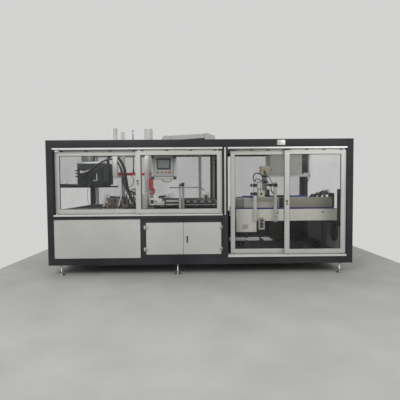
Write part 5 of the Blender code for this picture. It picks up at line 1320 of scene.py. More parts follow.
class ERECTOR_OT_operator_panel(bpy.types.Operator):
    """Makes the operator panel with its screen, switches and oval tube bracket"""

    bl_idname = "erector.operator_panel"
    bl_label = "Operator panel"

    def execute(self, context):
        low, high = corners("operator_panel")
        face = -0.865
        x = (low[0] + high[0]) / 2
        half, depth, height = (high[0] - low[0]) / 2, high[1] - face, high[2] - low[2]
        bezel_low, bezel_high = 1.709 - low[2], 1.894 - low[2]
        body = block((-half, 0, 0), (half, depth, height), 0.008, 4)
        lip = framed((0.006 - half, 0.006), (half - 0.006, height - 0.006), 0.003, 0.003,
                     [(0, 0), (0.5, -0.6), (1, 0), (1, 1), (0, 1)], 0, 0.002)
        bezel = block((-0.1155, -0.0079, bezel_low), (0.1155, 0.004, bezel_high), 0.004)
        inner = framed((-0.1, bezel_low + 0.017), (0.1, bezel_high - 0.017), 0.008, 0.008,
                       [(0, 0), (0.3, -0.4), (1, 0.6), (1, 1), (0, 1)], -0.0079, -0.0069)
        screen = block((-0.0925, -0.0082, bezel_low + 0.0245), (0.0925, -0.006, bezel_high - 0.0245), 0.0006)
        parts = [(self.plate_coat(), [body, lip]), (black_plastic(), [bezel, inner]), (self.screen(), screen)]
        colours = (black_plastic(), grey_plastic(), red_plastic())
        for number, colour in enumerate(colours):
            place = ((number - 1.5) * 0.066, 0, 0.068)
            ring = turned([(0.0165, 0), (0.0165, 0.003), (0.015, 0.0055), (0.013, 0.0055)], place, FRONT, 28)
            cap = turned(
                [(0.0128, 0.001), (0.0128, 0.009), (0.0118, 0.0115), (0.008, 0.0122)], place, FRONT, 24
            )
            parts += [(bright_steel(), ring), (colour, cap)]
        place = (1.5 * 0.066, 0, 0.068)
        collar = turned([(0.021, 0), (0.021, 0.0025), (0.017, 0.003)], place, FRONT, 32)
        head = turned(
            [
                (0.012, 0.002), (0.012, 0.005), (0.0187, 0.0065), (0.0192, 0.0095), (0.0165, 0.0125),
                (0.008, 0.0139),
            ],
            place, FRONT, 32,
        )
        parts += [(plastic("yellow plastic", (0.62, 0.42, 0.02), 0.4), collar), (red_plastic(), head)]
        vents = repeated(block((-0.03, depth - 0.0012, 0), (0.03, depth + 0.0004, 0.003), 0.0004, 1),
                         [(dx, 0, 0.2 + 0.011 * n) for dx in (-0.07, 0.07) for n in range(8)])
        bolts = screws([(a * 0.14, 0, z) for a in (-1, 1) for z in (0.018, 0.338)], 0.0038, FRONT, 0.002)
        parts += [(black_plastic(), vents), (bright_steel(), bolts)]
        piece(
            "operator_panel_housing", parts, slot="light_machine", replaces="operator_panel",
            at=(x, face, low[2]),
        )
        self.bracket(low, high)
        return {"FINISHED"}

    def plate_coat(self):
        """Grey coat of the panel's plate."""
        return painted("panel plate coat", (0.46, 0.47, 0.45), 0.4, 0.02)

    def screen(self):
        """Dark glossy screen under a clear coat."""
        made = finish(
            "dark screen", moulded_skin(), (0.22, 0.24, 0.25), {"Roughness": 0.15, "Pebble": 900.0}, 0.02
        )
        shader = made.node_tree.nodes["Principled BSDF"]
        shader.inputs["Coat Weight"].default_value = 0.6
        return made

    def bracket(self, low, high):
        """An oval tube frame: two hangers and a low rung with clamped corners, and its mount."""
        top = corners("operator_panel_bracket")[1][2] - 0.001
        y = -0.83
        left, right = low[0] - 0.0253, high[0] + 0.0253
        bottom = low[2] - 0.0253
        tubes = [
            bar((left, y, bottom - 0.024), (left, y, top), 0.036, 0.049, RIGHT, 0.0175),
            bar((right, y, bottom - 0.024), (right, y, top), 0.036, 0.049, RIGHT, 0.0175),
            bar((left, y, bottom), (right, y, bottom), 0.034, 0.046, UP, 0.0165),
            block((left, -0.9997, top - 0.009), (right, y + 0.019, top)),
        ]
        clamps = []
        for x in (left, right):
            for z in (bottom, high[2] - 0.03):
                clamps.append(
                    block((x - 0.027, y - 0.0225, z - 0.026), (x + 0.0255, y + 0.0225, z + 0.026), 0.008, 4)
                )
        bolts = screws(
            [
                (x + a * 0.016, y - 0.0225, z)
                for x in (left, right)
                for z in (bottom, high[2] - 0.03)
                for a in (-1, 1)
            ],
            0.0042, FRONT, 0.004,
        )
        parts = [(white_profile(), tubes), (black_plastic(), clamps), (bright_steel(), bolts)]
        piece("operator_panel_tubes", parts, slot="light_machine", replaces="operator_panel_bracket")
        low_z = bottom - 0.016
        points = [
            (-0.65, y, low_z), (-0.645, y, low_z - 0.02), (-0.615, y - 0.005, low_z - 0.04),
            (-0.565, y - 0.01, low_z - 0.058), (-0.51, y - 0.01, low_z - 0.048),
            (-0.475, y - 0.005, low_z - 0.02), (-0.47, y, low_z),
        ]
        cable("panel_cable", points, 0.012, passes=18)


# Left bay


def slotted_section(width, height, slot=0.0042, depth=0.0045, pitch=0.0):
    """The section of a slotted profile: a rectangle with a slot in the middle of each side, or two slots a
    pitch apart on its wider sides."""

    def side(length, other, twin):
        """One side's points from left to right, with a notch at each slot."""
        centres = (-pitch / 2, pitch / 2) if twin else (0,)
        points = [(-length / 2 + 0.0015, -other / 2)]
        for centre in centres:
            points += [(centre - slot, -other / 2), (centre - slot, -other / 2 + depth),
                       (centre + slot, -other / 2 + depth), (centre + slot, -other / 2)]
        return points + [(length / 2 - 0.0015, -other / 2)]

    low = np.array(side(width, height, pitch > 0))
    right = np.array(side(height, width, False))
    turn = np.array([[0, 1.0], [-1.0, 0]])
    return np.concatenate([low, right @ turn, -low, -(right @ turn)])


def slotted_bar(start, end, width, height, up=UP, pitch=0.0):
    """A slotted aluminium profile from one point to another."""
    return carried(np.linspace(start, end, 2), slotted_section(width, height, pitch=pitch), up)


def corrugated(path, radius, pitch=0.008, depth=0.0022, sides=18, up=REAR):
    """A corrugated hose: the radius falls and rises as a cosine of the length along the path."""
    path = np.asarray(path, float)
    step = np.linalg.norm(np.diff(path, axis=0), axis=1)
    length = np.concatenate([[0], np.cumsum(step)])
    count = max(int(length[-1] / pitch) * 4, 8)
    at = np.linspace(0, length[-1], count + 1)
    line = np.stack([np.interp(at, length, path[:, k]) for k in range(3)], -1)
    swell = radius - depth * (0.5 - 0.5 * np.cos(2 * math.pi * at / pitch))
    tangent = np.gradient(line, axis=0)
    tangent /= np.linalg.norm(tangent, axis=1, keepdims=True)
    over = np.asarray(up, float) - (tangent @ np.asarray(up, float))[:, None] * tangent
    over /= np.linalg.norm(over, axis=1, keepdims=True)
    side = np.cross(over, tangent)
    angle = np.linspace(0, 2 * math.pi, sides, endpoint=False)
    circle = np.cos(angle)[None, :, None] * side[:, None] + np.sin(angle)[None, :, None] * over[:, None]
    return stacked(line[:, None] + swell[:, None, None] * circle), line


def cable(name, points, diameter, material=None, passes=36, at=(0, 0, 0)):
    """A cable along the points; both ends go into the machine."""
    path = relaxed(smooth_path(points, 6), diameter, passes) + at
    shape = carried(path, circle_section(diameter / 2, 12), REAR)
    piece(name, [(material or cable_jacket(), shape)], slot="black_trim")


# Front left corner of the melter over its shelf, and its size
MELTER_CORNER = (-2.29, -0.2, 1.44)
MELTER_SIZE = (0.49, 0.5, 0.42)

# Heated hose: where it leaves the melter, how far it runs to the right and sways to the front, its bends
HOSE_START = (-1.73, -0.125, 1.8563)
HOSE_RUN = 0.218
HOSE_SWAY = 0.1
HOSE_BENDS = [
    (0, 0, -0.112), (0.32, 0.2, -0.19), (0.85, 0.6, -0.157), (1.45, 0.9, 0.067), (1.62, 1.0, 0.313),
    (1.8, 1.0, 0.559), (2.15, 1.0, 0.761), (2.7, 1.0, 0.942), (3.1, 1.0, 1.0),
]


def hose_route():
    """The heated hose's bends: shares of its run to the right, of its sway to the front and of its drop."""
    drop = HOSE_START[2] - 0.9623
    shares = np.array(HOSE_BENDS) * (HOSE_RUN, -HOSE_SWAY, -drop)
    bends = np.array(HOSE_START) + shares
    leaving = np.array(HOSE_START) + (0, 0, 0.026)
    return np.concatenate([[HOSE_START, leaving], bends, [bends[-1] + (0.052, 0, 0)]])


class ERECTOR_OT_glue_station(bpy.types.Operator):
    """Makes the glue melter on its shelf with its lid, guards, plugs and hoses"""

    bl_idname = "erector.glue_station"
    bl_label = "Glue station"

    def execute(self, context):
        width, depth, height = MELTER_SIZE
        coat = painted("melter coat", (0.02, 0.02, 0.023), 0.42, 0.04, Specular_IOR_Level=0.3)
        shelf_shapes = [
            block((-0.0597, -0.03, -0.02), (0.63, 0.53, -0.0015)),
            block((-0.0597, -0.03, -0.018), (0.63, -0.022, 0.0105), 0.001),
            block((-0.0597, 0.522, -0.018), (0.63, 0.53, 0.0105), 0.001),
            bar((-0.059, 0.01, -0.01), (0.13, 0.01, -0.01), 0.03, 0.018),
        ]
        body = [
            block((0, 0.004, 0.012), (width, depth, height - 0.002), 0.006),
            block((0.015, 0, 0.03), (0.2, 0.01, height - 0.03), 0.004),
            block((0.208, 0, 0.03), (width - 0.012, 0.01, height - 0.03), 0.004),
            block((width - 0.004, 0.004, 0.03), (width + 0.14, 0.15, height - 0.004), 0.005),
        ]
        feet = repeated(turned([(0.016, 0), (0.019, 0.003), (0.019, 0.012)], (0, 0, -0.0015), sides=20),
                        grid((0.05, width - 0.05), (0.05, depth - 0.05), 0))
        lid = [
            block((-0.012, -0.012, height - 0.002), (width + 0.012, depth + 0.012, height + 0.03), 0.006),
            block((0.03, 0.04, height + 0.026), (width - 0.03, depth - 0.04, height + 0.042), 0.006),
        ]
        handle = tube(
            [
                (0.16, -0.001, height + 0.012), (0.16, -0.01, height + 0.014),
                (width - 0.16, -0.01, height + 0.014), (width - 0.16, -0.001, height + 0.012),
            ],
            0.0035, 4, 10, UP,
        )
        plugs = []
        for number in range(3):
            z = 0.19 + 0.055 * number
            plugs.append(
                turned(
                    [(0.0135, 0), (0.0138, 0.004), (0.0138, 0.02), (0.011, 0.022), (0.011, 0.044)],
                    (0, 0.03, z), LEFT, 20,
                )
            )
        slit = block((0, -0.0006, 0), (0.1, 0.0012, 0.004), 0.0004, 1)
        slits = repeated(slit, [(0.05, 0, 0.06 + 0.012 * n) for n in range(7)])
        dials = [
            turned(
                [(0.016, 0), (0.016, 0.004), (0.012, 0.01), (0.011, 0.011)],
                (0.06 + 0.045 * n, 0, height - 0.1), FRONT, 24,
            )
            for n in range(3)
        ]
        window = block((0.04, -0.0015, height - 0.075), (0.17, 0.001, height - 0.048), 0.001)
        stripes = []
        for x in (width + 0.03, width + 0.062, width + 0.095):
            stripes.append(turned([(0.0125, 0), (0.014, 0.01), (0.014, 0.25), (0.0125, 0.26)],
                                  (x, -0.01, 0.08), UP, 18))
            stripes.append(hexagon_nut((x, -0.01, 0.335), 0.0165, 0.018))
        white = [
            block((0.055, -0.01, 0.25), (0.105, 0.001, 0.295), 0.003),
            block((0.11, -0.016, 0.258), (0.14, 0.001, 0.288), 0.003),
            block((0.354, -0.003, 0.105), (0.372, 0.001, 0.24), 0.001),
            block((0.295, -0.003, 0.105), (0.372, 0.001, 0.118), 0.001),
        ]
        for number in range(3):
            z = 0.265 + 0.01 * number
            wire = [
                (0.135, -0.006, z), (0.17, -0.016, z + 0.014), (0.21, -0.018, z + 0.016),
                (0.24, -0.012, z + 0.03), (0.255, 0.001, z + 0.032),
            ]
            white.append(tube(wire, 0.0032, 5, 8))
        bolts = screws(
            grid((0.022, 0.193, 0.216, width - 0.02), 0, (0.038, height - 0.038)), 0.0035, FRONT, 0.002
        )
        parts = [
            (frame_paint(), shelf_shapes), (coat, body), (machined(), lid),
            (bright_steel(), [handle, bolts]), (black_plastic(), [feet, *plugs, slits, *dials]),
            (self.readout(), window), (painted("teal grey coat", (0.03, 0.055, 0.055), 0.35), stripes),
            (white_profile(), white),
        ]
        piece("glue_melter", parts, slot="dark_machine", replaces="glue_unit", at=MELTER_CORNER)
        self.hoses()
        return {"FINISHED"}

    def readout(self):
        """Dark glossy window of the melter's readout."""
        return finish(
            "readout window", moulded_skin(), (0.02, 0.05, 0.045), {"Roughness": 0.1, "Pebble": 900.0}, 0.02
        )

    def hoses(self):
        """The heated hose, and the cables that hang from the melter and the gun."""
        shape, line = corrugated(smooth_path(hose_route(), 10), 0.0259)
        hose = piece("heated_hose", [(cable_jacket(), shape)], slot="black_trim", replaces="glue_hose")
        supply = [
            (-2.2, -0.203, 1.575), (-2.195, -0.27, 1.578), (-2.16, -0.33, 1.605), (-2.09, -0.36, 1.66),
            (-1.95, -0.35, 1.775), (-1.8, -0.325, 1.895), (-1.68, -0.31, 1.98), (-1.57, -0.3, 2.02),
            (-1.49, -0.295, 1.99), (-1.45, -0.3, 1.88), (-1.44, -0.305, 1.75), (-1.43, -0.31, 1.6),
            (-1.4, -0.315, 1.45), (-1.35, -0.32, 1.32), (-1.27, -0.33, 1.2), (-1.18, -0.34, 1.1),
            (-1.1, -0.345, 1.02), (-1.04, -0.345, 0.9405),
        ]
        gun = [
            (-1.362, -0.252, 1.44), (-1.36, -0.3, 1.41), (-1.28, -0.32, 1.345), (-1.19, -0.33, 1.28),
            (-1.1, -0.335, 1.225), (-1.04, -0.325, 1.205), (-1.012, -0.3, 1.2201),
        ]
        loop = [
            (-1.378, -0.254, 1.6), (-1.36, -0.3, 1.64), (-1.27, -0.315, 1.65), (-1.21, -0.32, 1.57),
            (-1.23, -0.32, 1.47), (-1.31, -0.31, 1.41), (-1.352, -0.285, 1.405),
        ]
        cable("supply_hose", supply, 0.035, passes=60)
        cable("gun_cable", gun, 0.022)
        lead = [
            (-2.03, -0.203, 1.52), (-2.03, -0.245, 1.5), (-2.06, -0.262, 1.44), (-2.085, -0.262, 1.36),
            (-2.09, -0.262, 1.26), (-2.08, -0.262, 1.16), (-2.062, -0.255, 1.1), (-2.056, -0.245, 1.066),
        ]
        cable("melter_lead", lead, 0.008, grey_plastic())
        cable("gun_loop", loop, 0.01)
        falls = (
            (-1.33, 1.28, 0.2, 0.3), (-1.3, 1.22, 0.26, 0.26), (-1.25, 1.16, 0.16, 0.2),
            (-1.31, 1.31, 0.1, 0.36),
        )
        for number, (x, z, reach, drop) in enumerate(falls):
            y = -0.375 - 0.016 * number
            points = [
                (x, -0.25, z), (x + 0.02, y + 0.03, z + 0.01), (x + reach * 0.35, y, z - drop * 0.18),
                (x + reach * 0.85, y - 0.01, z - drop * 0.3), (x + reach * 1.1, y - 0.01, z - drop * 0.62),
                (x + reach * 0.8, y, z - drop * 0.9), (x + reach * 0.5, y + 0.01, 0.9375),
            ]
            cable(f"signal_cable_{number + 1}", points, 0.012 - 0.001 * number)


# Front left corner of the magazine's top, its length and width, and how its guides lean
MAGAZINE_CORNER = (-2.28, -0.855, 1.0663)
MAGAZINE_LENGTH, MAGAZINE_WIDTH = 1.007, 1.505
GUIDE_LEAN = math.radians(16.0)
GUIDE_LENGTH = 0.385
GUIDE_PITCH = 0.245


class ERECTOR_OT_magazine(bpy.types.Operator):
    """Makes the case magazine: rails, slats, rollers, leaning guides, feeder and air hoses"""

    bl_idname = "erector.magazine"
    bl_label = "Case magazine"

    def execute(self, context):
        x_low, y_low, top = MAGAZINE_CORNER
        length, width = MAGAZINE_LENGTH, MAGAZINE_WIDTH
        floor = corners("magazine_bed")[0][2] - top
        span = width - 0.1
        dark = painted("bed coat", (0.022, 0.022, 0.022), 0.5, 0.05, Specular_IOR_Level=0.25)
        rails = [
            block((0, 0, floor), (length, 0.05, -0.004), 0.003),
            block((0, width - 0.05, floor), (length, width, -0.004), 0.003),
        ]
        edges = [block((0, y, -0.006), (length, y + 0.012, 0), 0.001) for y in (0, width - 0.012)]
        pitch = (length - 0.1) / 4
        slats, lips, rollers = [], [], []
        for number in range(5):
            x = pitch * number
            slats.append(block((x, 0.046, -0.05), (x + 0.1, width - 0.046, -0.006), 0.003))
            lips.append(block((x + 0.004, 0.05, -0.0065), (x + 0.012, width - 0.05, -0.002), 0.001))
            lips.append(block((x + 0.088, 0.05, -0.0065), (x + 0.096, width - 0.05, -0.002), 0.001))
            if number < 4:
                x_mid = x + 0.1 + (pitch - 0.1) / 2
                rollers.append(
                    turned(
                        [
                            (0.006, 0), (0.006, 0.02), (0.018, 0.021), (0.018, span - 0.021),
                            (0.006, span - 0.02), (0.006, span),
                        ],
                        (x_mid, 0.05, -0.03), REAR, 20,
                    )
                )
        guides, guide_edges = [], []
        foot = length - 0.405
        for number in range(2):
            x = foot + number * GUIDE_PITCH
            run, rise = GUIDE_LENGTH * math.sin(GUIDE_LEAN), GUIDE_LENGTH * math.cos(GUIDE_LEAN)
            start = np.array([x + 0.015, -0.0072, floor + 0.003])
            end = start + np.array([run, 0, rise - 0.006])
            guides.append(bar(start, end, 0.026, 0.021, REAR, 0.003))
            for side in (-0.015, 0.015):
                guide_edges.append(bar(start + (side, 0, 0), end + (side, 0, 0), 0.0035, 0.021, REAR, 0.0008))
        grips = [
            block(
                (foot + 0.035 + GUIDE_PITCH * n, -0.02, floor + 0.14),
                (foot + 0.075 + GUIDE_PITCH * n, 0.004, floor + 0.165), 0.003,
            )
            for n in range(2)
        ]
        bolts = screws(grid(np.linspace(0.06, length - 0.46, 5), 0, (floor + 0.03, -0.03)),
                       0.006, FRONT, 0.004)
        parts = [
            (dark, [*rails, *slats, *lips]), (machined(), edges), (dark_steel(), [*rollers, bolts]),
            (white_profile(), guides), (black_plastic(), [*grips, *guide_edges]),
        ]
        piece("magazine_frame", parts, slot="dark_machine", replaces="magazine_bed", at=(x_low, y_low, top))
        self.feeder((x_low + foot, y_low, top))
        self.backing((x_low + foot, y_low, top))
        self.tangle()
        return {"FINISHED"}

    def backing(self, at):
        """The brown-grey feeder housing behind the leaning guides, with its upright ribs and a dark head."""
        outline = [(0.03, -0.004), (0.395, -0.004), (0.395, 0.175), (0.08, 0.175)]
        housing = plate(np.array(outline), 0.05, 0.3, "XZ")
        ribs = [
            block((0.095 + 0.034 * n, 0.266, 0), (0.107 + 0.034 * n, 0.277, 0.168))
            for n in range(9)
        ]
        head = [
            block((0.085, 0.262, 0.15), (0.39, 0.336, 0.195), 0.004),
            block((0.25, 0.255, 0.01), (0.3, 0.278, 0.12), 0.004),
            block((0.33, 0.25, 0.06), (0.38, 0.278, 0.19), 0.004),
        ]
        brown = painted("feeder brown grey", (0.2, 0.165, 0.135), 0.5, 0.05)
        parts = [(brown, housing), (machined("Z"), ribs), (black_plastic(), head)]
        piece("feeder_housing", parts, slot="dark_machine", at=at)

    def tangle(self):
        """Short black air hoses heaped at the right end of the magazine; each runs from deck to deck."""
        hoses = []
        deck = 0.9345
        for number in range(9):
            start = np.array([-1.256 + 0.006 * number, -0.52 + 0.03 * number, deck])
            end = np.array([-1.15 + 0.01 * (number % 4), -0.5 + 0.026 * number, deck])
            peak = 0.18 + 0.052 * ((number * 5) % 7)
            lean_left = 0.03 + 0.02 * ((number * 3) % 4)
            points = [
                start, start + (-0.004, 0, 0.06), start + (-lean_left, -0.01, peak * 0.62),
                start + (0.015 - lean_left * 0.4, -0.015, peak),
                (start + end) / 2 + (0.03, -0.01, peak * 0.93), end + (0.035, 0, peak * 0.5),
                end + (0.006, 0, 0.06), end,
            ]
            hoses.append(
                tube(relaxed(smooth_path(points, 6), 0.02, 30), 0.0085 + 0.001 * (number % 3), 1, 10, REAR)
            )
        piece("feeder_air_hoses", [(cable_jacket(), hoses)], slot="black_trim")

    def feeder(self, at):
        """The feeder between the guides: suction cups on arms, a copper-toned valve and blue hoses."""
        cups, arms = [], []
        for x, z in ((0.08, 0.06), (0.17, 0.06), (0.11, 0.15), (0.2, 0.15)):
            cup = [(0.006, 0), (0.01, 0.012), (0.012, 0.016), (0.022, 0.026), (0.024, 0.034), (0.02, 0.033)]
            cups.append(turned(cup, (x, 0.16, z), (-0.3, -1, 0.1), 24))
            arms.append(turned([(0.0055, 0), (0.0055, 0.08)], (x, 0.24, z), (0, -1, 0), 12))
        beam = [bar((0.05, 0.24, 0.06), (0.25, 0.24, 0.06), 0.02, 0.02),
                bar((0.05, 0.24, 0.15), (0.25, 0.24, 0.15), 0.02, 0.02),
                bar((0.06, 0.24, -0.006), (0.06, 0.24, 0.17), 0.02, 0.02, REAR),
                bar((0.235, 0.24, -0.006), (0.235, 0.24, 0.17), 0.02, 0.02, REAR)]
        valve = block((0.1, 0.2, 0.085), (0.19, 0.23, 0.13), 0.003)
        blue = []
        for number in range(3):
            x = 0.115 + 0.028 * number
            blue.append(
                tube(
                    [
                        (x, 0.205, 0.128), (x, 0.17, 0.185), (x + 0.03, 0.16, 0.2), (x + 0.055, 0.19, 0.12),
                        (x + 0.06, 0.235, 0.05),
                    ],
                    0.004, 6, 10, (0.2, 0.3, 0.9),
                )
            )
        parts = [
            (plastic("cup rubber", (0.13, 0.06, 0.045), 0.5), cups), (bright_steel(), arms),
            (machined(), beam), (painted("valve coat", (0.3, 0.16, 0.09), 0.35), valve),
            (plastic("blue tubing", (0.03, 0.045, 0.1), 0.3), blue),
        ]
        piece("magazine_feeder", parts, slot="bare_metal", at=at)


# Lift posts: their width, and the distance from a front post to its rear post
POST_WIDTH = 0.07
POST_SPACING = 0.6
# Bottom and top of the red beam
BEAM_LOW, BEAM_HIGH = 1.6483, 1.6983


class ERECTOR_OT_lifting_gear(bpy.types.Operator):
    """Makes the lift posts, their carriages, the red beam with its lifting rod and the folding arm"""

    bl_idname = "erector.lifting_gear"
    bl_label = "Lifting gear"

    def execute(self, context):
        self.posts("left_lift_posts", x=-1.582, front_low=1.588, floor=1.0626, front_top=2.495,
                   rear_top=2.53, slim_side=-1)
        self.posts("right_lift_posts", x=-1.012, front_low=0.9363, floor=0.9363, front_top=2.48,
                   rear_top=2.59, slim_side=1)
        self.beam()
        self.arm()
        return {"FINISHED"}

    def posts(self, node, x, front_low, floor, front_top, rear_top, slim_side):
        """A pair of posts: slotted profiles front and rear, a tie, a slim profile, a rail and caps."""
        far = POST_SPACING
        centre = POST_WIDTH / 2
        tall = [
            slotted_bar(
                (centre, 0.035, front_low), (centre, 0.035, front_top - 0.003), 0.0695, 0.0695, REAR, 0.034
            ),
            slotted_bar(
                (centre, far + 0.035, floor), (centre, far + 0.035, rear_top - 0.003), 0.061, 0.0695, REAR,
                0.034,
            ),
            slotted_bar((centre, 0.069, 1.628), (centre, far + 0.001, 1.628), 0.052, 0.039),
        ]
        slim_x = -0.0095 if slim_side < 0 else 0.0795
        slim = slotted_bar((slim_x, 0.0155, 1.628), (slim_x, 0.0155, front_top - 0.01), 0.021, 0.0215, REAR)
        caps = [
            block((0.0005, 0.0005, front_top - 0.0032), (0.0695, 0.0695, front_top), 0.001),
            block((0.0045, far + 0.0005, rear_top - 0.0032), (0.0655, far + 0.0695, rear_top), 0.001),
        ]
        rail_y = 0 if front_low == floor else far
        rail = block(
            (centre - 0.009, rail_y - 0.0001, floor + 0.12), (centre + 0.009, rail_y + 0.008, 1.58), 0.001
        )
        brackets = []
        for side in (-1, 1):
            brackets.append(
                block(
                    (centre + side * 0.024 - 0.004, 0.066, 1.6), (centre + side * 0.024 + 0.004, 0.1, 1.655)
                )
            )
        foot = block((0.001, rail_y - 0.03, floor), (0.069, rail_y + 0.0015, floor + 0.01))
        bolts = screws([(centre + a * 0.02, rail_y - 0.015, floor + 0.01) for a in (-1, 1)], 0.005, UP, 0.004)
        parts = [
            (shaded_profile(), tall), (machined("Z"), [slim, *caps, *brackets, foot]),
            (bright_steel(), [rail, bolts]),
        ]
        piece(node + "_profiles", parts, slot="light_machine", replaces=node, at=(x, -0.33, 0))

    def beam(self):
        """The red beam with its ends, coupling, lifting rod, nuts and screws."""
        low, high = corners("red_cross_beam")
        z_low, z_high = BEAM_LOW, BEAM_HIGH
        y = 0.005
        rod_x = -1.28
        beam = slotted_bar(
            (low[0], y, (z_low + z_high) / 2), (high[0], y, (z_low + z_high) / 2), 0.0495, 0.0495
        )
        ends = [
            block((x - 0.004, y - 0.0249, z_low), (x + 0.004, y + 0.0249, z_high), 0.001)
            for x in (low[0] + 0.004, high[0] - 0.004)
        ]
        blocks = [
            block((x - 0.045, y - 0.0248, z_high - 0.001), (x + 0.045, y + 0.0248, z_high + 0.01))
            for x in (-1.547, -0.977)
        ]
        coupling = turned(
            [(0.026, 0), (0.026, 0.012), (0.017, 0.013), (0.017, 0.055), (0.012, 0.056), (0.012, 0.062)],
            (rod_x, y, z_high - 0.001), UP, 28,
        )
        lift = turned(
            [(0.0095, 0), (0.0095, high[2] - z_high - 0.012), (0.0075, high[2] - z_high - 0.002)],
            (rod_x, y, z_high), UP, 18,
        )
        nuts = [
            hexagon_nut((rod_x, y, high[2] - 0.075), 0.0108, 0.012),
            hexagon_nut((rod_x, y, high[2] - 0.06), 0.0108, 0.01),
        ]
        bolts = screws(
            [
                (x + a * 0.03, y + b * 0.014, z_high + 0.01)
                for x in (-1.547, -0.977)
                for a in (-1, 1)
                for b in (-1, 1)
            ],
            0.0045, UP, 0.004,
        )
        parts = [
            (red_coat(), [beam, *ends, *blocks]), (dark_steel(), [coupling, lift]),
            (bright_steel(), [*nuts, bolts]),
        ]
        piece("red_lifting_beam", parts, slot="red_machine", replaces="red_cross_beam")

    def arm(self):
        """The red folding arm with its pivot, pad and screws."""
        low, high = corners("folding_arm")
        rounded_copy("folding_arm", "red_folding_arm", red_coat(), 0.0015, "red_machine")
        y = low[1]
        pivot = turned([(0.02, 0), (0.02, 0.003), (0.014, 0.0045), (0.014, 0.009), (0.01, 0.0105)],
                       (low[0] + 0.04, y, low[2] + 0.085), FRONT, 28)
        pad = block(
            (low[0] + 0.012, y - 0.01, low[2] + 0.065), (low[0] + 0.066, y - 0.0005, low[2] + 0.105), 0.003
        )
        bolts = screws(
            [
                (low[0] + 0.018 + 0.042 * a, y, high[2] - 0.022 - 0.05 * b)
                for a in (0, 1)
                for b in (0, 1, 2)
            ],
            0.005, FRONT, 0.004,
        )
        parts = [(black_plastic(), pad), (bright_steel(), [pivot, bolts])]
        piece("folding_arm_pivot", parts, slot="black_trim")


# Case bed and its guides

# Height of the bed's plate over the deck
BED_RISE = 0.165


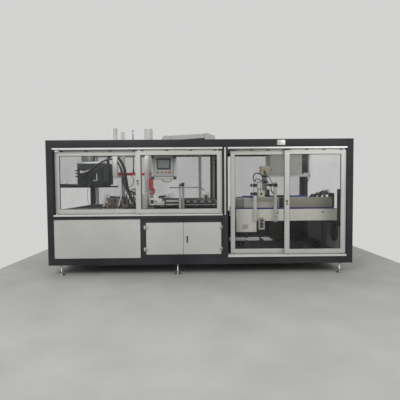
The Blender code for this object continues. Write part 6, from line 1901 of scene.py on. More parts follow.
class ERECTOR_OT_case_bed(bpy.types.Operator):
    """Makes the case bed with its slotted rails, flap block, air cylinder, valves, sensor and cables"""

    bl_idname = "erector.case_bed"
    bl_label = "Case bed"

    def execute(self, context):
        low, high = corners("case_bed")
        top = low[2] + BED_RISE
        length, width = (high - low)[:2]
        bed = [
            block((0, 0, -0.04), (length, width, 0), 0.003),
            block((0.05, width / 2 - 0.15, -BED_RISE), (length - 0.05, width / 2 + 0.15, -0.036), 0.004),
            block((0.03, width / 2 - 0.19, -BED_RISE), (length - 0.03, width / 2 + 0.19, 0.012 - BED_RISE)),
        ]
        rails, strips = [], []
        for number in range(3):
            y = 0.029 + number * (width - 0.058) / 2
            start_x = 0.298 if number == 0 else 0.005
            rails.append(
                slotted_bar((start_x, y, 0.0405), (length - 0.005, y, 0.0405), 0.0885, 0.0495, REAR, 0.042)
            )
            strips.append(
                block((start_x + 0.007, y - 0.014, 0.083), (length - 0.012, y + 0.014, 0.0885), 0.001)
            )
        bolts = screws([(x, 0, -0.02) for x in np.linspace(0.06, length - 0.06, 8)], 0.007, FRONT, 0.005)
        bright = [
            block((0.3, 0.0005, 0.05), (0.52, 0.01, 0.08)),
            block((0.3, 0.0005, 0.004), (0.52, 0.01, 0.016)),
            block((0.01, -0.0005, -0.006), (length - 0.01, 0.006, 0.001), 0.001),
        ]
        black = [
            block((0.3, 0.001, 0.018), (0.52, 0.01, 0.046)),
            block((0.545, -0.0005, 0.004), (length - 0.012, 0.006, 0.03)),
        ]
        for number in range(5):
            x = 0.6 + 0.13 * number
            black.append(block((x, -0.0015, 0.034), (x + 0.05, 0.006, 0.074), 0.003))
            bright.append(
                turned([(0.012, 0), (0.012, 0.004), (0.008, 0.006)], (x + 0.085, 0.003, 0.055), FRONT, 20)
            )
        dim = metal("shaded rail", (0.16, 0.16, 0.15), 0.5, "X", 0.3)
        parts = [
            (dark_coat_and_shade(), bed), (dim, rails), (black_rubber(), [*strips, *black]),
            (white_profile(), bright), (bright_steel(), bolts),
        ]
        piece("case_bed_frame", parts, slot="bare_metal", replaces="case_bed", at=(low[0], low[1], top))
        self.flap_block(low, top)
        self.valves(low, top)
        self.sensor(low, top)
        return {"FINISHED"}

    def flap_block(self, low, top):
        """The flap block with its air cylinder and tubes, and the ribbed box beside it."""
        height = 0.165
        light = [
            block((0.066, 0, 0.004), (0.222, 0.022, 0.112), 0.006, 4),
            block((0, 0, 0.084), (0.066, 0.022, 0.108), 0.003),
            block((0.06, 0.138, 0.012), (0.25, 0.16, height - 0.012), 0.006, 4),
            block((0, 0, -0.001), (0.25, 0.16, 0.02), 0.003),
            block((0.228, 0.002, 0.02), (0.252, 0.158, 0.06), 0.004),
            block((0, 0.01, 0.085), (0.062, 0.15, 0.115), 0.003),
        ]
        dark = [
            block((0.004, 0.03, 0.02), (0.2, 0.13, 0.085), 0.004),
            turned([(0.013, 0), (0.013, 0.006), (0.009, 0.008)], (0.108, 0, 0.062), FRONT, 26),
            block((0.19, 0.06, 0.1), (0.285, 0.13, 0.166), 0.004),
            block((0.15, 0.045, 0.085), (0.222, 0.115, height - 0.006), 0.004),
        ]
        ram_z = height - 0.04
        ram = [
            turned(
                [
                    (0.026, 0), (0.026, 0.014), (0.0225, 0.0155), (0.0225, 0.084), (0.026, 0.0855),
                    (0.026, 0.0995),
                ],
                (0.248, 0.08, ram_z), RIGHT, 32,
            ),
            turned([(0.007, 0), (0.007, 0.045)], (0.345, 0.08, ram_z), RIGHT, 16),
        ]
        fittings = [
            turned(
                [(0.006, 0), (0.006, 0.012), (0.0045, 0.013), (0.0045, 0.02)], (dx, 0.08, ram_z + 0.0215),
                UP, 14,
            )
            for dx in (0.262, 0.335)
        ]
        bolts = screws(grid((0.082, 0.206), 0, (0.026, 0.096)), 0.0055, FRONT, 0.004)
        parts = [
            (cream_sheet(), light), (black_plastic(), dark), (machined(), ram),
            (bright_steel(), [*fittings, bolts]),
        ]
        at = (low[0] + 0.008, low[1] + 0.004, top)
        piece("flap_folding_block", parts, slot="light_machine", at=at)
        box_low = np.array([-1.04, low[1] - 0.03, low[2]])
        box_high = np.array([-0.945, low[1] + 0.05, 1.318])
        ribs = [
            block(
                (box_low[0] + 0.012 + 0.019 * n, box_low[1] - 0.0008, box_low[2] + 0.02),
                (box_low[0] + 0.017 + 0.019 * n, box_low[1] + 0.003, 1.3), 0.0006, 1,
            )
            for n in range(5)
        ]
        parts = [(white_profile(), block(box_low, box_high, 0.005, 4)), (black_plastic(), ribs)]
        piece("flap_drive_box", parts, slot="light_machine")
        for number in range(2):
            start = np.array([0.262 + 0.073 * number, 0.08, ram_z + 0.04])
            end = np.array([0.537, 0.093 + 0.03 * number, 0.011])
            points = [
                start, start + (0, 0, 0.03), start + (0.04, -0.005, 0.045 + 0.01 * number),
                (start + end) / 2 + (0.01, 0.02, 0.02), end - (0.07, 0, -0.008), end - (0.03, 0, 0), end,
            ]
            cable(f"air_tube_{number + 1}", points, 0.006, passes=150, at=at)

    def valves(self, low, top):
        """A row of air valves on the bed: black bodies on a bright manifold, each with a push-in fitting."""
        at = (low[0] + 0.56, low[1] + 0.075, top)
        manifold = block((0, 0, -0.001), (0.33, 0.075, 0.022), 0.003)
        body = joined(block((0, 0.006, 0.021), (0.029, 0.069, 0.066), 0.003),
                      block((0.004, 0.002, 0.03), (0.025, 0.008, 0.052)))
        bodies = repeated(body, [(0.012 + 0.036 * n, 0, 0) for n in range(8)])
        fitting = turned(
            [(0.0055, 0), (0.0055, 0.009), (0.0042, 0.01), (0.0042, 0.015)], (0, 0, 0.011), FRONT, 12
        )
        fittings = repeated(fitting, [(0.0265 + 0.036 * n, 0, 0) for n in range(8)])
        regulator = [
            turned(
                [(0.02, 0), (0.022, 0.004), (0.022, 0.05), (0.018, 0.055)], (0.4, 0.035, -0.001), UP, 28
            ),
            turned(
                [(0.016, 0), (0.017, 0.003), (0.017, 0.02), (0.014, 0.023)], (0.4, 0.035, 0.054), UP, 24
            ),
        ]
        coils = turned(
            [(0.012, 0), (0.014, 0.003), (0.014, 0.045), (0.012, 0.048)], (0.455, 0.035, -0.001), UP, 24
        )
        parts = [
            (machined(), manifold), (black_plastic(), [bodies, *regulator]),
            (bright_steel(), [fittings, coils]),
        ]
        piece("air_valves", parts, slot="black_trim", at=at)
        for number in range(5):
            start = np.array([0.0265 + 0.036 * (number + 2), -0.012, 0.011])
            end = np.array([start[0] + 0.15 + 0.03 * number, -0.03, 0.001])
            points = [
                start, start + (0, -0.03, 0), start + (0.02, -0.04, 0.03 + 0.004 * number),
                (start + end) / 2 + (0, -0.02, 0.05 + 0.005 * number), end + (-0.01, -0.01, 0.05),
                end + (0, 0, 0.03), end,
            ]
            cable(f"valve_tube_{number + 1}", points, 0.008, at=at)

    def sensor(self, low, top):
        """A beige sensor housing on a bracket, with a dark window and a black side cover."""
        at = (low[0] + 0.965, low[1] + 0.058, top)
        height = 0.18
        beige = painted("beige coat", (0.42, 0.4, 0.33), 0.45, 0.05)
        body = [block((0, 0, 0.03), (0.092, 0.1, height), 0.006, 4),
                block((0.02, 0.02, -0.001), (0.07, 0.08, 0.034), 0.003)]
        window = [block((0.03, -0.0012, 0.08), (0.076, 0.004, 0.158)),
                  block((0.088, 0.008, 0.045), (0.1, 0.092, height - 0.01), 0.003)]
        knob = turned([(0.009, 0), (0.009, 0.01), (0.007, 0.012)], (0.016, 0, 0.055), FRONT, 20)
        bolts = screws(grid((0.012, 0.082), 0, (0.042, height - 0.012)), 0.004, FRONT, 0.003)
        piece(
            "case_sensor", [(beige, body), (black_plastic(), [*window, knob]), (bright_steel(), bolts)],
            slot="light_machine", at=at,
        )
        points = [
            (0.05, 0.05, height), (0.05, 0.05, height + 0.03), (0.085, 0.06, height + 0.055),
            (0.125, 0.07, 0.2), (0.128, 0.07, 0.12), (0.128, 0.07, 0.03),
            (0.128, 0.07, 0.001),
        ]
        cable("sensor_cable", points, 0.0055, passes=120, at=at)


# Front left corner of the guide posts, their width, pitch and top
GUIDE_POST_PLACE = (-0.374, -0.6)
GUIDE_POST_WIDTH = 0.038
GUIDE_POST_PITCH = 0.055
GUIDE_POST_TOP = 1.488


class ERECTOR_OT_guides(bpy.types.Operator):
    """Makes the guide posts with their clamp and rod, and the two support posts under the roof"""

    bl_idname = "erector.guides"
    bl_label = "Guide and support posts"

    def execute(self, context):
        x, y = GUIDE_POST_PLACE
        floor = corners("guide_posts")[0][2]
        width, pitch, top = GUIDE_POST_WIDTH, GUIDE_POST_PITCH, GUIDE_POST_TOP
        light = slotted_bar(
            (width / 2, width / 2, floor), (width / 2, width / 2, top - 0.006), width - 0.0005,
            width - 0.0005, REAR,
        )
        grey = slotted_bar((pitch + width / 2, width / 2, floor), (pitch + width / 2, width / 2, top - 0.03),
                           width - 0.0005, width - 0.0005, REAR)
        clamp = [
            block(
                (pitch - 0.01, -0.004, top - 0.06), (pitch + width + 0.004, width + 0.004, top + 0.004),
                0.005, 4,
            ),
            block((0.004, -0.003, top - 0.056), (pitch, width + 0.003, top - 0.026), 0.003),
        ]
        feet = [block((-0.012, -0.004, floor), (pitch + width + 0.012, 0.085, floor + 0.01))]
        rod_z, rod_y = 1.408, -0.004
        right = pitch + width
        route = [
            (-0.15, rod_y, rod_z), (0, rod_y, rod_z), (right, rod_y, rod_z), (right + 0.2, rod_y, rod_z),
            (right + 0.252, rod_y, rod_z - 0.001), (right + 0.306, rod_y, rod_z - 0.02),
            (right + 0.36, rod_y, rod_z - 0.06),
        ]
        guide = tube(route, 0.0095, 8, 16, REAR)
        tips = [turned([(0.0108, 0), (0.0108, 0.012), (0.007, 0.015)], (-0.146, rod_y, rod_z), LEFT, 18)]
        handle = turned(
            [(0.006, 0), (0.006, 0.01), (0.011, 0.011), (0.011, 0.026), (0.009, 0.028)],
            (pitch + 0.019, -0.004, top - 0.03), FRONT, 22,
        )
        bolts = screws([(0.018, 0.06, floor + 0.01), (pitch + 0.018, 0.06, floor + 0.01)], 0.005, UP, 0.004)
        parts = [
            (white_profile(), light), (machined("Z"), grey), (black_plastic(), [*clamp, handle, *tips]),
            (machined("X"), guide), (bright_steel(), bolts), (dark_steel(), feet),
        ]
        piece("guide_post_pair", parts, slot="bare_metal", replaces="guide_posts", at=(x, y, 0))
        self.support()
        return {"FINISHED"}

    def support(self):
        """The two posts under the roof, tied near their tops."""
        low, high = corners("support_posts")
        x, y = low[0], low[1]
        slim_x = high[0] - 0.004 - 0.045
        post = slotted_bar((x + 0.03, y + 0.03, low[2]), (x + 0.03, y + 0.03, high[2]), 0.0595, 0.0595, REAR)
        slim = block((slim_x, y, low[2]), (slim_x + 0.045, y + 0.045, high[2] - 0.02), 0.003)
        tie = slotted_bar(
            (x + 0.004, y + 0.026, high[2] - 0.022), (high[0], y + 0.026, high[2] - 0.022), 0.036, 0.036
        )
        feet = [block((x + 0.002, y + 0.058, low[2]), (x + 0.058, y + 0.1, low[2] + 0.01)),
                block((slim_x + 0.002, y + 0.043, low[2]), (slim_x + 0.043, y + 0.09, low[2] + 0.01))]
        parts = [(panel_coat(), [post, tie]), (frame_paint(), slim), (dark_steel(), feet)]
        piece("support_post_pair", parts, slot="bare_metal", replaces="support_posts")


# Right bay


# The outfeed conveyor's side plates, from corner to corner, and the floor tray's top below them
OUTFEED_X = (0.605, 2.4)
OUTFEED_Y = (-0.7, 0.31)
OUTFEED_Z = (0.819, 1.019)
TRAY_TOP = 0.2203


class ERECTOR_OT_outfeed(bpy.types.Operator):
    """Makes the outfeed conveyor: side plates, belt, legs, drive guard, posts, boxes and floor cables"""

    bl_idname = "erector.outfeed"
    bl_label = "Outfeed conveyor"

    def execute(self, context):
        x_low, x_high = OUTFEED_X
        y_low, y_high = OUTFEED_Y
        z_low, z_high = OUTFEED_Z
        tray = TRAY_TOP
        self.plates(x_low, x_high, y_low, y_high, z_low, z_high)
        self.legs(y_low, y_high, z_low, tray)
        self.drive_cover(x_low, y_low, z_high)
        self.posts(z_low)
        self.belt(x_low, x_high, y_high)
        self.low_pieces(tray)
        return {"FINISHED"}

    def plates(self, x_low, x_high, y_low, y_high, z_low, z_high):
        """The two folded side plates, their cross pieces, top strips and screws."""
        section = [
            (0, z_low), (0, z_high), (0.01, z_high), (0.01, z_low + 0.006), (0.04, z_low + 0.006),
            (0.04, z_low),
        ]
        front = np.array([(y_low + y, z) for y, z in section])
        rear = np.array([(y_high - y, z) for y, z in section])
        shapes = [
            plate(front, x_high - x_low, (x_low + x_high) / 2, "YZ"),
            plate(rear, x_high - x_low, (x_low + x_high) / 2, "YZ"),
        ]
        ends = [
            block((x, y_low + 0.008, z_low + 0.03), (x + 0.006, y_high - 0.008, z_low + 0.1))
            for x in (x_low + 0.075, x_high - 0.085)
        ]
        tops = [
            block((x_low + 0.004, y, z_high - 0.001), (x_high - 0.004, y + 0.01, z_high + 0.003), 0.001)
            for y in (y_low, y_high - 0.01)
        ]
        places = [(x_low + 0.73, 0.958), (1.45, 0.965), (2.12, 0.965)]
        heads = joined(*[hexagon_nut((x, y_low, z), 0.01, 0.007, FRONT) for x, z in places])
        washers = screws([(x, y_low, z) for x, z in places], 0.013, FRONT, 0.0015)
        parts = [(cream_sheet(), [*shapes, *ends]), (machined(), tops), (dark_steel(), [heads, washers])]
        piece("outfeed_side_plates", parts, slot="grey_panel", replaces="outfeed_frame")

    def legs(self, y_low, y_high, z_low, tray):
        """Four square legs with foot plates, each pair tied above and below."""
        shapes, feet = [], []
        for x in (0.765, 2.13):
            for y in (y_low + 0.004, y_high - 0.064):
                shapes.append(block((x, y, tray + 0.012), (x + 0.06, y + 0.06, z_low + 0.06), 0.004))
                feet.append(
                    block(
                        (x - 0.015, y - (0.012 if y > 0 else 0), tray),
                        (x + 0.075, y + 0.072, tray + 0.012),
                    )
                )
            shapes.append(
                block(
                    (x + 0.006, y_low + 0.06, z_low + 0.006), (x + 0.054, y_high - 0.06, z_low + 0.054),
                    0.003,
                )
            )
            shapes.append(
                block((x + 0.01, y_low + 0.06, tray + 0.16), (x + 0.05, y_high - 0.06, tray + 0.2), 0.003)
            )
        piece("outfeed_legs", [(frame_paint(), shapes), (dark_steel(), feet)], slot="charcoal_frame")

    def drive_cover(self, x_low, y_low, z_high):
        """The guard over the drive, with its seam, rivets and slits."""
        low = np.array([x_low + 0.004, y_low - 0.05, z_high + 0.008 - 0.394])
        high = np.array([x_low + 0.355, y_low + 0.005, z_high + 0.008])
        shapes = [block(low, high, 0.006, 4)]
        seam = block(
            (low[0] + 0.3, low[1] - 0.0008, low[2] + 0.004),
            (low[0] + 0.303, low[1] + 0.002, high[2] - 0.004), 0.0004, 1,
        )
        rivets = screws(
            [(low[0] + 0.325, low[1], z) for z in np.linspace(low[2] + 0.03, high[2] - 0.03, 9)], 0.0055,
            FRONT, 0.003,
        )
        corner = screws(
            [(low[0] + 0.02, low[1], z) for z in (low[2] + 0.02, low[2] + 0.2, high[2] - 0.02)], 0.005,
            FRONT, 0.003,
        )
        slit = block((0, low[1] - 0.0008, 0), (0.1, low[1] + 0.002, 0.004), 0.0004, 1)
        slits = repeated(slit, [(low[0] + 0.1, 0, low[2] + 0.06 + 0.011 * n) for n in range(7)])
        parts = [
            (cream_sheet(), shapes), (bright_steel(), [rivets, corner]), (black_plastic(), [seam, slits])
        ]
        piece("outfeed_drive_guard", parts, slot="grey_panel")

    def posts(self, z_low):
        """The two side posts with their knobs, the dark clamp blocks, and the cream box between them."""
        first = block((0.905, -0.796, z_low + 0.004), (0.955, -0.746, 1.49), 0.003)
        second = block((1.265, -0.746, 0.804), (1.315, -0.696, 1.49), 0.003)
        caps = [
            block((0.9045, -0.7965, 1.486), (0.9555, -0.7455, 1.49), 0.001),
            block((1.2645, -0.7465, 1.486), (1.3155, -0.6955, 1.49), 0.001),
        ]
        mounts = [
            block((0.893, -0.7455, 0.87), (0.967, -0.7005, 0.93), 0.003),
            block((1.253, -0.7005, 0.85), (1.327, -0.6965, 0.98)),
        ]
        bolts = [hexagon_nut((1.29, -0.746, z), 0.0095, 0.006, FRONT) for z in (0.832, 0.9)]
        knobs, stems = [], []
        for x, y, z, stem, reach, wide_to, end in (
            (0.905, -0.771, 1.435, 0.022, 0.018, 0.03, 0.034),
            (0.905, -0.771, 1.29, 0.022, 0.018, 0.03, 0.034),
            (1.265, -0.721, 1.435, 0.03, 0.024, 0.045, 0.05),
        ):
            stems.append(turned([(0.008, 0), (0.008, stem)], (x, y, z), LEFT, 14))
            knob = [(0.012, 0), (0.023, 0.004), (0.025, 0.012), (0.025, wide_to), (0.02, end)]
            knobs.append(turned(knob, (x - reach, y, z), LEFT, 20))
        clamp = [block((0.898, -0.803, z - 0.028), (0.962, -0.739, z + 0.028), 0.004) for z in (1.435, 1.29)]
        clamp.append(block((1.258, -0.753, 1.407), (1.322, -0.689, 1.463), 0.004))
        piece(
            "outfeed_side_posts",
            [
                (white_profile(), [first, second, *mounts]), (machined("Z"), caps),
                (bright_steel(), [*bolts, *stems]), (black_plastic(), [*knobs, *clamp]),
            ],
            slot="light_machine",
        )
        box_low, box_high = np.array([0.985, -0.76, 1.235]), np.array([1.1, -0.68, 1.345])
        shapes = [block(box_low, box_high, 0.006, 4), block((0.955, -0.75, 1.26), (0.99, -0.72, 1.3))]
        arm = slotted_bar((0.955, -0.735, 1.22), (1.265, -0.735, 1.22), 0.03, 0.03)
        face = [
            turned(
                [(0.02, 0), (0.02, 0.004), (0.015, 0.005), (0.015, 0.012)], (1.04, -0.76, 1.29), FRONT, 26
            )
        ]
        legs = block((1.00, -0.745, 1.228), (1.085, -0.7, 1.24))
        piece(
            "side_sensor_box", [(cream_coat(), shapes), (machined(), [arm, legs]), (black_plastic(), face)],
            slot="light_machine",
        )

    def belt(self, x_low, x_high, y_high):
        """The belt with its round ends over two rollers, and the bearing blocks outside them."""
        rounded_copy("outfeed_belt", "outfeed_belt_cover", blue_belting(), 0.001, "blue_belt")
        ends = []
        for x in (x_low + 0.049, x_high - 0.049):
            ends.append(
                turned(
                    [(0.01, 0), (0.016, 0.002), (0.016, 0.018), (0.012, 0.02)], (x, y_high, 0.98), REAR, 24
                )
            )
        piece("outfeed_shaft_ends", [(bright_steel(), ends)], slot="bare_metal")

    def low_pieces(self, tray):
        """The terminal box, the low rail and its links, and the drip pan."""
        box_x = 1.0
        frame_shape = [
            framed(
                (box_x, 0.677), (box_x + 0.1, 0.867), 0.016, 0.016, [(0, 0), (1, 0.15), (1, 0.85), (0, 1)],
                -0.7497, -0.7,
            ),
            block((box_x + 0.004, -0.725, 0.681), (box_x + 0.096, -0.698, 0.863)),
        ]
        inner = [block((box_x + 0.018, -0.7345, 0.7), (box_x + 0.082, -0.724, 0.844), 0.003)]
        holes = [turned([(0.01, 0), (0.01, 0.004), (0.007, 0.0055)], (box_x + dx, -0.7345, z), FRONT, 20)
                 for dx in (0.034, 0.066) for z in (0.735, 0.8)]
        tops = [
            turned([(0.009, 0), (0.009, 0.01), (0.007, 0.012)], (box_x + dx, -0.725, 0.866), UP, 18)
            for dx in (0.03, 0.07)
        ]
        piece(
            "outfeed_terminal",
            [(cream_coat(), frame_shape), (black_plastic(), [*inner, *tops]), (bright_steel(), holes)],
            slot="light_machine",
        )
        bar_shape = [
            block((0.497, -0.691, 0.476), (1.02, -0.671, 0.534), 0.003),
            block((0.765, -0.698, 0.485), (0.825, -0.69, 0.525)),
        ]
        slanted = plate([(1.04, 0.534), (1.185, 0.534), (1.255, 0.476), (1.105, 0.476)], 0.02, -0.681, "XZ")
        piece("outfeed_low_rail", [(white_profile(), [*bar_shape, slanted])], slot="light_machine")
        rods = [
            bar((1.015, -0.665, 0.505), (1.11, -0.665, 0.505), 0.05, 0.01),
            bar((1.055, -0.664, 0.515), (1.16, -0.664, 0.44), 0.012, 0.012, REAR),
            bar((1.18, -0.664, 0.53), (1.295, -0.664, 0.48), 0.01, 0.01, REAR),
        ]
        piece("outfeed_low_links", [(black_plastic(), rods)], slot="black_trim")
        pan = [block((1.66, -0.78, tray), (1.86, -0.56, tray + 0.004), 0.001)]
        pan += [block((1.66, y, tray), (1.86, y + 0.004, tray + 0.032), 0.001) for y in (-0.78, -0.564)]
        pan += [block((x, -0.78, tray), (x + 0.004, -0.56, tray + 0.032), 0.001) for x in (1.66, 1.856)]
        piece("drip_pan", [(white_profile(), pan)], slot="light_machine")
        self.floor_cables(tray)

    def floor_cables(self, tray):
        """Loose control cables in loops over the floor tray; each end goes down through a grommet."""
        rings = []
        for number in range(6):
            start = np.array([1.4 + 0.06 * number, -0.56 + 0.045 * number, tray])
            end = start + (0.3 + 0.04 * (number % 3), 0.05, 0)
            lift = 0.1 + 0.03 * (number % 3)
            points = [
                start, start + (0, 0, 0.04), start + (0.03, -0.03, lift),
                start + (0.13, -0.06, lift + 0.03), (start + end) / 2 + (0.03, -0.05, lift),
                end + (-0.03, -0.03, lift * 0.8), end + (0, 0, 0.04), end,
            ]
            cable(f"floor_cable_{number + 1}", points, 0.014)
            rings += [
                turned([(0.014, 0.0003), (0.014, 0.006), (0.01, 0.01)], place, UP, 20)
                for place in (start, end)
            ]
        piece("floor_grommets", [(black_rubber(), rings)], slot="black_trim")


# Underside of the side belts over the outfeed belt, and the height of the front unit's cover
SIDE_BELT_LOW = 1.0253
COVER_TOP = SIDE_BELT_LOW + 0.195


class ERECTOR_OT_side_belts(bpy.types.Operator):
    """Makes the side-belt units with their drive head, clamps, air lines and cable bundle"""

    bl_idname = "erector.side_belts"
    bl_label = "Side belts"

    def execute(self, context):
        self.housing()
        self.head(COVER_TOP)
        self.cables(COVER_TOP)
        return {"FINISHED"}

    def housing(self):
        """The front unit's cover with its row of plates, and the rear unit with its belt."""
        low, high = corners("side_belt_housing")
        high = np.array([high[0], -0.485, COVER_TOP])
        low = np.array([low[0], -0.645, SIDE_BELT_LOW])
        cover = block(
            (low[0] + 0.02, low[1] + 0.004, low[2] + 0.018), (high[0] - 0.05, high[1] - 0.004, high[2]),
            0.005, 4,
        )

        def front_plate(start, end, top):
            """A front plate from one x to another, with a gap to the top."""
            return block((start, low[1], low[2] + 0.02), (end, low[1] + 0.008, high[2] - top), 0.003)

        grey = [front_plate(low[0] + 0.022, 0.762, 0.026), front_plate(1.289, 1.373, 0.01)]
        pale = [front_plate(0.771, 0.893, 0.004)]
        cream = [front_plate(0.905, 1.283, 0.012)]
        # Painted reflection: the long plate is shiny steel, and its brown-grey colour stands in for what it
        # reflects
        brown = [front_plate(1.46, 2.304, 0.006)]
        dark = [
            front_plate(1.378, 1.455, 0.006),
            block(
                (2.306, low[1] + 0.002, low[2] + 0.018), (high[0] - 0.004, high[1] - 0.006, high[2] + 0.07),
                0.004,
            ),
        ]
        belt_loop = block(
            (low[0] + 0.002, low[1] + 0.006, low[2] + 0.001),
            (high[0] - 0.002, high[1] - 0.002, low[2] + 0.0175), 0.006, 4,
        )
        bolt_places = [
            (x, low[1], z)
            for x in (0.92, 1.27, 1.475, 1.85, 2.29)
            for z in (low[2] + 0.034, high[2] - 0.026)
        ]
        bolts = screws(bolt_places, 0.005, FRONT, 0.003)
        # Brown-grey coat: a painted reflection on the shiny steel side plate
        painted_reflection_coat = painted("side plate painted reflection", (0.31, 0.295, 0.235), 0.42, 0.05)
        grey_coat = painted("side unit grey", (0.22, 0.21, 0.185), 0.45)
        parts = [
            (machined(), cover), (cream_coat(), cream), (grey_coat, grey), (painted_reflection_coat, brown),
            (white_profile(), pale), (dark_coat_and_shade(), dark), (blue_belting(), belt_loop),
            (bright_steel(), bolts),
        ]
        piece("front_side_belt_unit", parts, slot="bare_metal", replaces="side_belt_housing")
        low, high = corners("rear_side_belt")
        cover = block(
            (low[0] + 0.012, low[1] + 0.01, low[2] + 0.004), (high[0] - 0.012, high[1], high[2] - 0.006),
            0.004,
        )
        loop = block((low[0], low[1], low[2] + 0.012), (high[0], high[1] - 0.012, high[2]), 0.012, 5)
        piece(
            "rear_side_belt_unit", [(machined(), cover), (blue_belting(), loop)], slot="blue_belt",
            replaces="rear_side_belt",
        )

    def head(self, top):
        """The drive head on the front unit: a dark profile column, a clamp block, cylinders and a chain."""
        middle_x, middle_y = 1.1355, -0.565
        column = slotted_bar(
            (middle_x, middle_y, top - 0.004), (middle_x, middle_y, 1.6218), 0.074, 0.074, REAR, 0.036
        )
        dark = [
            block((1.097, -0.634, top - 0.003), (1.217, -0.496, top + 0.06), 0.004),
            block((1.176, -0.6, top + 0.055), (1.216, -0.51, 1.364), 0.006, 4),
            block((1.092, -0.61, 1.47), (1.18, -0.52, 1.52), 0.005),
            block((1.088, -0.606, 1.575), (1.182, -0.524, 1.612), 0.005),
            block((1.18, -0.64, 1.42), (1.205, -0.56, 1.455), 0.003),
        ]
        cylinders = [
            turned(
                [(0.016, 0), (0.016, 0.012), (0.013, 0.013), (0.013, 0.16), (0.016, 0.161), (0.016, 0.172)],
                (x, -0.6, top - 0.002), UP, 24,
            )
            for x in (1.01, 1.055)
        ]
        rods = [
            turned(
                [(0.005, 0), (0.005, 0.08), (0.009, 0.081), (0.009, 0.1)], (x, -0.6, top + 0.168), UP, 16
            )
            for x in (1.01, 1.055)
        ]
        left_box = [
            block((0.64, -0.64, top - 0.004), (0.745, -0.5, top + 0.012), 0.004),
            block((0.86, -0.63, top - 0.002), (0.905, -0.56, top + 0.03), 0.004),
        ]
        chain = [
            block(
                (1.345 + 0.026 * n, -0.61, top - 0.001),
                (1.366 + 0.026 * n, -0.53, top + 0.035 + 0.006 * (n % 2)), 0.003,
            )
            for n in range(9)
        ]
        arm = [slotted_bar((1.00, -0.6, top + 0.275), (1.1, -0.6, top + 0.275), 0.024, 0.024)]
        shade = metal("shaded column", (0.24, 0.23, 0.215), 0.5, "Z", 0.2)
        parts = [
            (shade, column), (machined("Z"), arm), (black_plastic(), [*dark, *left_box, *chain]),
            (bright_steel(), [*cylinders, *rods]),
        ]
        piece("side_belt_head", parts, slot="dark_machine")

    def cables(self, top):
        """The head's hoses, and the bundle: its cables sway as a sine and rise as half a sine wave."""
        arcs = (
            (
                0.018,
                [
                    (1.096, -0.6, 1.595), (1.07, -0.625, 1.635), (1.01, -0.665, 1.66), (0.94, -0.705, 1.65),
                    (0.88, -0.735, 1.6), (0.885, -0.752, 1.545), (0.915, -0.765, 1.51),
                    (0.93, -0.771, 1.488),
                ],
            ),
            (
                0.016,
                [
                    (1.094, -0.6, 1.5), (1.065, -0.63, 1.52), (1.01, -0.67, 1.56), (0.955, -0.705, 1.565),
                    (0.918, -0.728, 1.525), (0.915, -0.74, 1.475), (0.93, -0.746, 1.435),
                ],
            ),
            (
                0.012,
                [
                    (1.18, -0.6, 1.595), (1.205, -0.615, 1.59), (1.222, -0.64, 1.55), (1.226, -0.665, 1.5),
                    (1.24, -0.695, 1.46), (1.262, -0.715, 1.436),
                ],
            ),
            (
                0.014,
                [
                    (1.18, -0.59, 1.5), (1.215, -0.6, 1.48), (1.245, -0.61, 1.42), (1.24, -0.615, 1.35),
                    (1.25, -0.612, 1.29), (1.3, -0.602, 1.256), (1.352, -0.59, 1.246),
                ],
            ),
        )
        for number, (diameter, points) in enumerate(arcs):
            cable(f"head_hose_{number + 1}", points, diameter)
        pale_loop = [
            (1.217, -0.56, 1.33), (1.25, -0.572, 1.345), (1.29, -0.592, 1.33), (1.3, -0.605, 1.29),
            (1.285, -0.605, 1.255), (1.28, -0.6, 1.2203),
        ]
        cable("head_air_line", pale_loop, 0.01, grey_plastic())
        for number in range(8):
            start = np.array([1.9 + 0.034 * number, -0.63 + 0.014 * number, top])
            end = np.array([2.312, -0.62 + 0.012 * number, top + 0.03])
            peak = 0.035 + 0.013 * (number % 5)
            shares = np.array([0.03, 0.16, 0.31, 0.46, 0.61, 0.76, 0.89, 0.97])
            sway = 0.012 * np.sin(shares * 9.0 + number * 1.7)
            rise = 0.03 * shares + peak * np.sin(np.pi * shares) * (
                1.0 + 0.25 * np.sin(shares * 7.0 + number)
            )
            inner = start + (end - start) * shares[:, None]
            inner[:, 1] += sway
            inner[:, 2] = top + rise + 0.012
            cable(f"bundle_cable_{number + 1}", [start, *inner, end], 0.013)
        self.cable_heap(top)

    def cable_heap(self, top):
        """Short coils of cable heaped under the bundle; each leaves the cover and goes back into it."""
        coils = []
        for number in range(18):
            share = number / 17
            start = np.array([1.905 + 0.3 * share, -0.622 + 0.024 * (number % 5), top - 0.002])
            end = start + (0.075 + 0.01 * (number % 3), 0.03 - 0.015 * (number % 4), 0)
            peak = 0.03 + 0.09 * share + 0.014 * (number % 3)
            points = [
                start, start + (-0.004, 0, 0.02), start + (0.006, -0.006, peak * 0.8),
                (start + end) / 2 + (0, -0.012, peak), end + (-0.004, 0.004, peak * 0.75),
                end + (0.004, 0, 0.02), end,
            ]
            coils.append(tube(relaxed(smooth_path(points, 5), 0.012, 20), 0.0055, 1, 8, REAR))
        piece("cable_heap", [(cable_jacket(), coils)], slot="black_trim")


# Front left corner of the overhead box over its beam, and its size
OVERHEAD_CORNER = (1.432, 0.3, 1.6637)
OVERHEAD_SIZE = (0.654, 0.42, 0.486)


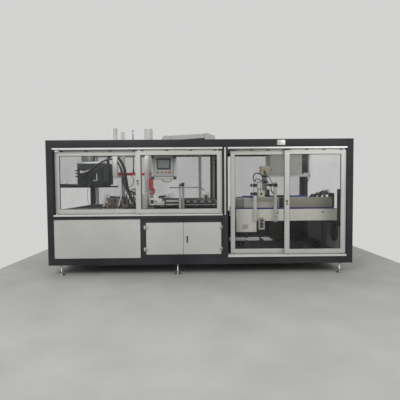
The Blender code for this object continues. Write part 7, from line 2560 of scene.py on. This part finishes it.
class ERECTOR_OT_overhead(bpy.types.Operator):
    """Makes the overhead box with its smaller box, beam and hanger, and its two cables"""

    bl_idname = "erector.overhead"
    bl_label = "Overhead box"

    def execute(self, context):
        width, depth, height = OVERHEAD_SIZE
        coat = painted("overhead coat", (0.52, 0.51, 0.45), 0.45, 0.06)
        brown = painted("small box coat", (0.6, 0.5, 0.32), 0.45, 0.06)
        shapes = [
            block((0, 0.004, 0), (width, depth, height), 0.005, 4),
            block((0.012, 0, 0.012), (width - 0.012, 0.008, height - 0.03), 0.003),
        ]
        small_box = block((-0.183, 0.004, 0.004), (0.004, 0.164, 0.15), 0.004)
        # Painted highlight: the small box's top slab is pale where the light falls on its top
        lid = [block((-0.185, 0.002, 0.14), (-0.001, 0.166, 0.169), 0.003)]
        hinge = [block((0.018, -0.004, z), (0.03, 0.004, z + 0.06)) for z in (0.06, height - 0.12)]
        locks = [turned([(0.012, 0), (0.012, 0.003), (0.008, 0.005)], (width - 0.045, 0, 0.2), FRONT, 24)]
        beam = slotted_bar((-0.082, 0.044, -0.0137), (0.838, 0.044, -0.0137), 0.0345, 0.0795)
        hanger = slotted_bar((0.814, 0.0405, -0.0037), (0.814, 0.0405, 0.486), 0.0395, 0.0645, REAR)
        glands = [
            turned(
                [(0.012, 0), (0.014, 0.002), (0.014, 0.012), (0.01, 0.016), (0.007, 0.022)], (x, 0.13, 0),
                DOWN, 20,
            )
            for x in (0.068, 0.128, 0.188)
        ]
        edge = block((width, 0.02, 0.0043), (width + 0.045, 0.1, 0.4853), 0.004)
        parts = [
            (coat, shapes), (brown, small_box), (white_profile(), [*lid, beam]), (machined("Z"), [hanger]),
            (black_plastic(), [*hinge, *locks, *glands]), (frame_paint(), edge),
        ]
        piece(
            "overhead_control_box", parts, slot="grey_panel", replaces="overhead_box",
            at=OVERHEAD_CORNER,
        )
        drop = [
            (2.246, 0.31, 1.652), (2.24, 0.29, 1.6), (2.21, 0.28, 1.53), (2.165, 0.27, 1.46),
            (2.14, 0.265, 1.4), (2.14, 0.262, 1.33), (2.15, 0.262, 1.27), (2.152, 0.262, 1.2315),
        ]
        link = [
            (1.34, 0.31, 1.7), (1.335, 0.27, 1.685), (1.32, 0.18, 1.66), (1.29, 0.05, 1.65),
            (1.25, -0.12, 1.66), (1.2, -0.3, 1.69), (1.155, -0.45, 1.71), (1.137, -0.54, 1.69),
            (1.1355, -0.56, 1.6225),
        ]
        cable("overhead_drop_cable", drop, 0.014)
        cable("overhead_link_cable", link, 0.016)
        return {"FINISHED"}


# Roof and small boxes


class ERECTOR_OT_roof_duct(bpy.types.Operator):
    """Makes the cable duct on the roof with its seams and foot plates, and the left bay's junction box"""

    bl_idname = "erector.roof_duct"
    bl_label = "Roof duct"

    def execute(self, context):
        rounded_copy("roof_duct", "roof_cable_duct", self.coat(), 0.008, "light_machine")
        low, high = corners("roof_duct")
        depth = high[1] - low[1]
        seams = [
            block((0.168, -0.0006, 0.066), (0.172, 0.002, 0.14), 0.0004, 1),
            block((0.768, -0.0006, 0.105), (0.772, 0.002, 0.176), 0.0004, 1),
        ]
        feet = [block((-0.012, -0.01, 0), (0.168, depth + 0.01, 0.004), 0.001),
                block((0.772, -0.01, 0), (0.948, depth + 0.01, 0.004), 0.001)]
        bolts = screws(grid((0.01, 0.15, 0.79, 0.93), (-0.004, depth + 0.004), 0.004),
                       0.0035, UP, 0.003)
        shadow = [block((0.775, -0.0008, 0.02), (0.9, 0.002, 0.04), 0.0006, 1)]
        parts = [(black_plastic(), [*seams, *shadow]), (machined(), feet), (bright_steel(), bolts)]
        piece("roof_duct_fittings", parts, slot="light_machine", at=low)
        low, high = corners("junction_box")
        width, depth, height = high - low
        coat = painted("junction coat", (0.17, 0.18, 0.17), 0.45)
        shapes = [block((0, 0.004, 0), (width, depth, height), 0.005, 4),
                  block((0.01, 0, 0.01), (width - 0.01, 0.008, height - 0.012), 0.003)]
        glands = [
            turned(
                [(0.011, 0), (0.013, 0.002), (0.013, 0.012), (0.008, 0.018)],
                (width - 0.03 - 0.04 * n, depth / 2, 0), DOWN, 20,
            )
            for n in range(3)
        ]
        line = block((width - 0.022, -0.0008, 0.012), (width - 0.014, 0.002, height - 0.014), 0.0006, 1)
        bolts = screws(grid((0.02, width - 0.032), 0, (0.022, height - 0.024)), 0.0045, FRONT, 0.003)
        parts = [(coat, shapes), (black_plastic(), glands), (white_profile(), line), (bright_steel(), bolts)]
        piece("melter_junction_box", parts, slot="grey_panel", replaces="junction_box", at=low)
        return {"FINISHED"}

    def coat(self):
        """Grey coat of the duct."""
        return painted("duct coat", (0.37, 0.37, 0.345), 0.5, 0.08)


# Stage

# Camera's place in metres, its turns in degrees, and its lens and sensor in millimetres
CAMERA_PLACE = (-0.066, -6.212, 1.41)
CAMERA_YAW = 0.613
CAMERA_PITCH = 2.288
CAMERA_ROLL = -0.461
LENS = 28.8
SENSOR = 36.0
# Floor's colour, and the levels of the wall that is seen and of the light all round
FLOOR_COLOUR = (0.36, 0.36, 0.345)
WALL_LEVEL = 0.65
SKY_LEVEL = 0.62


def aimed_camera():
    """The camera: yaw and pitch give its forward line, then it rolls about that line."""
    yaw, pitch, roll = (math.radians(a) for a in (CAMERA_YAW, CAMERA_PITCH, CAMERA_ROLL))
    forward = np.array([math.sin(yaw) * math.cos(pitch), math.cos(yaw) * math.cos(pitch), -math.sin(pitch)])
    level = np.array([math.cos(yaw), -math.sin(yaw), 0])
    rise = np.cross(level, forward)
    right = math.cos(roll) * level + math.sin(roll) * rise
    upward = math.cos(roll) * rise - math.sin(roll) * level
    turn = Matrix(np.stack([right, upward, -forward], 1).tolist()).to_4x4()
    data = bpy.data.cameras.new("camera")
    data.lens = LENS
    data.sensor_width = SENSOR
    camera = bpy.data.objects.new("camera", data)
    camera.matrix_world = Matrix.Translation(CAMERA_PLACE) @ turn
    bpy.context.scene.collection.objects.link(camera)
    bpy.context.scene.camera = camera


def soft_lamp(name, place, target, size, power):
    """A rectangular lamp at its place, turned to its target."""
    data = bpy.data.lights.new(name, "AREA")
    data.shape = "RECTANGLE"
    data.size, data.size_y = size
    data.energy = power
    lamp = bpy.data.objects.new(name, data)
    lamp.location = place
    lamp.rotation_euler = (Vector(target) - Vector(place)).to_track_quat("-Z", "Y").to_euler()
    bpy.context.scene.collection.objects.link(lamp)
    return lamp


def pale_floor():
    """The flat floor under the machine."""
    made = painted("floor", FLOOR_COLOUR, 0.75, 0, 60.0, 0.05)
    points = np.array([[-3.54, -20, 0], [3.62, -20, 0], [3.62, 3.0, 0], [-3.54, 3.0, 0]], float)
    mesh = bpy.data.meshes.new("floor")
    mesh.from_pydata(points, [], [[0, 1, 2, 3]])
    mesh.materials.append(made)
    floor = bpy.data.objects.new("floor", mesh)
    bpy.context.scene.collection.objects.link(floor)


def plain_world():
    """Grey light all round, and the wall's plain tone where it is looked at, mirrored or seen through."""
    world = bpy.data.worlds.new("studio")
    world.use_nodes = True
    bpy.context.scene.world = world
    nodes = Nodes(world.node_tree)
    path = nodes.add("ShaderNodeLightPath").outputs
    seen = nodes.math("MAXIMUM", path["Is Camera Ray"], path["Is Glossy Ray"])
    seen = nodes.math("MAXIMUM", seen, path["Is Transmission Ray"])
    level = nodes.spread(seen, 0, 1.0, SKY_LEVEL, WALL_LEVEL)
    nodes.tree.links.new(level, world.node_tree.nodes["Background"].inputs["Strength"])
    world.node_tree.nodes["Background"].inputs["Color"].default_value = (1.0, 1.0, 0.99, 1.0)


class ERECTOR_OT_stage(bpy.types.Operator):
    """Sets the floor, the soft lamps, the plain world and the camera"""

    bl_idname = "erector.stage"
    bl_label = "Stage"

    def execute(self, context):
        aimed_camera()
        pale_floor()
        plain_world()
        soft_lamp("key lamp", (-3.5, -6.5, 5.2), (0, 0, 1.0), (5.0, 3.0), 270)
        soft_lamp("fill lamp", (4.5, -5.5, 3.6), (0.3, 0, 0.9), (4.0, 3.0), 140)
        soft_lamp("top lamp", (-0.5, 0.8, 5.4), (-0.5, 0.2, 1.0), (6.0, 3.0), 130)
        inner = soft_lamp("inner lamp", (0, -0.7, 2.03), (0, 1.0, 1.1), (4.4, 0.12), 13)
        inner.visible_camera = False
        inner.visible_glossy = False
        context.scene.view_settings.view_transform = "Standard"
        return {"FINISHED"}


OPERATORS = (
    ERECTOR_OT_guard_frame,
    ERECTOR_OT_sheet_panels,
    ERECTOR_OT_feet,
    ERECTOR_OT_cabinet,
    ERECTOR_OT_sliding_doors,
    ERECTOR_OT_fixed_windows,
    ERECTOR_OT_operator_panel,
    ERECTOR_OT_glue_station,
    ERECTOR_OT_magazine,
    ERECTOR_OT_lifting_gear,
    ERECTOR_OT_case_bed,
    ERECTOR_OT_guides,
    ERECTOR_OT_outfeed,
    ERECTOR_OT_side_belts,
    ERECTOR_OT_overhead,
    ERECTOR_OT_roof_duct,
    ERECTOR_OT_stage,
)


class ERECTOR_PT_panel(bpy.types.Panel):
    """Lists the machine's pieces"""

    bl_idname = "ERECTOR_PT_panel"
    bl_label = "Case erector"
    bl_space_type = "VIEW_3D"
    bl_region_type = "UI"
    bl_category = "Case erector"

    def draw(self, context):
        layout = self.layout
        for name in CaseErectorSettings.__annotations__:
            layout.prop(context.scene.case_erector, name)
        for operator in OPERATORS:
            layout.operator(operator.bl_idname)


CLASSES = (CaseErectorSettings, *OPERATORS, ERECTOR_PT_panel)


def register():
    """Registers the classes and the settings."""
    for kind in CLASSES:
        bpy.utils.register_class(kind)
    bpy.types.Scene.case_erector = bpy.props.PointerProperty(type=CaseErectorSettings)


def unregister():
    """Takes the settings and the classes away again."""
    del bpy.types.Scene.case_erector
    for kind in reversed(CLASSES):
        bpy.utils.unregister_class(kind)


def main():
    register()
    for operator in OPERATORS:
        getattr(bpy.ops.erector, operator.bl_idname.split(".")[1])()


if __name__ == "__main__":
    main()
